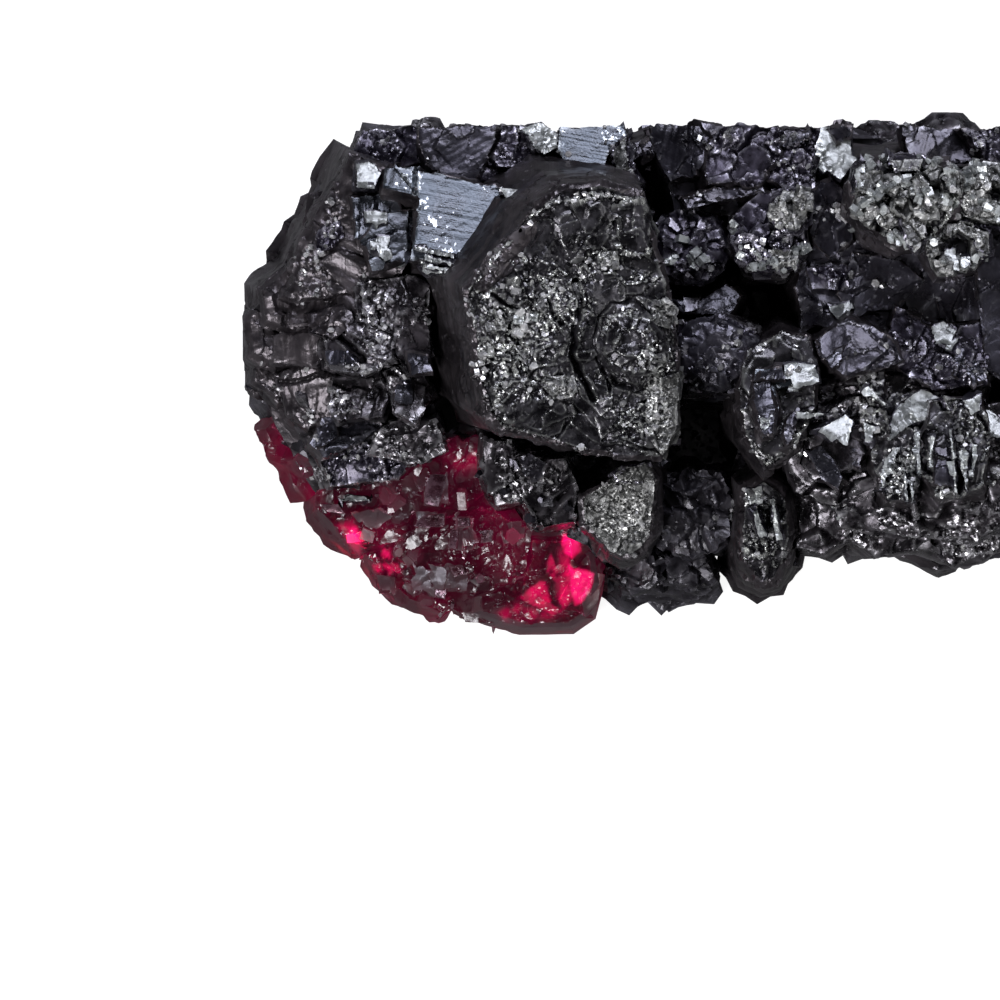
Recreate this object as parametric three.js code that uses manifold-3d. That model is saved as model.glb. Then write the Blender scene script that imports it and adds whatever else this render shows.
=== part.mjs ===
// Pyrargyrite specimen: a cluster of black, metallic ruby-silver crystals grown into one another, cut off
// flat underneath where it left the rock. It lies on that cut with its crystal faces up (+Z).
//
// The crystals are drawn on a plan, seen straight down on the faces. The plan is ruled in squares: x runs
// right, y runs towards the front, and heights are squares above the flat cut.

import * as THREE from 'three';
import { LoftGeometry } from 'three/addons/geometries/LoftGeometry.js';
import { mergeVertices } from 'three/addons/utils/BufferGeometryUtils.js';
import Module from 'manifold-3d';

// Driving dimensions, in millimetres unless said otherwise
const SQUARE = 0.7; // one square of the plan, and one step of height
const PLAN_CENTRE = { x: 69.27, y: 37.28 }; // the point of the plan over the origin, in squares
const CUT_BLOCK = 200; // side of the block that cuts the specimen flat underneath, wider than it

// Usual measures of a crystal, in squares, where its own entry gives none. An entry's bevel is the width and
// drop of the worn edge round its face; a crystal without one has sharp edges.
const DEPTH = 16; // how far a crystal runs down into the cluster
const SPREAD = 1.12; // how much wider it is at its root than at its face
const FOOT = 1.5; // lowest height of a root, above the flat cut

const WELD = 1e-5; // points nearer than this are one

// Shapes of the crystals that are not drawn on the plan, as shares of their radius unless said otherwise.
// A prism's turn is in radians, and its shoulder is a share of its length.
const PRISM = { sides: 6, turn: 0.4, foot: 1.05, shoulder: 0.84, tip: 0.66 };
const KNOB = { sides: 8, foot: 1.06, dome: 0.4, tip: 0.5 };
const PLATE = { sink: 3, spread: 1.1 }; // how deep a plate stands in its carrier, in squares, and its spread
const GAP_RISE = 2; // how far a gap's cutter stands above the mass, in squares

const wasm = await Module();
wasm.setup();

// Widest outline of the cluster on the plan, anticlockwise from its back left corner
const OUTLINE = [
	[35.5, 12.6], [34, 15], [31, 17.6], [29, 20.4], [28.4, 22.4], [27, 25.4], [26, 28], [24.6, 30.6],
	[23.6, 34], [24.2, 37], [24.9, 40], [26, 43], [26.4, 46.6], [27.6, 48.4], [30, 49.4], [31.2, 52],
	[33.8, 54], [36.2, 56.8], [38, 59.2], [41.6, 61.4], [45.6, 62.8], [50, 63], [55, 63.6], [58.4, 62.8],
	[60, 60.6], [62.6, 59.2], [66, 59.2], [70, 59.4], [72, 57.2], [74.4, 57.6], [77, 58.6], [80, 56.2],
	[84, 56], [88, 56.2], [91, 55.8], [94.6, 57.2], [98, 56.8], [101, 56.4], [106, 54.4], [109.4, 51.4],
	[112.4, 46.6], [114.2, 41], [115, 34.4], [114, 27.6], [111.6, 21], [107.6, 16], [103.4, 13.4], [98, 12.2],
	[92, 12.8], [86, 12.2], [80, 13], [74, 12.2], [68, 12.8], [62, 12.4], [56, 13], [50, 12.4],
	[44, 12.8], [39.6, 12.2],
];

// Levels of the solid mass under the crystals: how far each is drawn in from the outline, and how deep
// its crags are
const CORE_LEVELS = [
	{ height: 0, inset: 3.2, crag: 0.5 }, { height: 4, inset: 1.4, crag: 0.8 },
	{ height: 9, inset: 2, crag: 1.1 }, { height: 18, inset: 8.5, crag: 1.8 },
];
const CRAG_TURN = { point: 2.4, level: 1.7 }; // radians from one crag to the next, along and up the mass

// Deep gaps left between the crystals, drawn down to their floors
const GAPS = [
	{ face: [[62.6, 16.4], [67.6, 16.2], [67.8, 22], [66.8, 29], [65.6, 27], [64, 21]], floor: 9 },
	{ face: [[74.6, 27.6], [79.2, 27], [79.6, 31.8], [75.4, 33]], floor: 10 },
	{ face: [[84.6, 13.4], [91, 13.2], [91.2, 15.6], [85, 17.2]], floor: 9 },
	{ face: [[67.6, 39.4], [73.4, 38.8], [74, 45], [73, 48], [66.4, 47], [66.8, 43]], floor: 10 },
	{ face: [[42.6, 30], [46.4, 31], [48, 41], [44.4, 43.4], [42.4, 38]], floor: 12 },
];

// Left flank: long prism sides, terraced ledges and slanting struts
const LEFT_FLANK = [
	{ face: [[36, 13], [42, 12.6], [42.2, 16.2], [38.8, 17], [35.4, 18.6], [34.2, 17]], height: 22,
		slope: [0.15, 0.2], lean: [-1.4, 1] },
	{ face: [[35.2, 15.4], [38.6, 16.6], [39.2, 19.6], [41.6, 20.4], [41, 26], [40, 27.6], [36, 29.2], [30, 30],
		[28.8, 29.4], [29.4, 27.2], [30.2, 24.6], [31.4, 22], [32.4, 20.4], [33.9, 18.2]], height: 26,
		slope: [0.3, 0.05], lean: [-2.2, -0.6], depth: 19 },
	{ face: [[35, 19.6], [38.6, 19.2], [39.8, 21.4], [38.6, 23.4], [35.6, 23.6]], height: 29,
		slope: [0.12, 0.35], depth: 8 },
	{ face: [[38.4, 21.6], [41.2, 21.2], [40.8, 25.8], [37.4, 26.6], [36.4, 24]], height: 29.8,
		slope: [-0.06, 0.25], depth: 8 },
	{ face: [[32, 20.6], [34.4, 19.6], [34.2, 23.8], [31.8, 25.6], [31.2, 23]], height: 25.8,
		slope: [0.4, 0.3], depth: 6 },
	{ face: [[27.6, 29.8], [31, 28.9], [35.4, 28.8], [36.2, 31.6], [32.4, 32.6], [27.2, 33]], height: 24.6,
		slope: [0.46, 0.2], lean: [-1.8, 0.4] },
	{ face: [[35.2, 28.6], [40.6, 27.2], [43, 28.6], [42.8, 31.4], [39.4, 33.2], [36, 31.9]], height: 28.4,
		slope: [0.28, 0.02], lean: [0.6, 1.4] },
	{ face: [[26, 33.2], [29.4, 32.4], [32.6, 33], [33, 35], [31.6, 36.9], [26, 36.6]], height: 22.4,
		slope: [0.5, -0.1], lean: [-1.6, -0.6] },
	{ face: [[32.2, 32.3], [36.6, 31.2], [40.2, 32.8], [39.6, 36], [36, 37.5], [32.6, 36.4]], height: 27,
		slope: [0.3, 0.24], lean: [-1, 1] },
	{ face: [[39.8, 30.6], [42.8, 31], [43.2, 35.8], [41, 37.2], [39.4, 34.4]], height: 28.6,
		slope: [-0.2, 0.1], lean: [1, -1] },
	{ face: [[30.4, 31.2], [34.4, 30.3], [35.2, 32.2], [33, 33.8], [30.8, 33.2]], height: 26,
		slope: [0.34, 0.3], depth: 6 },
	{ face: [[26.4, 37], [31, 36.2], [34, 37.8], [33.8, 41.4], [30.8, 43], [27.8, 41]], height: 20.8,
		slope: [0.4, -0.2], lean: [-1.2, 0.8] },
	{ face: [[33.2, 37.6], [37.8, 36.4], [39, 39.2], [38, 41.6], [34, 42.2], [32.8, 40.4]], height: 25,
		slope: [0.14, 0.2], lean: [0.8, 1.2] },
	{ face: [[38.6, 37.4], [41.8, 36.4], [43, 39.6], [41.4, 42.2], [39.2, 40.6]], height: 26,
		slope: [0.1, 0.3], depth: 9 },
	{ face: [[34, 41.4], [38.6, 42.6], [36, 44.2], [32.2, 45.4], [31.2, 44.4], [32.4, 42]], height: 21.6,
		slope: [0.1, 0.45], depth: 9 },
	{ face: [[39, 42.2], [43.4, 41.8], [44.4, 44.6], [41, 46.4], [37.2, 45.2]], height: 22,
		slope: [0.12, -0.2], depth: 12 },
	{ face: [[31.6, 45.6], [36, 44.4], [41.4, 45.8], [40, 47.6], [36, 48.2], [32.8, 48.4]], height: 18.6,
		slope: [0.16, -0.2], lean: [-0.4, 1.2] },
];

// Slanting struts on the lower left: foot and tip of each, with its radius
const STRUTS = [
	{ foot: [33.4, 48.6, 8], tip: [25.9, 37.6, 13.6], radius: 1.1 },
	{ foot: [33.6, 47.6, 11.4], tip: [27.7, 37.4, 18.2], radius: 1 },
	{ foot: [35.6, 47.4, 14], tip: [30, 39.4, 20.6], radius: 0.9 },
	{ foot: [27.8, 38.8, 8], tip: [24.6, 38.3, 12.4], radius: 1 },
	{ foot: [30.6, 49, 5], tip: [26.8, 43.2, 9.6], radius: 1.5 },
];

// Blue-grey crystal with one large flat striated face, beside the hexagonal one
const BLUE_GREY = [
	{ face: [[39.2, 16.6], [42, 17.1], [46, 17.9], [49, 18.8], [50, 19.8], [50.2, 20.9], [46.2, 25.6],
		[45.6, 26.6], [41.2, 25.8], [41.7, 21.4], [41.9, 20]], height: 33, slope: [0.02, 0.3], lean: [1, 2] },
	{ face: [[38.4, 16.8], [41.9, 16.6], [42.2, 19.8], [38.2, 18.9]], height: 31.6, slope: [0.1, 0.42],
		lean: [1, 2], depth: 9 },
	{ face: [[41.4, 26], [45.8, 25.8], [44.6, 27.8], [43, 27.5]], height: 32.4, slope: [-0.1, 0.75], depth: 12 },
	{ face: [[35.6, 16.3], [37, 16.1], [38, 17.3], [37.5, 19], [35.6, 18.9]], height: 30, slope: [0.1, 0.5],
		depth: 8 },
	{ face: [[49.8, 18.8], [52, 19], [51, 20.8]], height: 34.8, slope: [0.1, 0.55], depth: 7 },
];

// Row of crystals along the back, on the plan's upper edge
const BACK_ROW = [
	{ face: [[42, 12.6], [49.8, 12.4], [49.6, 14], [48, 17.4], [47.4, 18.2], [44, 17.4], [42.4, 16.4],
		[41.8, 14]], height: 28, slope: [0.04, 0.22], lean: [1.6, 3.2] },
	{ face: [[50, 12.4], [52.2, 12.5], [54, 16], [52, 17.8], [47.8, 18.2], [49.8, 14]], height: 27,
		slope: [-0.14, -0.1], lean: [-1.4, 2.4] },
	{ face: [[52.2, 12.7], [54.2, 12.6], [55.8, 13.5], [55.8, 14.8], [54.4, 15.6], [53.4, 15]], height: 29.6,
		slope: [0.1, 0.62], lean: [0.6, 3] },
	{ face: [[55.8, 12.8], [62.4, 12.4], [62.8, 13.5], [61, 15], [60.5, 17], [58.3, 18.2], [56.5, 16.5],
		[55.6, 15]], height: 30.4, slope: [0.06, 0.3], lean: [-1, 3.4] },
	{ face: [[61.4, 14.9], [62.2, 14.2], [62.6, 16], [64, 18.2], [63.4, 19.5], [61.4, 17.6]], height: 32,
		slope: [0.5, 0.1], depth: 14 },
	{ face: [[62.4, 14.4], [64.5, 13.6], [65.3, 15.5], [62.6, 16.2]], height: 30, slope: [-0.2, 0.3] },
	{ face: [[65, 12.9], [70, 12.6], [71, 14], [70, 17], [67, 18.4], [65.6, 16]], height: 30.6,
		slope: [0.2, 0.16], lean: [2, 2.6] },
	{ face: [[70.2, 12.6], [77.6, 12.6], [78.2, 15.4], [76, 18.2], [70.6, 18.6], [70.2, 17], [71.2, 14]],
		height: 32, slope: [0.04, 0.34], lean: [-1.6, 3.6] },
	{ face: [[77.6, 12.8], [82, 13], [82.8, 16], [81.8, 18.4], [79, 19], [76.6, 18], [78.2, 15.4]], height: 31,
		slope: [-0.16, 0.3], lean: [1.2, 2.2] },
	{ face: [[82, 12.8], [85, 12.8], [85.2, 16], [83.6, 17.9], [81.6, 16.8]], height: 32.4, slope: [-0.2, 0.5],
		lean: [-1.4, 3] },
	{ face: [[90.8, 12.9], [96.2, 12.6], [98.5, 16], [95, 16.4], [91.5, 15.8]], height: 27, slope: [0.05, 0.36],
		lean: [0.8, 2.6] },
	{ face: [[96.4, 12.8], [101, 13], [102.4, 16], [98.8, 16.4]], height: 29, slope: [-0.1, 0.3],
		lean: [-1.6, 2.4] },
	{ face: [[68, 19.8], [72, 18.6], [76, 18.2], [76.6, 19.4], [72.4, 20.2], [68.8, 21]], height: 33,
		slope: [-0.1, 0.3], depth: 12 },
];

// Hexagonal crystal, the largest and highest: its prism runs back towards the upper left
const HEXAGONAL = {
	face: [[46.4, 29], [48, 27.2], [50.5, 24], [53, 21.2], [56, 19.3], [60, 18.7], [64, 19.8], [65, 24],
		[66.8, 29.4], [67.6, 34], [67.8, 39], [66.2, 43.4], [66, 46], [58, 45.4], [54.5, 44.2], [50.2, 43.3],
		[48.8, 41.4], [48.1, 38], [47.5, 34.5]],
	height: 42, slope: [-0.18, -0.2], lean: [-3.5, -2.9], depth: 22, spread: 1.02, bevel: 0.5,
};

// Plates, lobes and ridges that stand on the hexagonal face
const HEXAGONAL_RELIEF = [
	{ face: [[47.6, 28.6], [53.4, 22], [55.6, 21], [54.8, 23], [48.8, 29.4]], rise: 0.7 },
	{ face: [[47.8, 30], [50.2, 28.4], [53.8, 28.8], [54.6, 31], [51, 33.4], [48.6, 34]], rise: 1 },
	{ face: [[51.4, 32.2], [54.4, 31.4], [56.6, 33.6], [55.4, 36.6], [52.4, 37], [50.8, 34.8]], rise: 0.6 },
	{ face: [[49, 35.4], [51, 35.8], [53.2, 38.2], [57, 38], [57.4, 41.6], [54, 43], [50.6, 42], [49.4, 39]],
		rise: 0.8 },
	{ face: [[55.6, 21.6], [60, 19.8], [61.4, 22.4], [60.6, 25.2], [57.2, 26.4], [55.2, 24.6]], rise: 0.5 },
	{ face: [[61.4, 21.4], [64, 21], [64.8, 25.4], [62, 26]], rise: 0.9 },
	{ face: [[58, 27.8], [62, 26.8], [65.6, 30], [66.2, 37.4], [61.6, 39.6], [58, 36.4]], rise: 0.55 },
	{ face: [[59, 41], [65.4, 40.4], [64.8, 44.2], [60, 44.2]], rise: 0.6 },
];

// Round knobs: middle of each on the plan, its radius, and the heights of its top and foot
const KNOBS = [
	{ centre: [62.9, 34.6], radius: 3.1, top: 43.2, foot: 34 },
	{ centre: [69.1, 24.5], radius: 3.5, top: 32.4, foot: 10 },
	{ centre: [71.6, 35.4], radius: 3.9, top: 33.4, foot: 10 },
];

// Rosettes of small blades that lean outward from a hollow: middle, radius, height and number of blades
const ROSETTES = [
	{ centre: [79.1, 20.8], radius: 2.6, top: 37, petals: 4 },
	{ centre: [76.5, 24.8], radius: 3.2, top: 35.6, petals: 5 },
	{ centre: [88.2, 20.4], radius: 4, top: 42.2, petals: 5 },
	{ centre: [93.1, 19.3], radius: 3.4, top: 42.6, petals: 5 },
	{ centre: [99, 19.6], radius: 3.8, top: 39.8, petals: 6 },
	{ centre: [95.4, 25.1], radius: 3, top: 40, petals: 5 },
];
const PETAL_SIZES = [1, 0.8, 0.94, 0.7, 0.88]; // reach of the blades, in turn, as shares of the radius
const PETAL = {
	width: 0.9, // of its share of the round
	hollow: 0.26, // radius of the hollow in the middle, as a share of the rosette's
	shoulders: [0.86, 0.82], // where its two outer corners lie, as shares of its reach
	fall: 0.3, // how steeply it falls outward
	lean: 0.4, // how far its root stands in from its face, in squares
	depth: 4, // in squares
};

// Crystals on the right of the hexagonal one
const RIGHT_MASS = [
	{ face: [[73.2, 21.6], [76.2, 19.2], [80.2, 20.4], [80.8, 24.6], [78.4, 27.4], [74.6, 27.2], [72.9, 24.6]],
		height: 33.6, slope: [0.06, 0.1], depth: 22 },
	{ face: [[80.6, 19.4], [83, 17.9], [85, 19.6], [85.2, 24], [83, 26], [81.2, 24.4]], height: 32,
		slope: [-0.3, -0.3], depth: 20 },
	{ face: [[84.7, 18.4], [87, 16.3], [91, 16], [94.5, 16.7], [96.2, 19.2], [95.4, 22.4], [93, 24.7],
		[89.5, 25.3], [86.2, 23.6], [84.8, 21.2]], height: 39.4, slope: [0.04, 0.06], depth: 26, bevel: 0.8 },
	{ face: [[94.8, 17.2], [98, 16.4], [102, 17], [103.2, 20], [101, 23], [97, 23.2], [95.4, 21]], height: 37,
		slope: [-0.05, 0.08], depth: 24 },
	{ face: [[92.2, 24.4], [94.4, 22.6], [97.4, 23], [98.6, 25.2], [97, 27.4], [93.8, 27.6]], height: 37.4,
		slope: [0.02, -0.05], depth: 22 },
	{ face: [[66.8, 29.8], [70, 29.8], [72.4, 28.4], [73.9, 30], [73, 31.7], [68.2, 31.3]], height: 29,
		slope: [0.06, 0.3] },
	{ face: [[68, 32.2], [72, 31.9], [75.5, 33.1], [75.3, 37], [73, 39.2], [69.2, 38.9], [68, 36]], height: 31,
		slope: [0.12, -0.06], depth: 20 },
	{ face: [[80.4, 26.6], [83, 26.2], [85.4, 27], [84.6, 28.6], [81, 28.6]], height: 30, slope: [0.1, 0.3] },
	{ face: [[85.2, 25.2], [89.4, 25.8], [92.6, 28], [90, 31], [86, 31.4], [83.6, 29.4]], height: 30.4,
		slope: [0.1, 0.12], depth: 20 },
	{ face: [[79.8, 28.8], [84.4, 28.8], [86.2, 31.2], [84, 32.4], [80.4, 32.6]], height: 29, slope: [0.2, 0.3],
		depth: 20 },
	{ face: [[81.2, 34], [84.5, 31.8], [89.4, 34.5], [90, 36.2], [84.6, 37.8], [81.6, 35.6]], height: 35.4,
		slope: [-0.02, 0.42], depth: 20 },
	{ face: [[74.6, 35], [78, 33], [80.8, 34], [81.6, 37], [81, 41], [79.5, 45], [76.4, 46.8], [74.3, 43.6],
		[73.8, 39]], height: 35, slope: [0.02, 0.03], depth: 26, spread: 1.06 },
	{ face: [[75.6, 37], [78.8, 36.6], [79.6, 38.6], [77.4, 39.2], [77, 43], [75.8, 43.6], [75.2, 40]],
		height: 36.6, slope: [0.12, 0.3], depth: 6 },
	{ face: [[78.6, 36.8], [81.4, 36.4], [81.6, 38.3], [79.2, 38.6]], height: 36.8, slope: [-0.1, 0.5],
		depth: 6 },
	{ face: [[81.4, 38.2], [87, 36.6], [88.5, 40], [88, 44], [85, 47], [81.5, 48], [79.8, 46.6], [81, 42]],
		height: 31.4, slope: [0.06, 0.02], depth: 22 },
	{ face: [[81.8, 42.8], [84.5, 41.3], [85.3, 42.1], [84.7, 44.6], [83.4, 44]], height: 34.4,
		slope: [0.1, 0.4], depth: 9 },
	{ face: [[85.6, 36.8], [88.4, 36.4], [88.8, 43.6], [86.4, 43.8]], height: 34.2, slope: [0.3, 0.05],
		depth: 14 },
	{ face: [[89.4, 30.6], [93.6, 32.2], [98.4, 32.4], [98.6, 38.4], [93.2, 39.2], [90, 37.2], [88.6, 34]],
		height: 33.4, slope: [-0.1, 0.22], depth: 24 },
	{ face: [[88.6, 39.6], [92.6, 39.2], [93.4, 44], [91, 50], [88.4, 50.4], [87.2, 46]], height: 33,
		slope: [0.16, 0.12], depth: 24 },
	{ face: [[92.6, 40], [97.6, 39.6], [99, 44], [97.8, 49], [94, 50], [91.8, 47.6]], height: 35,
		slope: [-0.22, 0.04], depth: 26 },
	{ face: [[92.8, 27.8], [97.8, 27.4], [99, 31.6], [94, 32]], height: 31, slope: [0.2, 0.2], depth: 20 },
	{ face: [[97.4, 24.4], [101, 23], [106, 22.4], [108, 28], [107, 36], [102.4, 39.6], [98.6, 37.4],
		[97.6, 30]], height: 32.4, slope: [-0.16, 0.04], depth: 26 },
	{ face: [[98.2, 40.4], [101, 39.8], [105, 40.6], [107.4, 45], [104.4, 50], [99.4, 51.2], [97.8, 46]],
		height: 30, slope: [-0.2, -0.08], depth: 24 },
	{ face: [[101.4, 13.8], [105.4, 15.2], [109.4, 19.4], [107, 22.6], [103.2, 20], [101.2, 16.6]], height: 27,
		slope: [-0.24, 0.26], lean: [-2.4, 2] },
	{ face: [[106.4, 22.6], [110.4, 22.4], [112.8, 28], [112.6, 35.6], [109, 38], [106.6, 34]], height: 25,
		slope: [-0.4, 0.04], lean: [-3, -1] },
	{ face: [[106.4, 38], [111.6, 38.4], [111, 44], [107.8, 49], [104.8, 47.6], [105, 42]], height: 23,
		slope: [-0.4, -0.24], lean: [-2.4, -1.6] },
];

// Crystals along the front edge, under the hexagonal one and to its right
const FRONT_ROW = [
	{ face: [[57.9, 49.6], [60.5, 47.8], [61.4, 47], [65, 46.8], [65.7, 48], [65.5, 52], [65.3, 53.5],
		[64.4, 55], [63.4, 55.7], [62, 56], [60.9, 55.6], [60, 54.4], [58.2, 52.4]], height: 30,
		slope: [0.04, -0.24], lean: [0, -1], depth: 22, bevel: 0.5 },
	{ face: [[48.2, 43.4], [51, 44.4], [52.6, 47], [51.6, 50], [49.6, 50.4], [48.2, 47.4]], height: 27,
		slope: [0.3, -0.2], depth: 18 },
	{ face: [[51.4, 45.4], [56.4, 45.8], [57.6, 49], [57.4, 52.4], [53.6, 52.6], [51.8, 49.4]], height: 27.6,
		slope: [-0.24, -0.24], depth: 18 },
	{ face: [[66, 49.6], [69, 46.8], [72, 47.4], [73.6, 50], [72.4, 53.8], [69.4, 55.2], [66.4, 54.2]],
		height: 20, slope: [0.12, -0.12], depth: 14 },
	{ face: [[74, 48.4], [76.4, 47], [78.9, 49], [79.2, 54], [77.9, 57.6], [75.9, 57.8], [74.1, 54.6]],
		height: 25.6, slope: [-0.08, -0.24], depth: 22, bevel: 0.6 },
	{ face: [[79.2, 48.6], [84, 47.6], [86, 50], [85.4, 53.4], [82.4, 55.4], [79.7, 54.8], [79.4, 51.6]],
		height: 24, slope: [0.05, -0.34], lean: [1, 0.8] },
	{ face: [[83.2, 49.6], [85.2, 49.4], [85.6, 51.6], [83.6, 52.2]], height: 27, slope: [0.1, 0.35], depth: 7 },
	{ face: [[86.2, 50.2], [92, 50.6], [93.4, 53.6], [91.6, 55.2], [87.6, 55.6], [85.6, 53.6]], height: 23.6,
		slope: [0.04, -0.36], lean: [-1.4, 0.4] },
	{ face: [[93, 50.6], [98, 50.4], [100.8, 53], [99.2, 55.4], [95.4, 56.6], [93.6, 54.6]], height: 22,
		slope: [-0.1, -0.36], lean: [1.2, -0.6] },
	{ face: [[101, 51.2], [105.4, 49.6], [107.4, 51.4], [104, 54.8], [100.8, 55.2]], height: 19,
		slope: [-0.3, -0.34], lean: [-1.6, -1.4] },
	{ face: [[60.8, 55.9], [66, 55.8], [67, 57.8], [65.8, 58.6], [62.6, 58.4], [60.8, 57.4]], height: 12,
		slope: [0.1, -0.44], lean: [0, 0.9], depth: 10 },
	{ face: [[66.4, 55.4], [71, 55.6], [71.4, 57.8], [70, 58.9], [66.9, 58.4]], height: 13,
		slope: [-0.1, -0.44], lean: [0, 0.9], depth: 11 },
];

// Ruby-red translucent crystals on the lower left
const RUBY = [
	{ face: [[43.2, 44.4], [48, 43.6], [49.2, 49], [46.4, 51], [42.4, 50], [41.2, 47]], height: 21,
		slope: [0.1, -0.2], depth: 14 },
	{ face: [[31.8, 49], [37, 48.2], [41.4, 47.6], [42.2, 50.4], [40, 53.8], [36.2, 54.8], [33.6, 53],
		[31.6, 50.8]], height: 15.6, slope: [0.26, -0.2], lean: [-1, 1], depth: 14 },
	{ face: [[42.4, 47.6], [44.8, 47.4], [44.7, 50.2], [42.4, 50]], height: 21.6, slope: [-0.1, 0.3], depth: 6 },
	{ face: [[41.4, 51.3], [44.4, 51.5], [44.2, 52.8], [41.6, 52.7]], height: 20.6, slope: [0.1, 0.35],
		depth: 6 },
	{ face: [[45.4, 51.6], [47.1, 51.6], [47, 54.6], [45.2, 54.8]], height: 20.8, slope: [0.3, 0.2], depth: 6 },
	{ face: [[40.2, 53.6], [44, 51.6], [49.6, 50.8], [53, 53.4], [52.4, 57.6], [47.4, 59.6], [42.4, 58.8],
		[38.8, 56.4]], height: 18.6, slope: [0.1, -0.2], depth: 15 },
	{ face: [[42.6, 56.4], [47.4, 57], [46.6, 59.2], [43.6, 58.6]], height: 18.6, slope: [-0.1, 0.2], depth: 7 },
	{ face: [[36.6, 55.6], [38.8, 56.4], [42.4, 59.2], [44.2, 61.6], [40.6, 60], [38, 58]], height: 11,
		slope: [0.3, -0.3], lean: [-0.8, 0.8], depth: 10 },
	{ face: [[37.6, 57.6], [39.4, 57.9], [39.6, 59.4], [37.9, 59.2]], height: 12.6, slope: [0.3, 0.2],
		depth: 8 },
	{ face: [[52.6, 52.8], [57.4, 53.2], [59.4, 55.4], [60, 58.4], [59.2, 61.4], [57.2, 62.8], [52.2, 62.9],
		[47.4, 61.4], [47.4, 59.8], [52.2, 57.6]], height: 17, slope: [0.02, -0.3], lean: [0, 0.4], depth: 15,
		bevel: 0.8 },
	{ face: [[53.6, 54.2], [56.6, 54], [57.6, 56.8], [56, 60], [52.6, 61], [52.8, 57.4]], height: 18.8,
		slope: [-0.1, -0.1], depth: 6 },
	{ face: [[59, 57.4], [60.3, 57.6], [60, 60], [58.6, 61.6], [58.4, 59.4]], height: 16.4,
		slope: [-0.3, 0.1], depth: 12 },
	{ face: [[43.8, 60], [47, 60.4], [49.6, 62.3], [46.4, 62]], height: 10, slope: [0.1, -0.4], depth: 8 },
];

// Crystals round the back and right flanks, in tiers that lean outward from the mass: the height of each
// tier's tips, how far its crystals rise, their radius, their inset from the outline and their length
const FLANK_FIRST = 36; // outline point where they start
const FLANK_STEP = 3; // outline points from one crystal to the next
const FLANK_TIERS = [
	{ tip: 4.6, rise: 1.5, radius: 3.5, inset: 0.9, length: 9 },
	{ tip: 11.5, rise: 4, radius: 3.2, inset: 0.7, length: 10 },
	{ tip: 18.5, rise: 7.5, radius: 3, inset: 2.6, length: 12 },
];
const FLANK_SIZES = [1, 0.78, 1.1, 0.88, 1.2]; // how large they are, in turn

// Small crystals along the foot of the front and left flanks
const FOOT_CRYSTALS = [
	{ foot: [34, 50, 5], tip: [31.6, 51.4, 4], radius: 2.4 },
	{ foot: [76, 53, 5], tip: [77, 58, 4.6], radius: 2.8 },
	{ foot: [88, 51, 6], tip: [88.4, 55.6, 5.6], radius: 3.4 },
	{ foot: [95, 51, 5], tip: [95.4, 56.6, 4.8], radius: 3 },
	{ foot: [32, 28, 6], tip: [27.6, 27.6, 5.2], radius: 3 },
];

/** Place on the model, in millimetres, of a point of the plan at a height in squares. */
function place(x, y, height) {
	return new THREE.Vector3((x - PLAN_CENTRE.x) * SQUARE, (PLAN_CENTRE.y - y) * SQUARE, height * SQUARE);
}

/** Middle of a face on the plan. */
function middleOf(face) {
	const sum = face.reduce((total, [x, y]) => [total[0] + x, total[1] + y], [0, 0]);
	return [sum[0] / face.length, sum[1] / face.length];
}

/** The same outline, ordered so that it runs anticlockwise when seen from above the model. */
function anticlockwise(face) {
	const flipped = face.map(([x, y]) => new THREE.Vector2(x, -y));
	return THREE.ShapeUtils.isClockWise(flipped) ? [...face].reverse() : face;
}

/** Solid with the same surface as a closed geometry. */
function solidOf(geometry) {
	const bare = new THREE.BufferGeometry();
	bare.setAttribute('position', geometry.attributes.position);
	bare.setIndex(geometry.index);
	const welded = mergeVertices(bare, WELD);
	return new wasm.Manifold(new wasm.Mesh({
		numProp: 3,
		vertProperties: new Float32Array(welded.attributes.position.array),
		triVerts: new Uint32Array(welded.index.array),
	}));
}

/** Solid of a closed skin through a row of sections, from the lowest to the highest. */
function solidThrough(sections) {
	const skin = new LoftGeometry(sections, { capStart: true, capEnd: true });
	return solidOf(skin);
}

/** Height of a crystal's face plane over a point of the plan. */
function planeHeight({ face, height, slope }, x, y) {
	const [middleX, middleY] = middleOf(face);
	return height - slope[0] * (middleX - x) - slope[1] * (middleY - y);
}

/** One crystal: its face seen from above, a worn edge, and a body that runs down into the cluster. */
function crystal(entry) {
	const { face, height, slope = [0, 0], lean = [0, 0], depth = DEPTH, spread = SPREAD, bevel = 0 } = entry;
	const [middleX, middleY] = middleOf(face);
	const drop = Math.min(depth, height - FOOT);
	const ring = (scale, shift, lower) => anticlockwise(face).map(([x, y]) => {
		const level = planeHeight({ face, height, slope }, x, y) - lower;
		const wide = [middleX + (x - middleX) * scale + shift[0], middleY + (y - middleY) * scale + shift[1]];
		return place(wide[0], wide[1], Math.max(level, FOOT));
	});
	if (bevel === 0) {
		return solidThrough([ring(spread, lean, drop), ring(1, [0, 0], 0)]);
	}
	const reach = Math.max(...face.map(([x, y]) => Math.hypot(x - middleX, y - middleY)));
	return solidThrough([
		ring(spread, lean, drop),
		ring(1, [0, 0], bevel),
		ring(1 - bevel / reach, [0, 0], 0),
	]);
}

/** A low plate that lies on a crystal's face, parallel to it. */
function plate({ face, rise }, carrier) {
	const [middleX, middleY] = middleOf(face);
	const height = planeHeight(carrier, middleX, middleY) + rise;
	return crystal({ face, height, slope: carrier.slope, depth: rise + PLATE.sink, spread: PLATE.spread });
}

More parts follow.
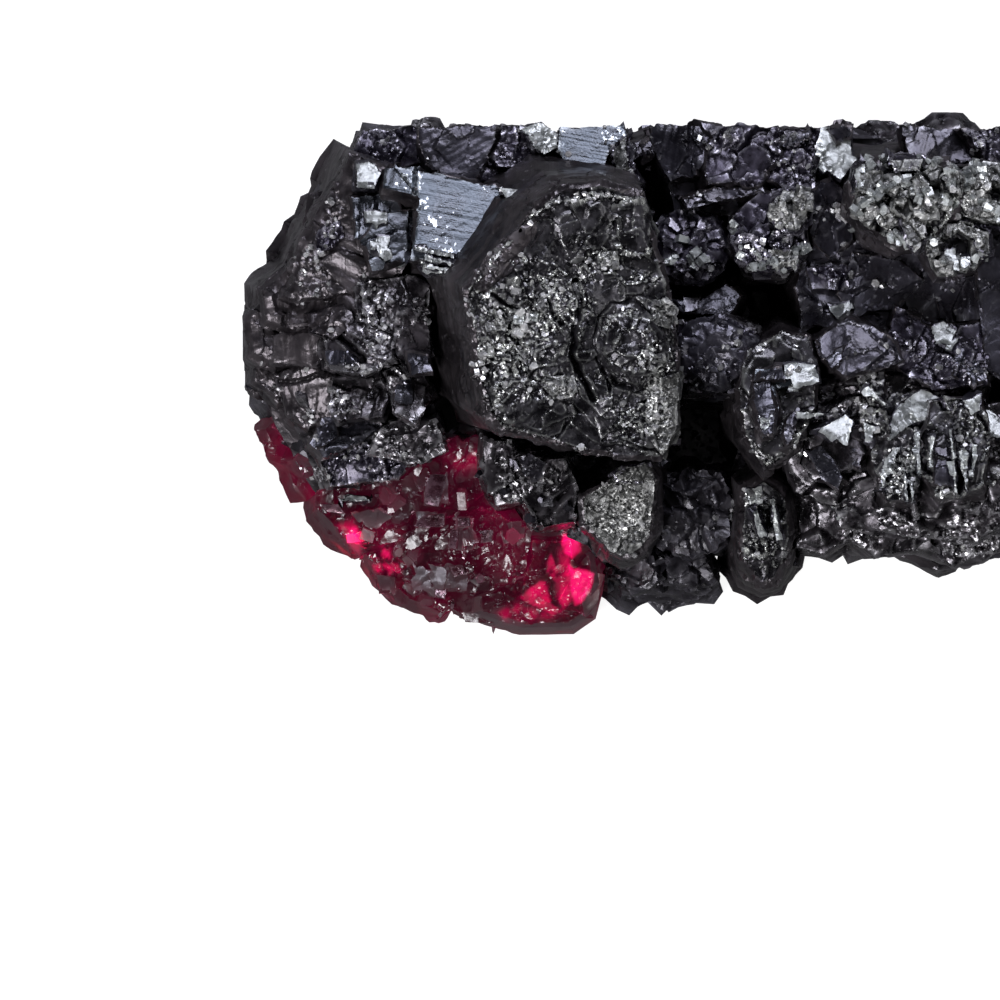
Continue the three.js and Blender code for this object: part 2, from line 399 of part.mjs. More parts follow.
/** A straight crystal between two points of the cluster, with a blunt tip. */
function prism({ foot, tip, radius, turn = PRISM.turn }) {
	const start = place(...foot);
	const end = place(...tip);
	const along = end.clone().sub(start).normalize();
	const across = new THREE.Vector3(0, 0, 1).cross(along).normalize();
	const up = along.clone().cross(across);
	const ring = (share, scale) => Array.from({ length: PRISM.sides }, (_, index) => {
		const angle = turn + (index / PRISM.sides) * Math.PI * 2;
		const size = radius * SQUARE * scale;
		return start.clone().lerp(end, share)
			.addScaledVector(across, Math.cos(angle) * size)
			.addScaledVector(up, Math.sin(angle) * size);
	});
	return solidThrough([ring(0, PRISM.foot), ring(PRISM.shoulder, 1), ring(1, PRISM.tip)]);
}

/** A round knob with a domed top, faceted like the crystals round it. */
function knob({ centre, radius, top, foot }) {
	const ring = (height, size) => Array.from({ length: KNOB.sides }, (_, index) => {
		const angle = -(index / KNOB.sides) * Math.PI * 2;
		return place(centre[0] + Math.cos(angle) * size, centre[1] + Math.sin(angle) * size, height);
	});
	return solidThrough([
		ring(foot, radius * KNOB.foot),
		ring(top - radius * KNOB.dome, radius),
		ring(top, radius * KNOB.tip),
	]);
}

/** The blades of one rosette, each a small crystal that leans away from the middle. */
function rosette({ centre, radius, top, petals }) {
	const half = (Math.PI / petals) * PETAL.width;
	return Array.from({ length: petals }, (_, index) => {
		const size = PETAL_SIZES[index % PETAL_SIZES.length];
		const angle = (index / petals) * Math.PI * 2 + radius;
		const outward = [Math.cos(angle), Math.sin(angle)];
		const corner = (share, turn) => [
			centre[0] + Math.cos(angle + turn) * radius * share,
			centre[1] + Math.sin(angle + turn) * radius * share,
		];
		return crystal({
			face: [corner(PETAL.hollow, -half), corner(size * PETAL.shoulders[0], -half), corner(size, 0),
				corner(size * PETAL.shoulders[1], half), corner(PETAL.hollow, half)],
			height: top - (1 - size) * radius,
			slope: [-outward[0] * PETAL.fall, -outward[1] * PETAL.fall],
			lean: [-outward[0] * PETAL.lean, -outward[1] * PETAL.lean],
			depth: PETAL.depth,
		});
	});
}

/** The solid mass under the crystals, craggy round its sides and flat underneath. */
function core() {
	const [middleX, middleY] = middleOf(OUTLINE);
	const ring = ({ height, inset, crag }, level) => OUTLINE.map(([x, y], index) => {
		const wave = Math.sin(index * CRAG_TURN.point + level * CRAG_TURN.level);
		const reach = Math.hypot(x - middleX, y - middleY);
		const scale = (reach - inset + wave * crag) / reach;
		return place(middleX + (x - middleX) * scale, middleY + (y - middleY) * scale, height);
	});
	return solidThrough(CORE_LEVELS.map((entry, level) => ring(entry, level)));
}

/** A gap between crystals, as the solid that is cut away from the mass. */
function gap({ face, floor }) {
	const top = CORE_LEVELS.at(-1).height + GAP_RISE;
	const ring = (height) => anticlockwise(face).map(([x, y]) => place(x, y, height));
	return solidThrough([ring(floor), ring(top)]);
}

/** The crystals round the back and right flanks: each points out and up from the mass. */
function flankCrystals() {
	const [middleX, middleY] = middleOf(OUTLINE);
	return FLANK_TIERS.flatMap(({ tip, rise, radius, inset, length }, tier) => {
		const picked = OUTLINE.filter((_, index) => index >= FLANK_FIRST && (index + tier) % FLANK_STEP === 0);
		return picked.map(([x, y], index) => {
			const reach = Math.hypot(x - middleX, y - middleY);
			const outward = [(x - middleX) / reach, (y - middleY) / reach];
			const size = FLANK_SIZES[(index + tier) % FLANK_SIZES.length];
			const end = [x - outward[0] * inset, y - outward[1] * inset, tip * size];
			const start = [x - outward[0] * length, y - outward[1] * length, Math.max(tip * size - rise, FOOT)];
			return prism({ foot: start, tip: end, radius: radius * size, turn: PRISM.turn + index });
		});
	});
}

/** Everything above the flat cut, with nothing reaching below it. */
function aboveCut(solid) {
	const low = solid.boundingBox().min[2];
	if (low >= 0) {
		return solid;
	}
	const below = new THREE.BoxGeometry(CUT_BLOCK, CUT_BLOCK, CUT_BLOCK).translate(0, 0, -CUT_BLOCK / 2);
	return solid.subtract(solidOf(below));
}

/** The whole cluster as one solid. */
function cluster() {
	const mass = GAPS.reduce((solid, entry) => solid.subtract(gap(entry)), core());
	const crystals = [LEFT_FLANK, BLUE_GREY, BACK_ROW, [HEXAGONAL], RIGHT_MASS, FRONT_ROW, RUBY].flat();
	const parts = [
		...crystals.map(crystal),
		...HEXAGONAL_RELIEF.map((entry) => plate(entry, HEXAGONAL)),
		...KNOBS.map(knob),
		...ROSETTES.flatMap(rosette),
		...[...STRUTS, ...FOOT_CRYSTALS].map(prism),
		...flankCrystals(),
	];
	const joined = aboveCut(parts.reduce((solid, part) => solid.add(part), mass));
	const shells = joined.decompose();
	return shells.reduce((largest, shell) => (shell.volume() > largest.volume() ? shell : largest));
}

/** Mesh of a solid, with flat faces. */
function meshOf(solid, name, material) {
	const { vertProperties, triVerts } = solid.getMesh();
	const geometry = new THREE.BufferGeometry();
	geometry.setAttribute('position', new THREE.BufferAttribute(vertProperties, 3));
	geometry.setIndex(new THREE.BufferAttribute(triVerts, 1));
	geometry.computeVertexNormals();
	const mesh = new THREE.Mesh(geometry, material);
	mesh.name = name;
	return mesh;
}

const pyrargyrite = new THREE.MeshStandardMaterial({ color: 0x2a2430, roughness: 0.3, metalness: 0.75 });

const specimen = new THREE.Group();
specimen.add(meshOf(cluster(), 'pyrargyrite_cluster', pyrargyrite));

export default specimen;
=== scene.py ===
"""Pyrargyrite specimen: black metallic crystals grown into one another, ruby red at one thin corner.

The crystals are drawn on a plan, seen straight down on their faces. The plan is ruled in squares of 0.7 mm:
x runs right, y runs towards the front, and heights are squares above the flat cut that the specimen rests on.
"""

import itertools
import logging
import math
from dataclasses import dataclass
from enum import Enum
from typing import Iterable, Sequence

import bpy
import numpy as np
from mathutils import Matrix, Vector
from mathutils.geometry import tessellate_polygon


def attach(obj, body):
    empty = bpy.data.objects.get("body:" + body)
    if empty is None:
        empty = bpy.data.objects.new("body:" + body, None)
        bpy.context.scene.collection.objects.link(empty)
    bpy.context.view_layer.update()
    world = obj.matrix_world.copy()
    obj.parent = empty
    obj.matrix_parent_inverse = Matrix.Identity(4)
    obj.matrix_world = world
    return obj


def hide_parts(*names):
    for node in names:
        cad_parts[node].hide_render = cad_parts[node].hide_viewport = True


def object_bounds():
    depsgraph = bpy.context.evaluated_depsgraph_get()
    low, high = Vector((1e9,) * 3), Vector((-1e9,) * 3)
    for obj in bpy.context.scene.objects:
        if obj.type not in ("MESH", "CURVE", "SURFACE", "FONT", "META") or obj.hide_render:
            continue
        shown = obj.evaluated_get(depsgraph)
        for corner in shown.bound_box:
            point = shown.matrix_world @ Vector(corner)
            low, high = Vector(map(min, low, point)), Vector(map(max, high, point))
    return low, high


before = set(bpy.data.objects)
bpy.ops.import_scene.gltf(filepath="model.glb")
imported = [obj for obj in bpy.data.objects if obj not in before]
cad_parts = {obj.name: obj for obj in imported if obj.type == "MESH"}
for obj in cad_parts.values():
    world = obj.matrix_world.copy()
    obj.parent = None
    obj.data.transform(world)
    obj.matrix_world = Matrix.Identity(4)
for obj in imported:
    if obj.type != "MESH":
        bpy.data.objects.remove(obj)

CAD_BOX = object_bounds()
NODE = "pyrargyrite_cluster"
SQUARE = 0.0007  # metres
PLAN_CENTRE = (69.27, 37.28)  # point of the plan over the origin, in squares
FOOT = 1.5  # lowest height of a crystal's root, in squares
DEPTH = 16.0  # how far a crystal runs down into the cluster where its entry says nothing else
SPREAD = 1.12  # how much wider it is at its root than at its face
SKIN = 0.00004  # metres left free inside the box of the solid

Point = tuple[float, float]
logging.basicConfig(level=logging.INFO, format="%(message)s")
log = logging.getLogger("specimen")


class Look(Enum):
    """Finishes that the crystal faces can have."""

    TERRACED = "terraced_black"
    STEPPED = "stepped_black"
    SPECKLED = "speckled_black"
    GLITTER = "glittering_purple"
    SATIN = "satin_purple_grey"
    MIRROR = "blue_grey_mirror"
    BLOCKY = "blocky_blue_grey"
    SILVERY = "silvery_lilac"
    # pale shards and bright grains: their pale colour is partly their own and partly a painted reflection of the lights
    # that they face
    SHARD = "pale_shard"
    GRAIN = "bright_grain"
    CRUST = "grey_green_crust"
    BAND = "brown_prism_side"
    RAW = "broken_mass"
    RUBY = "ruby_body"
    RUBY_FACE = "ruby_facet"
    # pinkish-grey ruby facets, whose colour is a painted reflection
    ROSE = "ruby_facet_painted_reflection"


@dataclass(frozen=True)
class Bed:
    """A bed of small overlapping crystals: how much their heights differ, their size, stretch and slopes."""

    height: float
    size: float
    tilt: float = 0.35
    stretch: float = 1.0
    steep: float = 2.5


@dataclass(frozen=True)
class Relief:
    """How rough a surface is; heights and widths in squares.

    Terraces are growth steps, beds are of small crystals, ribs straight striations, wear the chipping along
    a face's edges, and ridges the share that it takes of the plan's ridges.
    """

    beds: tuple[Bed, ...] = ()
    terrace: float = 0.0
    terrace_size: float = 3.0
    steps: float = 4.0
    inward: float = 0.12
    swell: float = 0.0
    rib: float = 0.0
    rib_width: float = 0.5
    grain: float = 0.03
    wear: float = 0.12
    wear_width: float = 0.5
    ridges: float = 1.0


@dataclass(frozen=True)
class Crystal:
    """One crystal: its face on the plan, the height of the face's middle, and how its body runs down.

    The slope is the face's rise per square to the right and towards the front, and the lean is how far its
    root stands off its face.
    """

    face: tuple[Point, ...]
    height: float
    look: Look = Look.STEPPED
    slope: Point = (0.0, 0.0)
    lean: Point = (0.0, 0.0)
    depth: float = DEPTH
    spread: float = SPREAD
    bevel: float = 0.0
    side: Look | None = None

    @property
    def middle(self) -> Point:
        """Mean of the face's corners."""
        xs, ys = zip(*self.face)
        return sum(xs) / len(xs), sum(ys) / len(ys)

    def level(self, x: float, y: float) -> float:
        """Height of the face's plane over a point of the plan."""
        middle = self.middle
        return self.height + self.slope[0] * (x - middle[0]) + self.slope[1] * (y - middle[1])



# Widest outline of the cluster on the plan, from its back left corner round the front
OUTLINE: tuple[Point, ...] = (
    (36.4, 12.4), (34.6, 15.4), (31.6, 18), (29.6, 20.6), (28.8, 22.6), (27.4, 25.6), (26.4, 28), (24.6, 30.6),
    (23.6, 34), (24.2, 37), (24.9, 40), (26, 43), (26.4, 46.6), (27.6, 48.4), (30, 49.4), (31.2, 52),
    (33.8, 54), (36.2, 56.8), (38, 59.2), (41.6, 61.4), (45.6, 62.8), (50, 63), (55, 63.6), (58.4, 62.8),
    (60.4, 59.6), (62.6, 58.4), (66, 58.8), (69.6, 58.8), (71.8, 55.4), (73.8, 55), (77, 57.2), (79.6, 55.4),
    (84, 54.6), (88, 54.8), (91, 54.4), (94.6, 55.8), (98, 55.6), (101, 55.4), (106, 53.6), (109.4, 51),
    (112.4, 46.6), (114.2, 41), (115, 34.4), (114, 27.6), (111.6, 21), (107.6, 16), (103.4, 13.4),
    (98, 12.2), (92, 12.8), (86, 12.2), (80, 13), (74, 12.2), (68, 12.8), (62, 12.4), (56, 13), (50, 12.4),
    (44, 12.8), (39.6, 12.2),
)

LEFT_FLANK: tuple[Crystal, ...] = (
    Crystal(((36, 13), (42, 12.6), (42.2, 16.2), (38.8, 17), (35.4, 18.6), (34.2, 17)), 22, Look.SPECKLED,
            slope=(0.15, 0.2), lean=(0.2, 1)),
    Crystal(((35.2, 15.4), (38.6, 16.6), (39.2, 19.6), (41.6, 20.4), (41, 26), (40, 27.6), (36, 29.2), (30,
            30), (28.8, 29.4), (29.4, 27.2), (30.2, 24.6), (31.4, 22), (32.4, 20.4), (33.9, 18.2)), 26,
            Look.BAND, slope=(0.3, 0.05), lean=(-1.3, 0.7), depth=19),
    Crystal(((35, 19.6), (38.6, 19.2), (39.8, 21.4), (38.6, 23.4), (35.6, 23.6)), 29, Look.BLOCKY,
            slope=(0.12, 0.35), depth=8),
    Crystal(((38.4, 21.6), (41.2, 21.2), (40.8, 25.8), (37.4, 26.6), (36.4, 24)), 29.8, Look.BLOCKY,
            slope=(-0.06, 0.25), depth=8),
    Crystal(((32, 20.6), (34.4, 19.6), (34.2, 23.8), (31.8, 25.6), (31.2, 23)), 25.8, Look.GLITTER,
            slope=(0.4, 0.3), depth=6),
    Crystal(((28.6, 29.8), (31, 28.9), (35.4, 28.8), (36.2, 31.6), (32.4, 32.6), (28.6, 32.8)), 24.6,
            Look.BAND, slope=(0.46, 0.2), lean=(1.4, 0.4)),
    Crystal(((35.2, 28.6), (40.6, 27.2), (43, 28.6), (42.8, 31.4), (39.4, 33.2), (36, 31.9)), 28.4,
            Look.STEPPED, slope=(0.28, 0.02), lean=(0.6, 1.4)),
    Crystal(((27, 33.4), (29.4, 32.4), (32.6, 33), (33, 35), (31.6, 36.9), (27, 36.4)), 22.4, Look.BAND,
            slope=(0.5, -0.1), lean=(1.6, -0.6)),
    Crystal(((32.2, 32.3), (36.6, 31.2), (40.2, 32.8), (39.6, 36), (36, 37.5), (32.6, 36.4)), 27,
            Look.STEPPED, slope=(0.3, 0.24), lean=(-1, 1)),
    Crystal(((39.8, 30.6), (42.8, 31), (43.2, 35.8), (41, 37.2), (39.4, 34.4)), 28.6, Look.STEPPED,
            slope=(-0.2, 0.1), lean=(1, -1)),
    Crystal(((30.4, 31.2), (34.4, 30.3), (35.2, 32.2), (33, 33.8), (30.8, 33.2)), 26, Look.BAND,
            slope=(0.34, 0.3), depth=6),
    Crystal(((27.6, 37.4), (31, 36.2), (34, 37.8), (33.8, 41.4), (30.8, 43), (28.6, 41)), 20.8, Look.BAND,
            slope=(0.4, -0.2), lean=(1.2, 0.8)),
    Crystal(((33.2, 37.6), (37.8, 36.4), (39, 39.2), (38, 41.6), (34, 42.2), (32.8, 40.4)), 25,
            Look.STEPPED, slope=(0.14, 0.2), lean=(0.8, 1.2)),
    Crystal(((38.6, 37.4), (41.8, 36.4), (43, 39.6), (41.4, 42.2), (39.2, 40.6)), 26, Look.STEPPED,
            slope=(0.1, 0.3), depth=9),
    Crystal(((34, 41.4), (38.6, 42.6), (36, 44.2), (32.2, 45.4), (31.2, 44.4), (32.4, 42)), 21.6,
            Look.SILVERY, slope=(0.1, 0.45), depth=9),
    Crystal(((39, 42.2), (43.4, 41.8), (44.4, 44.6), (41, 46.4), (37.2, 45.2)), 22, Look.STEPPED,
            slope=(0.12, -0.2), depth=12),
    Crystal(((31.6, 45.6), (36, 44.4), (41.4, 45.8), (40, 47.6), (36, 48.2), (32.8, 48.4)), 18.6,
            Look.SPECKLED, slope=(0.16, -0.2), lean=(-0.4, 1.2)),
)

BLUE_GREY: tuple[Crystal, ...] = (
    Crystal(((39.2, 16.6), (42, 17.1), (46, 17.9), (49, 18.8), (50, 19.8), (50.2, 20.9), (46.2, 25.6),
            (45.6, 26.6), (41.2, 25.8), (41.7, 21.4), (41.9, 20)), 33, Look.MIRROR, slope=(0.02, 0.3),
            lean=(1, 2)),
    Crystal(((38.4, 16.8), (41.9, 16.6), (42.2, 19.8), (38.2, 18.9)), 31.6, Look.MIRROR, slope=(0.1, 0.42),
            lean=(1, 2), depth=9),
    Crystal(((41.2, 25.5), (46.2, 25.5), (45.2, 27.6), (43, 27.4)), 34.3, Look.SHARD, slope=(-0.05, 0.42),
            depth=12),
    Crystal(((35.6, 16.3), (37, 16.1), (38, 17.3), (37.5, 19), (35.6, 18.9)), 30, Look.SHARD, slope=(0.04,
            0.42), depth=8),
    Crystal(((49.8, 18.8), (52, 19), (51, 20.8)), 34.8, Look.SHARD, slope=(0.1, 0.55), depth=7),
)

BACK_ROW: tuple[Crystal, ...] = (
    Crystal(((42, 12.6), (49.8, 12.4), (49.6, 14), (48, 17.4), (47.4, 18.2), (44, 17.4), (42.4, 16.4),
            (41.8, 14)), 28, Look.SATIN, slope=(0.04, 0.22), lean=(1.6, 3.2)),
    Crystal(((50, 12.4), (52.2, 12.5), (54, 16), (52, 17.8), (47.8, 18.2), (49.8, 14)), 27, Look.SPECKLED,
            slope=(-0.14, -0.1), lean=(-1.4, 2.4)),
    Crystal(((52.2, 12.7), (54.2, 12.6), (55.8, 13.5), (55.8, 14.8), (54.4, 15.6), (53.4, 15)), 29.6,
            Look.SHARD, slope=(0.1, 0.62), lean=(0.6, 3)),
    Crystal(((55.8, 12.8), (62.4, 12.4), (62.8, 13.5), (61, 15), (60.5, 17), (58.3, 18.2), (56.5, 16.5),
            (55.6, 15)), 30.4, Look.MIRROR, slope=(0.06, 0.3), lean=(-1, 3.4)),
    Crystal(((61.4, 14.9), (62.2, 14.2), (62.6, 16), (64, 18.2), (63.4, 19.5), (61.4, 17.6)), 32,
            Look.CRUST, slope=(0.5, 0.1), depth=14),
    Crystal(((62.4, 14.4), (64.5, 13.6), (65.3, 15.5), (62.6, 16.2)), 30, Look.SATIN, slope=(-0.2, 0.3)),
    Crystal(((65, 12.9), (70, 12.6), (71, 14), (70, 17), (67, 18.4), (65.6, 16)), 30.6, Look.SATIN,
            slope=(0.2, 0.16), lean=(2, 2.6)),
    Crystal(((70.2, 12.6), (77.6, 12.6), (78.2, 15.4), (76, 18.2), (70.6, 18.6), (70.2, 17), (71.2, 14)),
            32, Look.GLITTER, slope=(0.04, 0.34), lean=(-1.6, 3.6)),
    Crystal(((77.6, 12.8), (82, 13), (82.8, 16), (81.8, 18.4), (79, 19), (76.6, 18), (78.2, 15.4)), 31,
            Look.GLITTER, slope=(-0.16, 0.3), lean=(1.2, 2.2)),
    Crystal(((82, 12.8), (85, 12.8), (85.2, 16), (83.6, 17.9), (81.6, 16.8)), 32.4, Look.SHARD, slope=(-0.2,
            0.5), lean=(-1.4, 3)),
    Crystal(((90.8, 12.9), (96.2, 12.6), (98.5, 16), (95, 16.4), (91.5, 15.8)), 27, Look.SATIN, slope=(0.05,
            0.2), lean=(0.8, 2.6)),
    Crystal(((96.4, 12.8), (101, 13), (102.4, 16), (98.8, 16.4)), 29, Look.GLITTER, slope=(-0.1, 0.3),
            lean=(-1.6, 2.4)),
    Crystal(((68, 19.8), (72, 18.6), (76, 18.2), (76.6, 19.4), (72.4, 20.2), (68.8, 21)), 33, Look.SATIN,
            slope=(-0.1, 0.3), depth=12),
)

RIGHT_MASS: tuple[Crystal, ...] = (
    Crystal(((73.2, 21.6), (76.2, 19.2), (80.2, 20.4), (80.8, 24.6), (78.4, 27.4), (74.6, 27.2), (72.9,
            24.6)), 33.6, Look.SPECKLED, slope=(0.06, 0.1), depth=22),
    Crystal(((80.6, 19.4), (83, 17.9), (85, 19.6), (85.2, 24), (83, 26), (81.2, 24.4)), 32, Look.SATIN,
            slope=(-0.3, -0.3), depth=20),
    Crystal(((84.7, 18.4), (87, 16.3), (91, 16), (94.5, 16.7), (96.2, 19.2), (95.4, 22.4), (93, 24.7),
            (89.5, 25.3), (86.2, 23.6), (84.8, 21.2)), 39.4, Look.TERRACED, slope=(0.04, 0.06), depth=26,
            bevel=0.8),
    Crystal(((94.8, 17.2), (98, 16.4), (102, 17), (103.2, 20), (101, 23), (97, 23.2), (95.4, 21)), 37,
            Look.TERRACED, slope=(-0.05, 0.08), depth=24),
    Crystal(((92.2, 24.4), (94.4, 22.6), (97.4, 23), (98.6, 25.2), (97, 27.4), (93.8, 27.6)), 37.4,
            Look.TERRACED, slope=(0.02, -0.05), depth=22),
    Crystal(((66.8, 29.8), (70, 29.8), (72.4, 28.4), (73.9, 30), (73, 31.7), (68.2, 31.3)), 29,
            Look.SILVERY, slope=(0.06, 0.3)),
    Crystal(((68, 32.2), (72, 31.9), (75.5, 33.1), (75.3, 37), (73, 39.2), (69.2, 38.9), (68, 36)), 31,
            Look.SPECKLED, slope=(0.12, -0.06), depth=20),
    Crystal(((80.4, 26.6), (83, 26.2), (85.4, 27), (84.6, 28.6), (81, 28.6)), 30, Look.SPECKLED, slope=(0.1,
            0.3)),
    Crystal(((85.2, 25.2), (89.4, 25.8), (92.6, 28), (90, 31), (86, 31.4), (83.6, 29.4)), 30.4,
            Look.SATIN, slope=(0.1, 0.12), depth=20),
    Crystal(((79.8, 28.8), (84.4, 28.8), (86.2, 31.2), (84, 32.4), (80.4, 32.6)), 29, Look.SATIN,
            slope=(0.2, 0.2), depth=20),
    Crystal(((81.2, 34), (84.5, 31.8), (89.4, 34.5), (90, 36.2), (84.6, 37.8), (81.6, 35.6)), 35.4,
            Look.SATIN, slope=(-0.02, 0.3), depth=20),
    Crystal(((74.6, 35), (78, 33), (80.8, 34), (81.6, 37), (81, 41), (79.5, 45), (76.4, 46.8), (74.3, 43.6),
            (73.8, 39)), 35, Look.TERRACED, slope=(0.02, 0.03), depth=26, spread=1.06),
    Crystal(((75.6, 37), (78.8, 36.6), (79.6, 38.6), (77.4, 39.2), (77, 43), (75.8, 43.6), (75.2, 40)),
            36.6, Look.MIRROR, slope=(0.12, 0.3), depth=6),
    Crystal(((78.6, 36.8), (81.4, 36.4), (81.6, 38.3), (79.2, 38.6)), 36.8, Look.SHARD, slope=(-0.1, 0.5),
            depth=6),
    Crystal(((81.4, 38.2), (87, 36.6), (88.5, 40), (88, 44), (85, 47), (81.5, 48), (79.8, 46.6), (81, 42)),
            31.4, Look.STEPPED, slope=(0.06, 0.02), depth=22),
    Crystal(((81.8, 42.8), (84.5, 41.3), (85.3, 42.1), (84.7, 44.6), (83.4, 44)), 34.4, Look.SHARD,
            slope=(0.1, 0.4), depth=9),
    Crystal(((85.6, 36.8), (88.4, 36.4), (88.8, 43.6), (86.4, 43.8)), 34.2, Look.TERRACED, slope=(0.3,
            0.05), depth=14),
    Crystal(((89.4, 30.6), (93.6, 32.2), (98.4, 32.4), (98.6, 38.4), (93.2, 39.2), (90, 37.2), (88.6, 34)),
            33.4, Look.GLITTER, slope=(-0.1, 0.22), depth=24),
    Crystal(((88.6, 39.6), (92.6, 39.2), (93.4, 44), (91, 50), (88.4, 50.4), (87.2, 46)), 33, Look.TERRACED,
            slope=(0.16, 0.12), depth=24),
    Crystal(((92.6, 40), (97.6, 39.6), (99, 44), (97.8, 49), (94, 50), (91.8, 47.6)), 35, Look.TERRACED,
            slope=(-0.22, 0.04), depth=26),
    Crystal(((92.8, 27.8), (97.8, 27.4), (99, 31.6), (94, 32)), 31, Look.SATIN, slope=(0.2, 0.1),
            depth=20),
    Crystal(((97.4, 24.4), (101, 23), (106, 22.4), (108, 28), (107, 36), (102.4, 39.6), (98.6, 37.4), (97.6,
            30)), 32.4, Look.SATIN, slope=(-0.16, 0.04), depth=26),
    Crystal(((98.2, 40.4), (101, 39.8), (105, 40.6), (107.4, 45), (104.4, 50), (99.4, 51.2), (97.8, 46)),
            30, Look.STEPPED, slope=(-0.2, -0.08), depth=24),
    Crystal(((101.4, 13.8), (105.4, 15.2), (109.4, 19.4), (107, 22.6), (103.2, 20), (101.2, 16.6)), 27,
            Look.SPECKLED, slope=(-0.24, 0.26), lean=(-2.4, 2)),
    Crystal(((106.4, 22.6), (110.4, 22.4), (112.8, 28), (112.6, 35.6), (109, 38), (106.6, 34)), 25,
            Look.SATIN, slope=(-0.4, 0.04), lean=(-3, -1)),
    Crystal(((106.4, 38), (111.6, 38.4), (111, 44), (107.8, 49), (104.8, 47.6), (105, 42)), 23,
            Look.STEPPED, slope=(-0.4, -0.24), lean=(-2.4, -1.6)),
)

# Smooth bodies in the gaps between the crystals of the right side
RIGHT_BODIES: tuple[Crystal, ...] = (
    Crystal(((79.6, 18.6), (84.6, 17.6), (86.4, 23.6), (92.4, 26.2), (98, 27.2), (100.6, 32), (97, 35.4),
             (91, 35), (85.4, 32.6), (80, 32.8), (79.4, 28.6), (80.8, 25.4)), 29.6, Look.SATIN, slope=(0.06, 0.1)),
    Crystal(((66.6, 17.4), (72, 17), (79, 18), (79.4, 20), (73, 21.8), (67.4, 21.6)), 29, Look.SATIN,
            slope=(0, 0.1)),
    Crystal(((86.4, 36), (90.4, 36.4), (93, 38.6), (98.6, 38.4), (98.4, 41), (88, 41.2), (86, 40)), 31.4,
            Look.STEPPED),
    Crystal(((79.6, 40), (84, 37), (88.8, 40.6), (88.6, 48), (84, 50.6), (79.6, 49), (78.6, 45.6)), 28.4,
            Look.STEPPED),
    Crystal(((83.4, 48), (88.4, 46.6), (93, 49), (98.6, 48.6), (101, 51.6), (98, 54), (90, 53.6), (84, 52.6)),
            27.6, Look.STEPPED, slope=(0, -0.35)),
)

FRONT_ROW: tuple[Crystal, ...] = (
    Crystal(((57.9, 49.6), (60.5, 47.8), (61.4, 47), (65, 46.8), (65.7, 48), (65.5, 52), (65.3, 53.5),
            (64.4, 55), (63.4, 55.7), (62, 56), (60.9, 55.6), (60, 54.4), (58.2, 52.4)), 30, Look.CRUST,
            slope=(0.04, -0.24), lean=(0, -1), depth=22, bevel=0.5, side=Look.BAND),
    Crystal(((48.2, 43.4), (51, 44.4), (52.6, 47), (51.6, 50), (49.6, 50.4), (48.2, 47.4)), 27,
            Look.STEPPED, slope=(0.3, -0.2), depth=18),
    Crystal(((51.4, 45.4), (56.4, 45.8), (57.6, 49), (57.4, 52.4), (53.6, 52.6), (51.8, 49.4)), 27.6,
            Look.STEPPED, slope=(-0.24, -0.24), depth=18),
    Crystal(((66, 49.6), (69, 46.8), (72, 47.4), (73.6, 50), (72.4, 53.8), (69.4, 55.2), (66.4, 54.2)), 20,
            Look.RAW, slope=(0.12, -0.12), depth=14),
    Crystal(((74, 48.4), (76.4, 47), (78.9, 49), (79.4, 54), (78.9, 56.6), (77.7, 58.4), (76.6, 58.7), (75.4, 58),
            (74.4, 56.4), (73.9, 53)),
            25.6, Look.TERRACED, slope=(-0.08, -0.3), lean=(0, -0.7), depth=22, bevel=1),
    Crystal(((79.2, 48.6), (84, 47.6), (86, 50), (85.4, 53.4), (82.4, 55.4), (79.7, 54.8), (79.4, 51.6)),
            24, Look.STEPPED, slope=(0.05, -0.34), lean=(1, -0.9)),
    Crystal(((83.2, 49.6), (85.2, 49.4), (85.6, 51.6), (83.6, 52.2)), 27, Look.SHARD, slope=(0.1, 0.35),
            depth=7),
    Crystal(((86.2, 50.2), (92, 50.6), (93.4, 53.6), (91.6, 55.2), (87.6, 55.6), (85.6, 53.6)), 23.6,
            Look.STEPPED, slope=(0.04, -0.36), lean=(-1.4, -1.2)),
    Crystal(((93, 50.6), (98, 50.4), (100.8, 53), (99.2, 55.4), (95.4, 56.6), (93.6, 54.6)), 22,
            Look.STEPPED, slope=(-0.1, -0.36), lean=(1.2, -1.6)),
    Crystal(((101, 51.2), (105.4, 49.6), (107.4, 51.4), (104, 54.8), (100.8, 55.2)), 19, Look.SPECKLED,
            slope=(-0.3, -0.34), lean=(-1.6, -1.4)),
    Crystal(((60.8, 55.9), (66, 55.8), (67, 57.8), (65.8, 58.6), (62.6, 58.4), (60.8, 57.4)), 12,
            Look.RAW, slope=(0.1, -0.44), lean=(0, 0.9), depth=10),
    Crystal(((66.4, 55.4), (71, 55.6), (71.4, 57.8), (70, 58.9), (66.9, 58.4)), 13, Look.RAW,
            slope=(-0.1, -0.44), lean=(0, 0.9), depth=11),
)

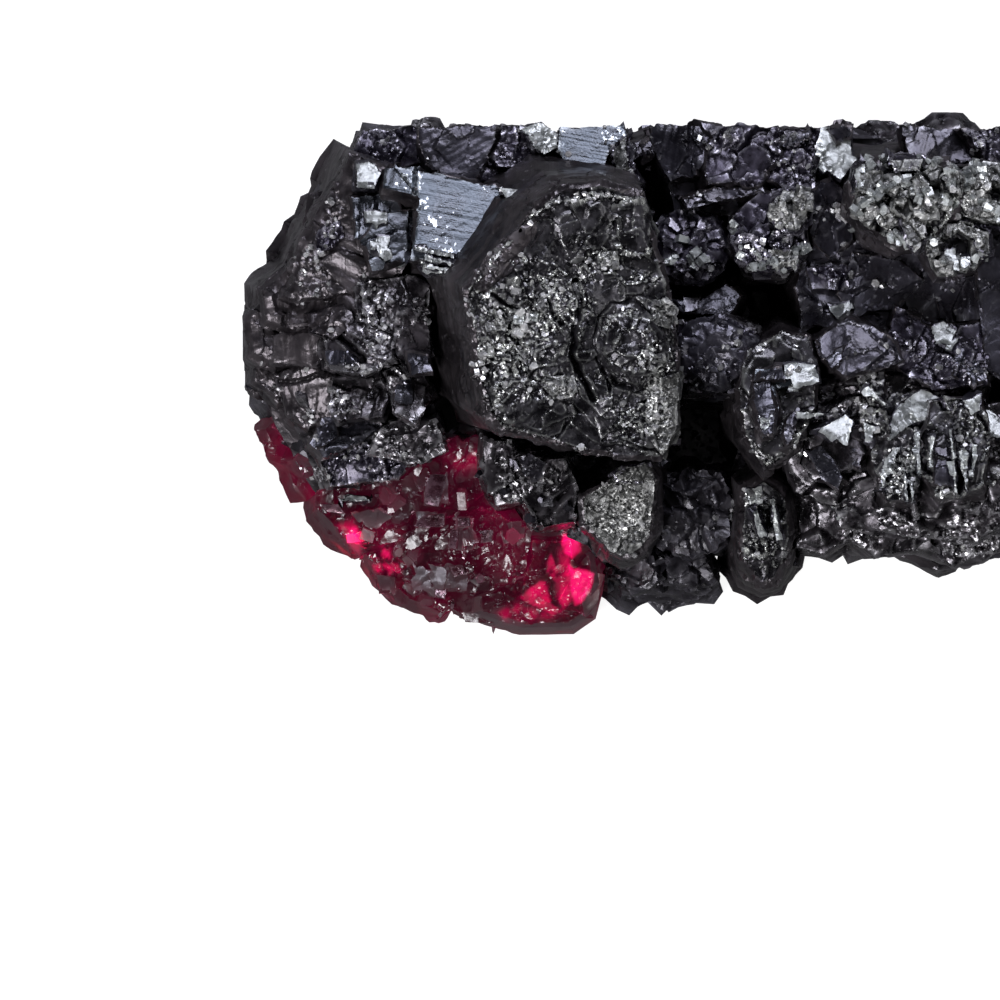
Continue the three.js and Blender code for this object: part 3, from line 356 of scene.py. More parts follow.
RUBY: tuple[Crystal, ...] = (
    Crystal(((43.2, 44.4), (48, 43.6), (49.2, 49), (46.4, 51), (42.4, 50), (41.2, 47)), 20, Look.RUBY,
            slope=(-0.1, -0.1), depth=14),
    Crystal(((31.8, 49), (37, 48.2), (41.4, 47.6), (42.2, 50.4), (40, 53.8), (36.2, 54.8), (33.6, 53),
            (31.6, 50.8)), 15.6, Look.RUBY, slope=(0.26, -0.2), lean=(-1, 1), depth=14),
    Crystal(((42.4, 47.6), (44.8, 47.4), (44.7, 50.2), (42.4, 50)), 21.6, Look.RUBY_FACE, slope=(-0.1, 0.3),
            depth=6),
    Crystal(((41.4, 51.3), (44.4, 51.5), (44.2, 52.8), (41.6, 52.7)), 20.6, Look.RUBY_FACE, slope=(0.1,
            0.35), depth=6),
    Crystal(((45.4, 51.6), (47.1, 51.6), (47, 54.6), (45.2, 54.8)), 20.8, Look.RUBY_FACE, slope=(0.3, 0.2),
            depth=6),
    Crystal(((40.2, 53.6), (44, 51.6), (49.6, 50.8), (53, 53.4), (52.4, 57.6), (47.4, 59.6), (42.4, 58.8),
            (38.8, 56.4)), 18.6, Look.RUBY, slope=(0.1, -0.2), depth=15),
    Crystal(((42.6, 56.4), (47.4, 57), (46.6, 59.2), (43.6, 58.6)), 18.6, Look.RUBY_FACE, slope=(-0.1, 0.2),
            depth=7),
    Crystal(((36.6, 55.6), (38.8, 56.4), (42.4, 59.2), (44.2, 61.6), (40.6, 60), (38, 58)), 11, Look.RUBY,
            slope=(0.3, -0.3), lean=(-0.8, 0.8), depth=10),
    Crystal(((37.6, 57.6), (39.4, 57.9), (39.6, 59.4), (37.9, 59.2)), 12.6, Look.RUBY_FACE, slope=(0.3,
            0.2), depth=8),
    Crystal(((52.6, 52.8), (57.4, 53.2), (59.4, 55.4), (60, 58.4), (59.2, 61.4), (57.2, 62.8), (52.2, 62.9),
            (47.4, 61.4), (47.4, 59.8), (52.2, 57.6)), 17, Look.RUBY, slope=(0.02, -0.3), lean=(0, 0.4),
            depth=15, bevel=0.8, side=Look.RUBY_FACE),
    Crystal(((53.6, 54.2), (56.6, 54), (57.6, 56.8), (56, 60), (52.6, 61), (52.8, 57.4)), 18.8, Look.RUBY,
            slope=(-0.1, -0.1), depth=6),
    Crystal(((59, 57.4), (60.3, 57.6), (60, 60), (58.6, 61.6), (58.4, 59.4)), 16.4, Look.RUBY_FACE,
            slope=(-0.3, 0.1), depth=12),
    Crystal(((43.8, 60), (47, 60.4), (49.6, 62.3), (46.4, 62)), 10, Look.RUBY, slope=(0.1, -0.4), depth=8),
)

HEXAGONAL = Crystal(
    ((46.4, 29), (48, 27.2), (50.5, 24), (53, 21.2), (56, 19.3), (60, 18.7), (64, 19.8), (65, 24), (66.8, 29.4),
     (67.6, 34), (67.8, 39), (66.2, 43.4), (66, 46), (58, 45.4), (54.5, 44.2), (50.2, 43.3), (48.8, 41.4),
     (48.1, 38), (47.5, 34.5)),
    42, Look.TERRACED, slope=(-0.18, -0.2), lean=(-3.5, -2.9), depth=22, spread=1.02, bevel=0.5)
@dataclass(frozen=True)
class Knob:
    """A knob: its middle on the plan, radius, the heights of its top and foot, in squares, and its sides."""

    centre: Point
    radius: float
    top: float
    foot: float
    look: Look = Look.TERRACED
    sides: int = 16


HILLOCK = Knob((62.9, 34.6), 3.1, 43.2, 34)
KNOBS = (Knob((69.1, 24.5), 3.5, 32.4, 10, Look.SPECKLED), Knob((71.6, 35.4), 3.9, 33.4, 10, Look.SATIN))
LEFT_KNOBS = (
    Knob((27.9, 33.3), 4, 20.8, 3, Look.BAND, 7), Knob((29, 30), 3.8, 22.6, 5, Look.BAND, 6),
    Knob((28.2, 37), 3.4, 18.6, 4, Look.BAND, 6),
)


@dataclass(frozen=True)
class Rosette:
    """A round of small blades that lean outward from a hollow.

    Its middle, radius, height, number of blades, look, and the hollow's share of the radius.
    """

    centre: Point
    radius: float
    top: float
    petals: int
    look: Look = Look.CRUST
    hollow: float = 0.26


ROSETTES = (
    Rosette((79.1, 20.8), 2.6, 37, 4, Look.CRUST), Rosette((76.5, 24.8), 3.2, 35.6, 5, Look.SPECKLED),
    Rosette((88.2, 20.4), 4, 42.2, 5), Rosette((93.1, 19.3), 3.4, 42.6, 5),
    Rosette((99, 19.6), 3.8, 39.8, 6), Rosette((95.2, 25), 3.2, 40.2, 6, Look.CRUST, 0.56),
)
PETAL_SIZES = (1.0, 0.8, 0.94, 0.7, 0.88)  # reach of the blades, in turn, as shares of the radius


@dataclass(frozen=True)
class Strut:
    """A straight prism between two points (x, y, height), with a blunt tip."""

    foot: tuple[float, float, float]
    tip: tuple[float, float, float]
    radius: float
    look: Look = Look.STEPPED
    turn: float = 0.4


STRUTS = (
    Strut((33.4, 48.6, 8), (25.9, 37.6, 13.6), 1.1, Look.SATIN), Strut((33.6, 47.6, 11.4), (27.7, 37.4, 18.2), 1),
    Strut((35.6, 47.4, 14), (30, 39.4, 20.6), 0.9), Strut((27.8, 38.8, 8), (24.6, 38.3, 12.4), 1, Look.SILVERY),
)
RUBY_STRUTS = (Strut((30, 49.2, 5), (26.1, 42.2, 9.6), 1.6, Look.RUBY_FACE),)
FOOT_CRYSTALS = (
    Strut((34, 50, 5), (31.6, 51.4, 4), 2.4),
    Strut((88, 50, 6), (88.4, 53.8, 5.6), 2.8), Strut((95, 50, 5), (95.6, 54.4, 4.8), 2.4, Look.SATIN, 0.9),
    Strut((89.4, 52.4, 8), (94.8, 56.4, 6), 1.2, Look.SATIN, 0.9),
    Strut((32, 28, 6), (27.6, 27.6, 5.2), 3),
)
FLANK_FIRST, FLANK_STEP = 36, 3  # outline point where the flank crystals start, and from one to the next


@dataclass(frozen=True)
class Tier:
    """A row of crystals round the flanks: tip height, rise, radius, inset from the outline and length."""

    tip: float
    rise: float
    radius: float
    inset: float
    length: float


FLANK_TIERS = (Tier(4.6, 1.5, 3.5, 0.9, 9), Tier(11.5, 4, 3.2, 0.7, 10), Tier(18.5, 7.5, 3, 2.6, 12))
FLANK_SIZES = (1.0, 0.78, 1.1, 0.88, 1.2)  # how large they are, in turn


@dataclass(frozen=True)
class CoreLevel:
    """One level of the mass: height, inset from the outline, and the depth of its crags."""

    height: float
    inset: float
    crag: float


CORE_LEVELS = (CoreLevel(0, 3.2, 0.5), CoreLevel(4, 1.4, 0.8), CoreLevel(9, 2, 1.1), CoreLevel(18, 8.5, 1.8))
# Deep gaps between the crystals, with the heights of their floors
GAPS = (
    (((62.6, 16.4), (67.6, 16.2), (67.8, 22), (66.8, 29), (65.6, 27), (64, 21)), 9),
    (((74.6, 27.6), (79.2, 27), (79.6, 31.8), (75.4, 33)), 10),
    (((84.6, 13.4), (91, 13.2), (91.2, 15.6), (85, 17.2)), 9),
    (((67.6, 39.4), (73.4, 38.8), (74, 45), (73, 48), (66.4, 47), (66.8, 43)), 10),
    (((42.6, 30), (46.4, 31), (48, 41), (44.4, 43.4), (42.4, 38)), 12),
)
# Corner of the mass that is ruby, on the plan
RUBY_BAY = ((21, 41.4), (26.6, 43.6), (31, 46), (36.6, 47.4), (41.4, 46.6), (44, 45), (48, 44.6), (50, 49),
            (52, 52), (56, 53.4), (58.8, 54.6), (60.8, 57.4), (61.6, 67), (21, 67))



@dataclass(frozen=True)
class Plate:
    """A thin plate on the crystals: its face on the plan, its rise over them, its look, and its slope to them."""

    face: tuple[Point, ...]
    rise: float
    look: Look
    slope: Point = (0.0, 0.0)


# Plates, lobes and ledges of the large hexagonal face
HEXAGONAL_PLATES = (
    Plate(((47.6, 28.6), (53.4, 22), (55.6, 21), (54.8, 23), (48.8, 29.4)), 0.6, Look.BAND),
    Plate(((47.8, 30), (50.2, 28.4), (53.8, 28.8), (54.6, 31), (51, 33.4), (48.6, 34)), 0.8, Look.TERRACED),
    Plate(((48, 31.2), (49.6, 30.9), (50.9, 32), (50.4, 33.2), (48.6, 33.4)), 1.3, Look.CRUST, (0.1, 0.25)),
    Plate(((51.3, 31.6), (52.5, 31.7), (52.3, 32.6), (51.2, 32.5)), 1.1, Look.SHARD, (0.1, 0.3)),
    Plate(((52.9, 31.5), (53.9, 31.6), (53.7, 32.4), (52.8, 32.3)), 1.0, Look.SHARD, (0.1, 0.3)),
    Plate(((51.4, 33.2), (54.4, 32.8), (56.6, 34), (55.4, 36.6), (52.4, 37), (50.8, 35.4)), 0.5, Look.TERRACED),
    Plate(((49, 35.4), (51, 35.8), (53.2, 38.2), (57, 38), (57.4, 41.6), (54, 43), (50.6, 42), (49.4, 39)), 0.6,
          Look.TERRACED),
    Plate(((54.3, 37.7), (57.4, 37.5), (57.8, 39.4), (55.2, 40.1)), 0.9, Look.CRUST, (0.0, 0.2)),
    Plate(((55.6, 21.6), (60, 19.8), (61.4, 22.4), (60.6, 25.2), (57.2, 26.4), (55.2, 24.6)), 0.4, Look.TERRACED),
    Plate(((61.4, 21), (64, 20.6), (65, 23.4), (64.4, 25.7), (62, 25.4), (61.2, 23.4)), 0.8, Look.TERRACED),
    Plate(((59.7, 25.5), (61.7, 25.6), (61.6, 27.2), (59.9, 27.3)), 0.7, Look.CRUST, (0.1, 0.2)),
    Plate(((58, 28.2), (62, 27.2), (65.6, 30), (66.2, 37.4), (61.6, 39.6), (58.4, 36.4)), 0.4, Look.TERRACED),
    Plate(((64.8, 32.6), (65.2, 30.8), (66.6, 29.9), (67.5, 31), (67, 33.2)), 0.8, Look.CRUST, (-0.1, 0.2)),
    Plate(((59, 41), (65.4, 40.4), (64.8, 44.2), (60, 44.2)), 0.5, Look.TERRACED),
    Plate(((64.6, 38), (67.8, 37.2), (67.6, 43), (66.2, 45.6), (64.4, 44)), 0.6, Look.CRUST),
)
# Plates on the other crystals, from the back left round to the right and the front
PLATES = (
    Plate(((36.5, 21.3), (38.8, 21.4), (38.8, 22.2), (36.6, 22.3)), 0.5, Look.SHARD, (0.0, 0.2)),
    Plate(((36.9, 24), (39, 24), (38.8, 25.1), (37, 25.1)), 0.4, Look.SHARD, (0.0, 0.2)),
    Plate(((38.8, 26), (40.2, 26.1), (40, 26.8), (38.9, 26.7)), 0.6, Look.SHARD, (0.0, 0.3)),
    Plate(((32.6, 35.2), (34.2, 34.8), (36.2, 36.2), (34.4, 36.7), (33, 36.5)), 0.5, Look.SILVERY, (0.1, 0.1)),
    Plate(((41.1, 35.7), (42.5, 35.8), (42.6, 36.8), (41.4, 36.8)), 0.6, Look.SILVERY, (0.1, 0.3)),
    Plate(((40, 37.8), (41.2, 37.6), (41, 39.6), (39.9, 39.5)), 0.6, Look.SILVERY, (0.0, 0.3)),
    Plate(((40.4, 41.5), (41.3, 39.2), (41.9, 42)), 0.6, Look.SATIN, (0.1, 0.3)),
    Plate(((31.4, 42.6), (33.4, 41.8), (33.6, 43.6), (32, 44.8)), 0.5, Look.SILVERY, (0.1, 0.2)),
    Plate(((64.4, 14.6), (65.2, 13.8), (65.4, 15.4), (64.6, 15.8)), 0.5, Look.SATIN, (0.2, 0.2)),
    Plate(((77, 14.2), (78.4, 13.9), (80.8, 13.3), (80.9, 13.8), (79.2, 14.8), (77.6, 14.7)), 0.6, Look.SILVERY,
          (0.0, 0.3)),
    Plate(((82.6, 12.9), (84.8, 12.9), (84.6, 14), (83.4, 14.3)), 0.5, Look.SATIN, (0.0, 0.3)),
    Plate(((77.4, 19.6), (81, 19.2), (80.6, 22), (79.6, 23.4), (77.6, 22.6)), 0.6, Look.CRUST, (0.0, 0.25)),
    Plate(((76.2, 25), (79.6, 25), (79.4, 26.4), (77, 26.7)), 0.6, Look.CRUST, (0.0, 0.1)),
    Plate(((85.1, 17.2), (86.2, 16.6), (86.3, 18.8), (85.3, 19.4)), 0.9, Look.SHARD, (0.2, 0.3)),
    Plate(((88.6, 16.2), (92, 16.1), (91.6, 17.4), (89, 17.5)), 0.8, Look.CRUST, (0.0, 0.4)),
    Plate(((89.5, 22), (92, 21.6), (92, 24), (91.1, 25.3), (90, 23.8)), 1.2, Look.CRUST, (0.0, 0.2)),
    Plate(((95.6, 20.5), (97.8, 20), (99.6, 22.6), (97.4, 22.7), (95.8, 21.8)), 1.0, Look.CRUST, (0.0, 0.2)),
    Plate(((97.2, 22.8), (98.6, 23.2), (98.7, 25.6), (97.6, 26.2), (97, 24.6)), 1.2, Look.CRUST, (-0.2, 0.2)),
    Plate(((94.2, 25.5), (95, 25.5), (95.1, 26.7), (94, 26.6)), 1.2, Look.SHARD, (0.1, 0.3)),
    Plate(((95.6, 25.8), (96.7, 25.7), (96.7, 27), (95.5, 26.9)), 1.2, Look.SHARD, (0.1, 0.3)),
    Plate(((83, 31), (84.6, 30.7), (84.4, 31.6), (83.6, 31.8)), 1.2, Look.SHARD, (0.1, 0.3)),
    Plate(((84.6, 30.6), (85.7, 30.2), (85.5, 30.9), (84.7, 31)), 1.0, Look.SHARD, (0.1, 0.3)),
    Plate(((82.2, 36), (83.6, 35.2), (83.6, 36.8), (82.8, 37)), 0.5, Look.SILVERY, (0.0, 0.1)),
    Plate(((76, 37.1), (78.1, 36.9), (78.5, 38), (75.8, 38)), 1.0, Look.SILVERY, (0.1, 0.3)),
    Plate(((75.4, 38.4), (76.8, 38.4), (77.1, 42.2), (76.8, 43.4), (76, 43.4), (75.3, 40)), 1.2, Look.SILVERY,
          (0.1, 0.3)),
    Plate(((75.7, 41.6), (77, 41.6), (76.8, 43.2), (76.1, 43.3)), 1.6, Look.SHARD, (0.0, 0.3)),
    Plate(((79.1, 38.2), (79.5, 38.2), (79.5, 39.2), (79, 39.2)), 1.2, Look.SHARD, (0.0, 0.4)),
    Plate(((78.2, 43.8), (78.9, 41.4), (79.8, 40.4), (79.4, 42.4), (78.6, 44.6)), 0.8, Look.SATIN, (0.0, 0.3)),
    Plate(((80.5, 45.3), (82, 44.4), (83.4, 46), (84.2, 47.8), (83.7, 49), (82, 48), (81.2, 46.4)), 1.0,
          Look.SILVERY, (0.1, 0.1)),
    Plate(((84.6, 44.5), (85.8, 44.6), (86, 47), (85, 46.6)), 0.6, Look.SATIN, (0.1, 0.3)),
    Plate(((86.6, 43), (88.4, 43.2), (88.2, 45), (86.8, 45)), 0.6, Look.SATIN, (0.1, 0.1)),
    Plate(((86.1, 42.3), (87.2, 42.6), (86.9, 43.9), (86.2, 43.8)), 0.9, Look.SHARD, (0.0, 0.3)),
    Plate(((88.2, 46), (89.2, 44.7), (89.9, 44.7), (89.3, 46), (88.5, 47.8), (88.2, 49.2), (87.8, 47.6)), 0.9,
          Look.SHARD, (0.1, 0.2)),
    Plate(((90.2, 40.4), (92, 39.2), (93.2, 40), (93, 42), (91, 42.4), (88.7, 44.2), (88.9, 42.6)), 0.9,
          Look.SHARD, (0.0, 0.1)),
    Plate(((92.8, 38.9), (94, 38.8), (93.8, 40), (92.8, 40.2)), 1.0, Look.SHARD, (0.0, 0.2)),
    Plate(((94, 39.8), (95.7, 39.8), (95.6, 41), (94.6, 41.4)), 1.0, Look.CRUST, (0.0, 0.3)),
    Plate(((96.2, 40), (97.6, 39.6), (97.7, 41), (97, 41.3), (96.3, 40.8)), 1.0, Look.SHARD, (0.0, 0.1)),
    Plate(((93.5, 33), (94.2, 32.6), (95.2, 33.3), (94.8, 34.2), (93.8, 34.1)), 0.8, Look.SHARD, (0.0, 0.2)),
    Plate(((94.2, 34.3), (95.6, 34), (95, 35.2), (94.4, 35.2)), 0.7, Look.SHARD, (0.0, 0.1)),
    Plate(((95.6, 34), (96.8, 35), (98.4, 37.4), (97.2, 38.4), (96, 36.4), (94.8, 37.6)), 0.5, Look.SILVERY,
          (0.0, 0.2)),
    Plate(((98, 40.8), (99, 41), (100.4, 42.4), (100.2, 43.8), (98.5, 43.7), (97.9, 42)), 1.0, Look.SHARD,
          (0.1, 0.4)),
    Plate(((93.2, 44), (94.8, 44), (94.8, 48.4), (93.1, 48.2)), 0.6, Look.SATIN, (0.0, 0.1)),
    Plate(((90.3, 30), (91.8, 29.6), (92.3, 31.4), (91, 32.2)), 0.6, Look.SATIN, (0.0, 0.3)),
    Plate(((68.4, 30), (70, 29.9), (69.8, 31), (68.6, 31)), 0.4, Look.SATIN, (0.0, 0.2)),
    Plate(((52, 45.6), (53, 45.2), (55, 46.4), (53.4, 48), (52.2, 47.4)), 0.8, Look.SATIN, (0.1, 0.2)),
    Plate(((53.5, 47.8), (54.3, 47.4), (54.4, 48), (53.8, 48.3)), 0.9, Look.SHARD, (0.1, 0.3)),
    Plate(((54.7, 46.8), (55.5, 46.6), (55.4, 47.4), (54.6, 47.8)), 0.9, Look.SHARD, (0.1, 0.3)),
    Plate(((57.4, 48.4), (58.4, 46.8), (60, 47.6), (60.2, 49), (58.4, 49.8)), 0.6, Look.CRUST, (0.1, 0.1)),
    Plate(((61.2, 47.2), (62, 46.6), (65.2, 46.6), (65.6, 48.2), (61.8, 48.2)), 0.5, Look.CRUST, (0.0, 0.3)),
    Plate(((74.8, 49.2), (76, 48.8), (76, 50.2), (75, 50.6)), 0.7, Look.SHARD, (0.0, 0.3)),
    Plate(((78.6, 56.8), (79.8, 55.6), (80, 56.8)), 0.8, Look.SATIN, (0.0, 0.3)),
)
# Upright pale bars on the right: their ends and width
BARS = (
    ((91.6, 43), (91.7, 47.6), 0.45), ((91.7, 47.4), (91.7, 52), 0.6), ((92.9, 43.8), (92.6, 46.8), 0.36),
    ((94.7, 43.2), (95, 46), 0.3), ((95, 46), (95.3, 49.4), 0.4), ((95.8, 45), (96, 46.9), 0.6),
    ((96, 46.8), (96.3, 49), 0.26), ((97.1, 44.4), (96.9, 47.8), 0.24), ((90.3, 47.6), (90.5, 50.2), 0.26),
    ((90.8, 48), (91.1, 50.2), 0.26), ((79.6, 41.5), (82, 41.4), 0.24), ((86.4, 39), (88.4, 40.7), 0.24),
    ((75.5, 51), (76.4, 53.8), 0.5), ((77.2, 49.8), (78, 53.6), 0.3), ((41.6, 25.1), (45.5, 25.9), 0.26),
    ((42.4, 25.9), (45.5, 26.5), 0.26), ((43, 26.7), (45, 27.1), 0.24),
)
# Pale facets of the ruby corner, whose pinkish-grey colour is a painted reflection
RUBY_PLATES = (
    Plate(((43, 47.4), (44.7, 47.4), (44.2, 49.8), (43.9, 50.6), (42.4, 50.5), (42.4, 48.9)), 0.9, Look.ROSE,
          (-0.1, 0.5)),
    Plate(((41.4, 52.6), (42.2, 51.6), (44.5, 51.3), (44.3, 52.7), (41.9, 52.7)), 0.9, Look.ROSE, (0.0, 0.5)),
    Plate(((45.6, 51.7), (47, 51.7), (47.1, 52.7), (45.7, 52.7)), 0.8, Look.ROSE, (0.1, 0.5)),
    Plate(((45, 53), (45.8, 53), (45.6, 54.9), (44.8, 54.9)), 0.8, Look.ROSE, (0.1, 0.5)),
    Plate(((46.2, 53.2), (46.9, 53), (47.3, 54.6), (46, 54.9)), 0.8, Look.RUBY_FACE, (-0.1, 0.6)),
    Plate(((38, 47.6), (41.6, 47.6), (40, 49.4), (39.2, 49)), 0.5, Look.RUBY_FACE, (0.0, 0.3)),
    Plate(((33.9, 50.1), (35, 49.4), (36.2, 49.6), (37, 50.1), (35.4, 50.3)), 0.7, Look.SHARD, (0.0, 0.5)),
    Plate(((44.8, 56.6), (46.4, 56.4), (47, 57.4), (45.4, 57.8)), 0.7, Look.ROSE, (0.0, 0.4)),
    Plate(((46.9, 57.2), (48.2, 57.9), (47.8, 58.4), (46.8, 58)), 0.7, Look.RUBY_FACE, (0.1, 0.5)),
    Plate(((41, 56.4), (42.4, 56.6), (43.8, 58), (43.6, 59.6), (42.2, 59.2), (41.4, 57.6)), 0.7, Look.RUBY_FACE,
          (-0.1, 0.4)),
    Plate(((43.6, 58.4), (44.8, 58.6), (44.4, 60), (43.4, 59.6)), 0.9, Look.ROSE, (0.1, 0.4)),
    Plate(((49.8, 52.6), (51.8, 52.4), (52, 54), (50.2, 54.6)), 0.5, Look.RUBY_FACE, (0.0, 0.3)),
    Plate(((48, 53), (49.4, 53), (49.2, 54.2), (48, 54.4)), 0.8, Look.ROSE, (0.1, 0.5)),
    Plate(((32, 50.4), (33.6, 50.4), (34.4, 51.4), (32.4, 51.2)), 0.5, Look.ROSE, (0.1, 0.2)),
    Plate(((35, 51.4), (38, 50.6), (39.6, 51.6), (37, 53.2)), 0.5, Look.RUBY_FACE, (0.0, 0.3)),
)


@dataclass(frozen=True)
class Patch:
    """A patch of the plan: its middle, its two radii, its turn in degrees and its amount."""

    x: float
    y: float
    long: float
    short: float
    turn: float = 0.0
    amount: float = 1.0


# Where the surface is grainy and sparkles, and, below 0, where it is smooth and dark; where it sparkles, its pale
# patches are partly the grain's own colour and partly painted glints
GRAIN_PATCHES = tuple(Patch(*row) for row in (
    (52.5, 34, 6.5, 3.6, 100, 0.6), (56, 22.8, 4.5, 2, -10, -0.5), (62, 29.5, 3, 3, 0, -0.4), (57, 42.2, 4, 1.8, 0, -0.7),
    (60.6, 26.4, 1.2, 1, 0, 0.9), (56, 38.8, 2, 1.3, 0, 0.8), (61.2, 23.6, 0.6, 0.8, 0, 0.8), (64, 27.9, 1.8, 0.7, 15, 0.9),
    (66.2, 31.2, 1.4, 1.2, 0, 0.9), (64.8, 36.4, 1.7, 1, 20, 1), (66.2, 41.5, 1.6, 4.6, 0, 0.6), (49.6, 33, 2, 3, 0, 0.3),
    (50.2, 25.6, 2, 1, -50, 0.5), (47.8, 27.8, 1.2, 0.7, -50, 0.9), (51.9, 26.3, 0.9, 0.5, 0, 0.9),
    (31.3, 26, 1.3, 1.5, 0, 1), (29.5, 27, 0.8, 1.6, -30, 0.9), (33.2, 21.5, 1.1, 2.5, 15, 1), (37.8, 31, 2, 2.6, 10, 0.9),
    (38.4, 34.4, 1.6, 1.8, 0, 0.8), (36.5, 28.3, 0.8, 1.5, 0, 0.8), (35.8, 36.9, 1, 0.5, 10, 1), (33.8, 39.8, 1.4, 1.2, 30, 1),
    (31.2, 41.6, 1.6, 1.2, 10, 1), (31.8, 47.4, 1.8, 0.8, 10, 1), (38.8, 14.2, 3, 1.8, 0, 0.4), (33, 33.3, 1, 0.7, 0, 0.9),
    (27, 31, 2.4, 1.4, 60, -0.5), (29.2, 35, 2.8, 1.6, 0, -0.8), (29.6, 39, 2.4, 1.2, 0, -0.8), (26.4, 35.8, 1.2, 0.9, 0, 0.6),
    (27.4, 39.4, 0.4, 1.4, 0, 0.9), (52, 15.4, 2, 3, 0, 0.4), (72, 14.2, 2, 1.7, 0, 0.8), (79.4, 14, 2, 1.2, -15, 1),
    (79.6, 17, 2.6, 1.6, 0, 0.6), (74, 16.4, 2.4, 1.6, 0, -0.5), (97.8, 14, 1, 1.4, 0, 1), (93.4, 14.2, 2.4, 1.4, 0, -0.4),
    (90.5, 20.5, 5.6, 4.5, 0, 0.5), (97, 19.5, 3, 3.5, 0, 0.5), (95.2, 25, 3.2, 2.5, 0, 0.6), (95, 24.8, 1.8, 1, 0, -1.4),
    (79.2, 20.8, 1.8, 1.7, 0, 0.5), (78, 25, 2.2, 2, 0, 0.5), (75.6, 25.6, 1.4, 1, 0, 0.8), (69, 26.6, 2.6, 0.7, 0, 0.6),
    (69, 23.4, 2.6, 2, 0, -0.5), (86.9, 40, 1.4, 3.4, 0, 1), (82.5, 39.6, 1.6, 1.4, 0, 0.3), (92.6, 46, 3.4, 3, 0, 0.3),
    (90, 47.6, 2, 1.8, 0, 1), (96.4, 42.6, 2, 2.4, 0, 0.6), (96.8, 37, 1.4, 1.4, 0, 0.5), (93.8, 49, 0.8, 0.6, 0, 1),
    (94, 46, 0.9, 2, 0, -0.8), (62, 51, 3.4, 4, 0, 0.6), (75.5, 49.6, 1, 0.8, 0, 1), (76.7, 52, 0.8, 2, 0, 0.6),
    (99.5, 30, 2.4, 5, 0, -1), (82.6, 29.8, 2.4, 1.4, 0, -0.4), (70, 34, 3, 1.4, 0, -0.4), (70.6, 36.4, 1.6, 0.8, 0, 0.6),
    (75.4, 33.4, 1.6, 0.8, 20, 0.7), (77.6, 44.6, 1.6, 1.2, 0, -0.4), (77.4, 46.2, 1.2, 0.5, -20, 1), (84.2, 50.8, 1, 1.3, 0, 1),
    (85.6, 53.6, 2, 1, 0, 0.5), (89.6, 52, 2, 1, 0, 0.6), (96, 53, 2, 1, 0, 0.5), (69, 50, 4, 5, 0, -0.9),
    (54, 50.6, 2.6, 2, 0, -0.4), (92.8, 28.4, 1.4, 1, 0, 0.5), (88, 33.2, 1, 0.8, 0, 0.3), (80, 43.8, 1, 0.8, 0, 0.9),
))


@dataclass(frozen=True)
class Ridge:
    """A raised line on the plan (below 0 a crack): its width, its rise, how pale it is, which is a painted highlight
    along it, and its run.
    """

    width: float
    rise: float
    pale: float
    run: tuple[Point, ...]


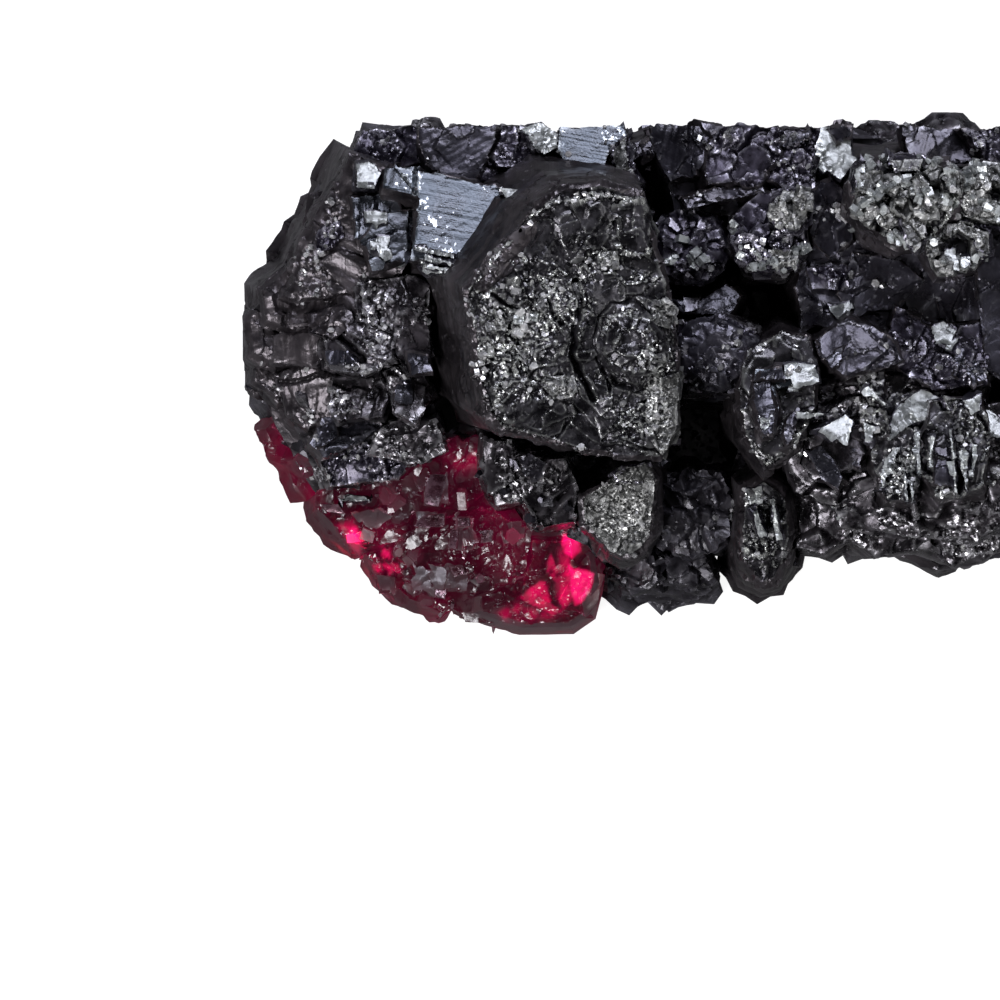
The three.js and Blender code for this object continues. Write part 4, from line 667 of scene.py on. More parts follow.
RIDGES = tuple(Ridge(*row) for row in (
    # large hexagonal face
    (0.36, 0.35, 1, ((46.6, 29.6), (48.4, 27.2), (50.4, 24.6), (52.6, 22.2), (54.6, 20.8), (57.4, 20), (60.4, 19.8),
                     (63.6, 20.4))),
    (0.26, 0.1, 0.8, ((46.6, 30.4), (47.4, 34), (48.2, 37.6), (48.6, 40))),
    (0.36, 0.3, 0.9, ((48.7, 40.4), (49.4, 42.2), (50.8, 43.6))),
    (0.24, 0.1, 0.7, ((51, 43.6), (54, 44), (58, 45), (61, 45.8), (63.4, 46.2))),
    (0.42, -1.1, 0, ((57.4, 28.4), (57.8, 30.6), (57.2, 32.6), (57.3, 34.2), (56.9, 35.6), (57.6, 36.8), (58.4, 38.4),
                     (59, 39.8))),
    (0.3, -0.7, 0, ((50, 31), (50.8, 32.4), (51.2, 34), (52.2, 35))),
    (0.26, -0.6, 0, ((49.2, 29.6), (50.4, 30.4), (52, 31.4))),
    (0.26, -0.6, 0, ((54.1, 29.6), (55, 31.4), (56, 32.4))),
    (0.3, -0.6, 0, ((59.6, 35.8), (60.6, 38), (60.8, 39))),
    (0.26, -0.5, 0, ((61.2, 22.6), (61.5, 24.2))),
    (0.34, 0.3, 0.9, ((60.1, 33.6), (60.8, 32.2), (62.2, 31.5), (63.8, 31.5))),
    (0.34, -0.6, 0, ((60.4, 37), (61.6, 38.4), (63.4, 38.9), (65.2, 38.2))),
    (0.24, 0.2, 0.5, ((61.4, 34.6), (62, 33.4), (63.2, 33), (64.2, 33.6))),
    (0.26, -0.4, 0, ((59.2, 33.8), (59.6, 31.8), (61, 30.4), (63.4, 30.2), (64.6, 31.4))),
    (0.36, 0.45, 1, ((64.9, 32), (65.4, 30.8), (66.6, 30.1), (67.4, 30.5))),
    (0.26, 0.3, 0.8, ((61.5, 24.6), (62.6, 25.5), (64, 25.7), (65, 25))),
    (0.22, 0.2, 0.7, ((58.2, 26.8), (59.6, 27.6), (61.2, 27.4), (62.4, 28.6), (65.4, 28))),
    (0.22, 0.2, 0.6, ((53.6, 26.2), (55.2, 26.6), (56.4, 27.6))),
    # left mass
    (0.36, -0.9, 0, ((27.4, 32.8), (29, 33), (31, 32.8), (32.6, 31.8))),
    (0.3, 0.2, 0.5, ((27.4, 37.3), (29.4, 37.2), (31, 36.7), (32.2, 36.2))),
    (0.36, -0.9, 0, ((27.2, 38.2), (29.2, 38.1), (31, 37.7), (32.4, 37.3))),
    (0.5, -1, 0, ((34, 33.6), (35.2, 34.8), (36.4, 36))),
    (0.24, 0.2, 0.9, ((36.2, 31), (37, 33), (38.2, 34.4), (39, 35.6))),
    (0.24, 0.2, 0.9, ((36.4, 33.6), (37.4, 35.6), (38.4, 36))),
    (0.22, 0.2, 0.8, ((33.3, 41.3), (34.8, 41), (36.1, 41.2))),
    (0.26, 0.2, 0.9, ((38.2, 36.4), (39.4, 36.8), (40.6, 38.2))),
    (0.26, 0.3, 0.8, ((24.6, 36), (25.8, 37.2), (27, 38.2))),
    (0.22, 0.15, 0.6, ((24, 32.6), (25, 30.2), (26, 28.6))),
    (0.2, 0.15, 0.6, ((36.4, 45.6), (37.6, 44.4), (39.4, 43.6))),
    (0.2, 0.15, 0.5, ((35.2, 43.8), (37.4, 43), (39.6, 42.8))),
    # back row
    (0.3, 0.3, 0.9, ((76.6, 14.3), (78.6, 14), (81, 13.5))),
    (0.3, -0.6, 0, ((41.7, 16.8), (41.5, 18.6), (41.2, 21.4), (41, 25.4))),
    (0.24, -0.3, 0, ((52.2, 17.2), (53.2, 18), (55, 18))),
    (0.3, 0.3, 0.7, ((81.5, 16.6), (82, 17.6), (83.6, 16.6), (84.4, 15.2))),
    # knobs and rosettes
    (0.4, -0.8, 0, ((93.9, 17.4), (93.8, 18.6), (94.6, 20), (95.6, 21.4), (96.6, 22.4), (98.4, 22.9), (100, 23.3))),
    (0.5, -0.9, 0, ((90.4, 18.6), (90.8, 20.4), (90.2, 21.6), (88.8, 21))),
    (0.34, 0.4, 0.9, ((87.8, 22), (88.3, 23.2), (89.8, 23.8), (90.8, 24.8))),
    (0.3, 0.3, 1, ((85.2, 21.6), (86, 20.4), (87.4, 20))),
    (0.3, -0.5, 0, ((87.6, 22.4), (87.7, 24))),
    (0.3, 0.4, 1, ((94.2, 18.4), (94.4, 17), (96, 16.5), (97, 17.8), (96.4, 18.6))),
    (0.26, 0.3, 0.8, ((80.2, 22.8), (80.4, 24.6), (79.4, 26), (77.6, 26.6))),
    (0.24, 0.2, 0.7, ((81, 26.8), (82.2, 27.8), (83.4, 28.2), (84.6, 28))),
    (0.22, 0.2, 0.5, ((86.7, 31.1), (87.8, 32))),
    # right: fan, steps and upright ribs
    (0.2, 0.15, 0.6, ((81.4, 33.8), (83, 32.6), (85, 32.2), (87, 33.6), (89.4, 35.4))),
    (0.16, 0.12, 0.4, ((83.6, 36.6), (84.6, 35.6), (84.8, 34))),
    (0.16, 0.12, 0.5, ((85.4, 35.4), (87.2, 35), (88.6, 35.8))),
    (0.2, 0.2, 0.8, ((79.6, 41.4), (80.8, 41.2), (82, 41.4))),
    (0.2, 0.25, 1, ((86.2, 38.9), (87.2, 40.4))), (0.2, 0.25, 1, ((87, 38.9), (88.4, 40.6))),
    (0.5, 0.7, 1, ((91.6, 43), (91.6, 45.4), (91.3, 48), (91.6, 52))), (0.3, 0.5, 1, ((92.9, 43.8), (92.6, 46.7))),
    (0.3, 0.5, 1, ((94.6, 43.2), (95, 45.4), (95.2, 49.4))), (0.4, 0.6, 1, ((95.8, 45), (96, 46.8))),
    (0.22, 0.4, 1, ((96, 46.8), (96.3, 49))), (0.22, 0.3, 0.7, ((97.1, 44.4), (96.8, 47.8))),
    (0.22, 0.4, 1, ((90.3, 47.6), (90.5, 50.2))), (0.22, 0.4, 1, ((90.8, 48), (91.1, 50))),
    (0.2, 0.3, 0.8, ((95.4, 42), (95.6, 43.4), (95.8, 44.4))), (0.24, 0.3, 0.8, ((97.6, 48.6), (98.6, 47.8), (99.8, 47))),
    (0.2, 0.3, 0.7, ((97.8, 46), (98.8, 44.8), (99.8, 44.4))),
    (0.3, -0.7, 0, ((92.2, 43.4), (92.2, 46.4), (92.6, 47.4))), (0.3, -0.7, 0, ((95.6, 46.8), (95.6, 49.2))),
    (0.5, -0.9, 0, ((90.8, 42), (91.6, 42.8), (92.8, 43))), (0.3, -0.7, 0, ((93.8, 40), (94.2, 41))),
    (0.28, -0.6, 0, ((97.9, 40.2), (97.8, 41.6), (98.4, 42.8))),
    (0.2, 0.25, 1, ((96.1, 39.1), (97.5, 38.6))), (0.16, 0.2, 1, ((94.1, 35.8), (95.3, 35.6))),
    (0.16, 0.2, 1, ((94.8, 36.3), (96, 35.9))), (0.16, 0.2, 1, ((95, 36.8), (96.2, 36.2))),
    (0.16, 0.2, 0.8, ((97, 36.5), (98, 36.2))), (0.16, 0.2, 0.8, ((97.2, 37), (98.3, 36.8))),
    (0.16, 0.2, 0.8, ((97.3, 37.6), (98.6, 37.2))), (0.16, 0.2, 0.8, ((97.4, 38.2), (98.7, 37.7))),
    # front row
    (0.22, 0.15, 0.9, ((58, 50.2), (58.4, 52.4), (60, 54.4), (61.4, 55.6), (63.4, 55.6), (64.6, 54.6))),
    (0.2, 0.1, 0.7, ((65.5, 48.6), (65.5, 51.6), (65.2, 53.6))),
    (0.24, 0.2, 0.6, ((66.8, 48.2), (68.4, 50), (68.8, 53))), (0.24, 0.2, 0.6, ((69, 47.4), (70, 50), (70, 54))),
    (0.24, 0.2, 0.6, ((71.4, 48), (71.8, 50.6), (71.4, 53.6))),
    (0.2, 0.2, 0.7, ((75.4, 51), (75.6, 54), (76.2, 56.8))), (0.2, 0.2, 0.7, ((77.4, 50), (77.8, 53.4), (77.4, 56.6))),
))


@dataclass(frozen=True)
class Glow:
    """Painted glow that stands in for light coming through the ruby: its strength, the softness of its edge, and its
    outline.
    """

    strength: float
    soft: float
    outline: tuple[Point, ...]


# painted glow: emission where light would shine through the ruby
GLOWS = tuple(Glow(*row) for row in (
    (1, 0.3, ((56.5, 53.5), (57.3, 53.3), (58, 53.9), (58, 55.2), (57.2, 55.9), (56.4, 55.4), (56.2, 54.4))),
    (1, 0.25, ((56.8, 56.3), (57.6, 57), (59.5, 57.3), (59.1, 58.8), (58.5, 60.2), (57.6, 60.6), (57.2, 59.4))),
    (0.45, 0.2, ((54.6, 56.2), (55.1, 55.4), (55.8, 56.8), (56.6, 58), (57, 59), (56, 58.6), (54.8, 57.4))),
    (0.5, 0.5, ((56, 55), (57, 56), (57.2, 58), (57.2, 60), (56.4, 61), (55.6, 59.6))),
    (0.5, 0.2, ((51.9, 59.9), (53.9, 58.2), (54.6, 58.3), (55.2, 60.4), (56.4, 61.2), (55.2, 61.8), (54, 61))),
    (0.25, 0.6, ((49.6, 61.4), (52, 60.2), (55, 61.5), (56.6, 61.4), (54.6, 62.2), (50.6, 62.4))),
    (0.95, 0.5, ((34.3, 52.7), (35.2, 52.4), (35.9, 53.3), (35.8, 54.2), (34.8, 54))),
    (0.5, 0.6, ((33.6, 52.6), (35.2, 52), (36.2, 53.6), (35.8, 55.6), (34.8, 54.8))),
    (0.8, 0.3, ((38, 55), (38.8, 55.1), (38.9, 55.9), (38, 55.8))),
    (0.6, 0.35, ((38.2, 56.6), (39.6, 56.4), (40, 57.2), (38.8, 57.5))),
    (0.4, 0.3, ((36.8, 56.4), (38, 56.6), (38.2, 57.4), (37.2, 57.3))),
    (0.2, 1.0, ((44, 44.8), (48, 44.6), (48.8, 46), (48.6, 47.6), (46, 47.4), (44.4, 46.2))),
    (0.14, 0.5, ((30.2, 48.4), (32, 48.2), (32.2, 50.2), (31.2, 51.2), (30.2, 49.6))),
    (0.05, 0.6, ((26.2, 43), (28.4, 44), (30, 47.6), (28.2, 48.4), (26.6, 46.8))),
    (0.12, 0.8, ((36, 52), (40, 52.4), (40.4, 54.4), (37.4, 55.4))),
    (0.1, 1, ((48.6, 49), (54, 53), (54, 58), (49, 58), (47, 53))),
))

# ---------------------------------------------------------------- noise

HASH_PRIMES = (0x9E3779B1, 0x85EBCA77, 0xC2B2AE3D)


def scrambled(seed: int, *cells: np.ndarray) -> np.ndarray:
    """Random 32-bit numbers for whole-numbered cells.

    Args:
        seed: Number of the pattern.
        cells: One array of cell numbers for each axis.

    Returns:
        One number for each cell, the same each time.
    """
    value = np.full(np.shape(cells[0]), (seed * 747796405 + 2891336453) & 0xFFFFFFFF, dtype=np.uint32)
    for cell, prime in zip(cells, HASH_PRIMES):
        value ^= cell.astype(np.int64).astype(np.uint32) * np.uint32(prime)
        value ^= value >> np.uint32(15)
        value *= np.uint32(0x2C1B3C6D)
        value ^= value >> np.uint32(12)
    value *= np.uint32(0x297A2D39)
    return value ^ (value >> np.uint32(15))


def share(value: np.ndarray, place: int) -> np.ndarray:
    """One byte of random 32-bit numbers, as a number from 0 to 1."""
    return ((value >> np.uint32(8 * place)) & np.uint32(255)) / 255.0


def noise(points: np.ndarray, scale: float, seed: int) -> np.ndarray:
    """Smooth noise.

    Args:
        points: Points, one in each row, in squares.
        scale: Waves per square.
        seed: Number of the pattern.

    Returns:
        A value from -1 to 1 for each point.
    """
    grid = points * scale + 0.37 * (seed % 17)
    cell = np.floor(grid)
    part = grid - cell
    blend = part * part * (3 - 2 * part)
    cell = cell.astype(np.int64)
    axes = range(points.shape[1])
    total = np.zeros(len(points))
    for corner in itertools.product((0, 1), repeat=points.shape[1]):
        weight = np.ones(len(points))
        for axis in axes:
            weight = weight * (blend[:, axis] if corner[axis] else 1 - blend[:, axis])
        total += weight * scrambled(seed, *(cell[:, axis] + corner[axis] for axis in axes)) / 2.0**32
    return total * 2 - 1


def rough_noise(points: np.ndarray, scale: float, seed: int, octaves: int = 3) -> np.ndarray:
    """Noise with finer and finer waves on it, from about -1 to 1."""
    layers = [noise(points, scale * 2.03**octave, seed + octave) / 1.9**octave for octave in range(octaves)]
    return sum(layers) / 1.45


def crystal_bed(u: np.ndarray, v: np.ndarray, seed: int, bed: Bed) -> np.ndarray:
    """Heights of a bed of small flat-topped crystals that overlap at random.

    Args:
        u: Places along the surface, in squares.
        v: Places across it.
        seed: Number of the pattern.
        bed: The crystals' sizes.

    Returns:
        Heights in squares, about half of them below 0.
    """
    a, b = u / bed.size, v / (bed.size * bed.stretch)
    column, row = np.floor(a), np.floor(b)
    best = np.full(len(u), -bed.height)
    for across, along in itertools.product((-1, 0, 1), repeat=2):
        first = scrambled(seed, column + across, row + along)
        second = scrambled(seed + 101, column + across, row + along)
        dx = a - (column + across + 0.15 + 0.7 * share(first, 0))
        dy = b - (row + along + 0.15 + 0.7 * share(first, 1))
        turn = share(first, 2) * math.pi
        cosine, sine = np.cos(turn), np.sin(turn)
        p, q = np.abs(dx * cosine + dy * sine), np.abs(dy * cosine - dx * sine)
        reach = np.maximum(q, p * 0.866 + q * 0.5)
        top = bed.height * (share(first, 3) - 0.6)
        slope = 2 * bed.tilt * bed.size * ((share(second, 0) - 0.5) * dx + (share(second, 1) - 0.5) * dy)
        edge = top + (0.4 + 0.4 * share(second, 2) - reach) * bed.size * bed.steep
        best = np.maximum(best, np.minimum(top + slope, edge))
    return best


def smooth_step(value: np.ndarray, low: float, high: float) -> np.ndarray:
    """0 below low, 1 above high, and a smooth rise between."""
    part = np.clip((value - low) / (high - low), 0, 1)
    return part * part * (3 - 2 * part)


def edge_distance(x: np.ndarray, y: np.ndarray, outline: Sequence[Point]) -> np.ndarray:
    """Distance on the plan from points to the nearest edge of an outline, in squares."""
    best = np.full(len(x), 1e9)
    for (x0, y0), (x1, y1) in zip(outline, (*outline[1:], outline[0])):
        dx, dy = x1 - x0, y1 - y0
        along = np.clip(((x - x0) * dx + (y - y0) * dy) / (dx * dx + dy * dy), 0, 1)
        best = np.minimum(best, np.hypot(x - x0 - along * dx, y - y0 - along * dy))
    return best


def within(x: np.ndarray, y: np.ndarray, outline: Sequence[Point]) -> np.ndarray:
    """Whether points of the plan lie inside an outline."""
    inside = np.zeros(len(x), dtype=bool)
    for (x0, y0), (x1, y1) in zip(outline, (*outline[1:], outline[0])):
        if y0 != y1:
            inside ^= ((y0 > y) != (y1 > y)) & (x < (x1 - x0) * (y - y0) / (y1 - y0) + x0)
    return inside


def on_plan(points: np.ndarray) -> tuple[np.ndarray, np.ndarray]:
    """Places on the plan of points of the model, in squares."""
    return points[:, 0] + PLAN_CENTRE[0], PLAN_CENTRE[1] - points[:, 1]


def patch_sum(x: np.ndarray, y: np.ndarray, patches: Sequence[Patch]) -> np.ndarray:
    """Sum of the patches at points of the plan."""
    total = np.zeros(len(x))
    for patch in patches:
        reach = 1.7 * max(patch.long, patch.short)
        near = (np.abs(x - patch.x) < reach) & (np.abs(y - patch.y) < reach)
        dx, dy = x[near] - patch.x, y[near] - patch.y
        cosine, sine = math.cos(math.radians(patch.turn)), math.sin(math.radians(patch.turn))
        square = ((dx * cosine + dy * sine) / patch.long) ** 2 + ((dy * cosine - dx * sine) / patch.short) ** 2
        total[near] += patch.amount * np.exp(-square**1.5)
    return total


def ridge_field(points: np.ndarray) -> tuple[np.ndarray, np.ndarray]:
    """Rise and paleness that the ridges give to points of the model; the paleness is a painted highlight."""
    x, y = on_plan(points)
    x, y = x + 0.22 * noise(points, 1.1, 901), y + 0.22 * noise(points, 1.1, 902)
    rise, pale = np.zeros(len(x)), np.zeros(len(x))
    for ridge in RIDGES:
        xs, ys = zip(*ridge.run)
        room = ridge.width
        near = (x > min(xs) - room) & (x < max(xs) + room) & (y > min(ys) - room) & (y < max(ys) + room)
        if near.any():
            gap = edge_distance(x[near], y[near], (*ridge.run, *ridge.run[-2:0:-1]))
            shape = np.clip(1 - (gap / ridge.width) ** 2, 0, 1)
            rise[near] += ridge.rise * shape
            pale[near] = np.maximum(pale[near], ridge.pale * smooth_step(shape, 0.0, 0.6))
    return rise, pale


def sparkle_of(points: np.ndarray) -> np.ndarray:
    """How grainy and sparkling the surface is at points of the model, from 0 to 1; where it sparkles, the tone group
    paints pale patches that are partly the grain's own colour and partly glints.
    """
    cluster = smooth_step(rough_noise(points, 0.3, 77, 4), 0.05, 0.5)
    patches = patch_sum(*on_plan(points), GRAIN_PATCHES)
    return np.clip(np.maximum(ridge_field(points)[1], 0.75 * cluster * (1 + np.minimum(patches, 0)) + patches), 0, 1)


# ---------------------------------------------------------------- shells

REFINE_ROUNDS = 40
REFINE_SHARE = 0.62  # only edges longer than this share of the longest are split in one round


def model_point(x: float, y: float, height: float) -> tuple[float, float, float]:
    """Place on the model, in squares, of a point of the plan at a height."""
    return x - PLAN_CENTRE[0], PLAN_CENTRE[1] - y, height


def anticlockwise(face: Sequence[Point]) -> list[Point]:
    """The same outline, running anticlockwise when seen from above the model."""
    area = sum(x0 * y1 - x1 * y0 for (x0, y0), (x1, y1) in zip(face, (*face[1:], face[0])))
    return list(face) if area < 0 else list(reversed(face))


@dataclass
class Shell:
    """A closed mesh while it is being made, in squares on the model's axes.

    Each triangle belongs to one flat side, whose frame gives its origin, its direction along, its direction
    across and its outward normal. Kinds are "top", "side" and "root".
    """

    points: np.ndarray
    triangles: np.ndarray
    sides: np.ndarray
    drop: np.ndarray
    frames: np.ndarray
    kinds: list[str]
    outline: tuple[Point, ...] = ()

    def refine(self, fine: float, coarse: float, grow: float) -> None:
        """Splits the edges until they are as short as wanted.

        Args:
            fine: Longest edge at the face, in squares.
            coarse: Longest edge far below it.
            grow: How much longer an edge may be for each square of drop.
        """
        for _ in range(REFINE_ROUNDS):
            count = len(self.points)
            pairs = np.sort(self.triangles[:, [[0, 1], [1, 2], [2, 0]]].reshape(-1, 2), axis=1).astype(np.int64)
            keys, where = np.unique(pairs[:, 0] * count + pairs[:, 1], return_inverse=True)
            start, end = keys // count, keys % count
            length = np.linalg.norm(self.points[start] - self.points[end], axis=1)
            wanted = np.clip(fine + grow * (self.drop[start] + self.drop[end]) / 2, fine, coarse)
            ratio = length / wanted
            split = ratio > max(1.0, REFINE_SHARE * ratio.max())
            if not split.any():
                return
            middle = np.full(len(keys), -1)
            middle[split] = count + np.arange(split.sum())
            self.points = np.vstack([self.points, (self.points[start[split]] + self.points[end[split]]) / 2])
            self.drop = np.concatenate([self.drop, (self.drop[start[split]] + self.drop[end[split]]) / 2])
            self._split(middle[where].reshape(-1, 3))

    def _split(self, middles: np.ndarray) -> None:
        """Replaces each triangle by two, three or four, at the middles of its split edges (-1 where whole)."""
        number = (middles >= 0).sum(axis=1)
        kept = number == 0
        made, owner = [self.triangles[kept]], [self.sides[kept]]
        corner, all_split = self.triangles, number == 3
        for first in range(3):
            second, third = (first + 1) % 3, (first + 2) % 3
            one = (number == 1) & (middles[:, first] >= 0)
            c, m = corner[one], middles[one]
            made += [np.stack([c[:, first], m[:, first], c[:, third]], 1),
                     np.stack([m[:, first], c[:, second], c[:, third]], 1)]
            owner += [self.sides[one]] * 2
            two = (number == 2) & (middles[:, first] < 0)
            c, m = corner[two], middles[two]
            made += [np.stack([m[:, second], c[:, third], m[:, third]], 1),
                     np.stack([c[:, second], m[:, second], m[:, third]], 1),
                     np.stack([c[:, second], m[:, third], c[:, first]], 1)]
            owner += [self.sides[two]] * 3
        c, m = corner[all_split], middles[all_split]
        made += [np.stack([c[:, 0], m[:, 0], m[:, 2]], 1), np.stack([m[:, 0], c[:, 1], m[:, 1]], 1),
                 np.stack([m[:, 2], m[:, 1], c[:, 2]], 1), m]
        owner += [self.sides[all_split]] * 4
        self.triangles, self.sides = np.vstack(made), np.concatenate(owner)

    def roughen(self, reliefs: dict[str, Relief], seed: int) -> None:
        """Moves the surface by its relief, with the edges kept closed.

        Args:
            reliefs: Relief of each kind of side.
            seed: Number of the pattern.
        """
        many = len(self.frames)
        pairs = np.unique(self.triangles.ravel().astype(np.int64) * many + np.repeat(self.sides, 3))
        vertex, side = pairs // many, pairs % many
        origin, along, across, normal = (self.frames[side, row] for row in range(4))
        offset = self.points[vertex] - origin
        u, v = (offset * along).sum(1), (offset * across).sum(1)
        kinds = np.array(self.kinds)[side]
        push = np.zeros(len(vertex))
        for kind, relief in reliefs.items():
            chosen = kinds == kind
            if chosen.any():
                place = self.points[vertex[chosen]]
                if kind == "top" and self.outline:
                    edge = edge_distance(*on_plan(place), self.outline)
                else:
                    edge = self.drop[vertex[chosen]]
                shift = side[chosen] * 31.7
                push[chosen] = relief_height(relief, place, u[chosen] + shift, v[chosen] + shift, edge, seed)
                if kind == "top":
                    push[chosen] += relief.ridges * ridge_field(place)[0]
        total, reach, number = np.zeros_like(self.points), np.zeros_like(self.points), np.zeros(len(self.points))
        np.add.at(total, vertex, normal * push[:, None])
        np.add.at(reach, vertex, normal)
        np.add.at(number, vertex, 1)
        square = np.maximum((reach**2).sum(1), 0.6)
        self.points = self.points + total * (number / square)[:, None]
        self.points[:, 2] = np.maximum(self.points[:, 2], 0.02)


GRAIN_SIZE = 1.4  # beds of smaller crystals show only where the surface is grainy


def relief_height(
    relief: Relief, place: np.ndarray, u: np.ndarray, v: np.ndarray, edge: np.ndarray, seed: int
) -> np.ndarray:
    """Height of a relief over its flat side.

    Args:
        relief: The relief's sizes.
        place: Points on the model, in squares.
        u: The points' places along the side.
        v: Their places across it.
        edge: Their distances from the side's edge.
        seed: Number of the pattern.

    Returns:
        Heights in squares, about half of them below 0.
    """
    height = relief.grain * noise(place, 3.1, seed + 3)
    if relief.terrace:
        level = relief.steps * (0.5 * rough_noise(place, 1 / relief.terrace_size, seed + 11, 2)
                                + relief.inward * edge)
        whole = np.floor(level)
        height += relief.terrace * ((whole + smooth_step(level - whole, 0.0, 0.22)) / relief.steps)
    sparkle = sparkle_of(place) if relief.beds else 0.0
    for number, bed in enumerate(relief.beds):
        wave = 0.3 * bed.size
        bent_u = u + wave * noise(place, 0.7 / bed.size, seed + 21 + number * 5)
        bent_v = v + wave * noise(place, 0.7 / bed.size, seed + 22 + number * 5)
        made = crystal_bed(bent_u, bent_v, seed + 23 + number * 5, bed)
        height += made * (0.1 + 0.9 * sparkle) if bed.size < GRAIN_SIZE else made
    if relief.swell:
        height += relief.swell * rough_noise(place, 0.22, seed + 61, 2)
    if relief.rib:
        line = np.stack([u / relief.rib_width + 0.4 * noise(place, 0.25, seed + 41), v * 0.02], axis=1)
        height += relief.rib * (noise(line, 1.0, seed + 42) + 0.5 * noise(line, 2.3, seed + 43))
    if relief.wear:
        near = np.clip(1 - edge / relief.wear_width, 0, 1) ** 2
        height -= relief.wear * near * (0.55 + 0.75 * noise(place, 1.4, seed + 51))
    return height


def frame_of(origin: np.ndarray, along: np.ndarray, normal: np.ndarray) -> np.ndarray:
    """Rows of a flat side's frame: its origin, along, across and outward normal."""
    normal = normal / (np.linalg.norm(normal) or 1)
    along = along - normal * along.dot(normal)
    along = along / (np.linalg.norm(along) or 1)
    return np.stack([origin, along, np.cross(normal, along), normal])


def newell(ring: np.ndarray) -> np.ndarray:
    """Normal of a nearly flat ring of points, anticlockwise about it."""
    following = np.roll(ring, -1, axis=0)
    return np.array([
        ((ring[:, 1] - following[:, 1]) * (ring[:, 2] + following[:, 2])).sum(),
        ((ring[:, 2] - following[:, 2]) * (ring[:, 0] + following[:, 0])).sum(),
        ((ring[:, 0] - following[:, 0]) * (ring[:, 1] + following[:, 1])).sum(),
    ])


def shell_through(rings: Sequence[np.ndarray], drops: Sequence[float], outline: tuple[Point, ...] = ()) -> Shell:
    """Closed shell through rings of points, from the lowest to the highest.

    Args:
        rings: Rings that run anticlockwise seen from the last one's end.
        drops: How far each ring lies below the crystal's face, in squares.
        outline: Outline of the face on the plan, where the shell has one.

    Returns:
        The shell, with a flat side for each pair of neighbouring points and for both ends.
    """
    count = len(rings[0])
    points = np.vstack(rings)
    triangles, sides, frames, kinds = [], [], [], []
    for level in range(len(rings) - 1):
        for index in range(count):
            after = (index + 1) % count
            a, b = level * count + index, level * count + after
            c, d = b + count, a + count
            triangles += [(a, b, d), (b, c, d)]
            sides += [len(frames)] * 2
            ring = points[[a, b, c, d]]
            frames.append(frame_of(points[d], points[c] - points[d], newell(ring)))
            kinds.append("side")
    for base, ring, kind in ((0, rings[0], "root"), ((len(rings) - 1) * count, rings[-1], "top")):
        normal = newell(ring) * (-1 if kind == "root" else 1)
        found = tessellate_polygon([[Vector(point) for point in ring]])
        for a, b, c in found:
            turned = np.cross(ring[b] - ring[a], ring[c] - ring[a]).dot(normal) < 0
            triangles.append((base + a, base + c, base + b) if turned else (base + a, base + b, base + c))
            sides.append(len(frames))
        frames.append(frame_of(ring[0], ring[len(ring) // 3] - ring[0], normal))
        kinds.append(kind)
    drop = np.repeat(np.array(drops, dtype=float), count)
    return Shell(points, np.array(triangles), np.array(sides), drop, np.array(frames), kinds, outline)


def crystal_shell(entry: Crystal) -> Shell:
    """Shell of one crystal: its face, a worn edge, and a body that runs down into the cluster."""
    middle_x, middle_y = entry.middle
    lower = min(entry.depth, entry.height - FOOT)
    face = anticlockwise(entry.face)

    def ring(scale: float, shift: Point, down: float) -> np.ndarray:
        """Ring of the body at a drop below the face."""
        return np.array([
            model_point(middle_x + (x - middle_x) * scale + shift[0], middle_y + (y - middle_y) * scale + shift[1],
                        max(entry.level(x, y) - down, FOOT)) for x, y in face])

    if not entry.bevel:
        return shell_through([ring(entry.spread, entry.lean, lower), ring(1, (0, 0), 0)], (lower, 0), entry.face)
    reach = max(math.hypot(x - middle_x, y - middle_y) for x, y in face)
    rings = [ring(entry.spread, entry.lean, lower), ring(1, (0, 0), entry.bevel),
             ring(1 - entry.bevel / reach, (0, 0), 0)]
    return shell_through(rings, (lower, entry.bevel, 0), entry.face)


def strut_shell(strut: Strut) -> Shell:
    """Shell of a straight prism between two points."""
    start, end = (np.array(model_point(*point)) for point in (strut.foot, strut.tip))
    along = (end - start) / np.linalg.norm(end - start)
    across = np.cross((0, 0, 1), along)
    across /= np.linalg.norm(across)
    up = np.cross(along, across)
    length = np.linalg.norm(end - start)

    def ring(part: float, scale: float) -> np.ndarray:
        """Six-sided ring at a part of the length."""
        angles = strut.turn + np.arange(6) / 6 * math.tau
        spokes = np.cos(angles)[:, None] * across + np.sin(angles)[:, None] * up
        return start + (end - start) * part + spokes * strut.radius * scale

    return shell_through([ring(0, 1.05), ring(0.84, 1), ring(1, 0.66)], (length, length * 0.16, 0))


def knob_shell(knob: Knob) -> Shell:
    """Shell of a round knob with a domed top."""
    def ring(height: float, size: float) -> np.ndarray:
        """Round ring at a height."""
        angles = np.arange(knob.sides) / knob.sides * math.tau + knob.centre[1]
        return np.array([model_point(knob.centre[0] + math.cos(a) * size, knob.centre[1] - math.sin(a) * size,
                                     height) for a in angles])

    radius, top = knob.radius, knob.top
    return shell_through(
        [ring(knob.foot, radius * 1.06), ring(top - radius * 0.4, radius), ring(top - radius * 0.14, radius * 0.82),
         ring(top, radius * 0.5)],
        (top - knob.foot, radius * 0.4, radius * 0.14, 0))


def petal_crystals(rosette: Rosette) -> list[Crystal]:
    """Blades of one rosette, each a small crystal that leans away from the middle."""
    half = math.pi / rosette.petals * 0.9
    made = []
    for index in range(rosette.petals):
        size = PETAL_SIZES[index % len(PETAL_SIZES)]
        angle = index / rosette.petals * math.tau + rosette.radius
        outward = (math.cos(angle), math.sin(angle))
        corners = tuple(
            (rosette.centre[0] + math.cos(angle + turn) * rosette.radius * reach,
             rosette.centre[1] + math.sin(angle + turn) * rosette.radius * reach)
            for reach, turn in ((rosette.hollow, -half), (size * 0.86, -half), (size, 0), (size * 0.82, half),
                                (rosette.hollow, half)))
        made.append(Crystal(
            corners, rosette.top - (1 - size) * rosette.radius, rosette.look,
            slope=(-outward[0] * 0.3, -outward[1] * 0.3), lean=(-outward[0] * 0.4, -outward[1] * 0.4), depth=4))
    return made


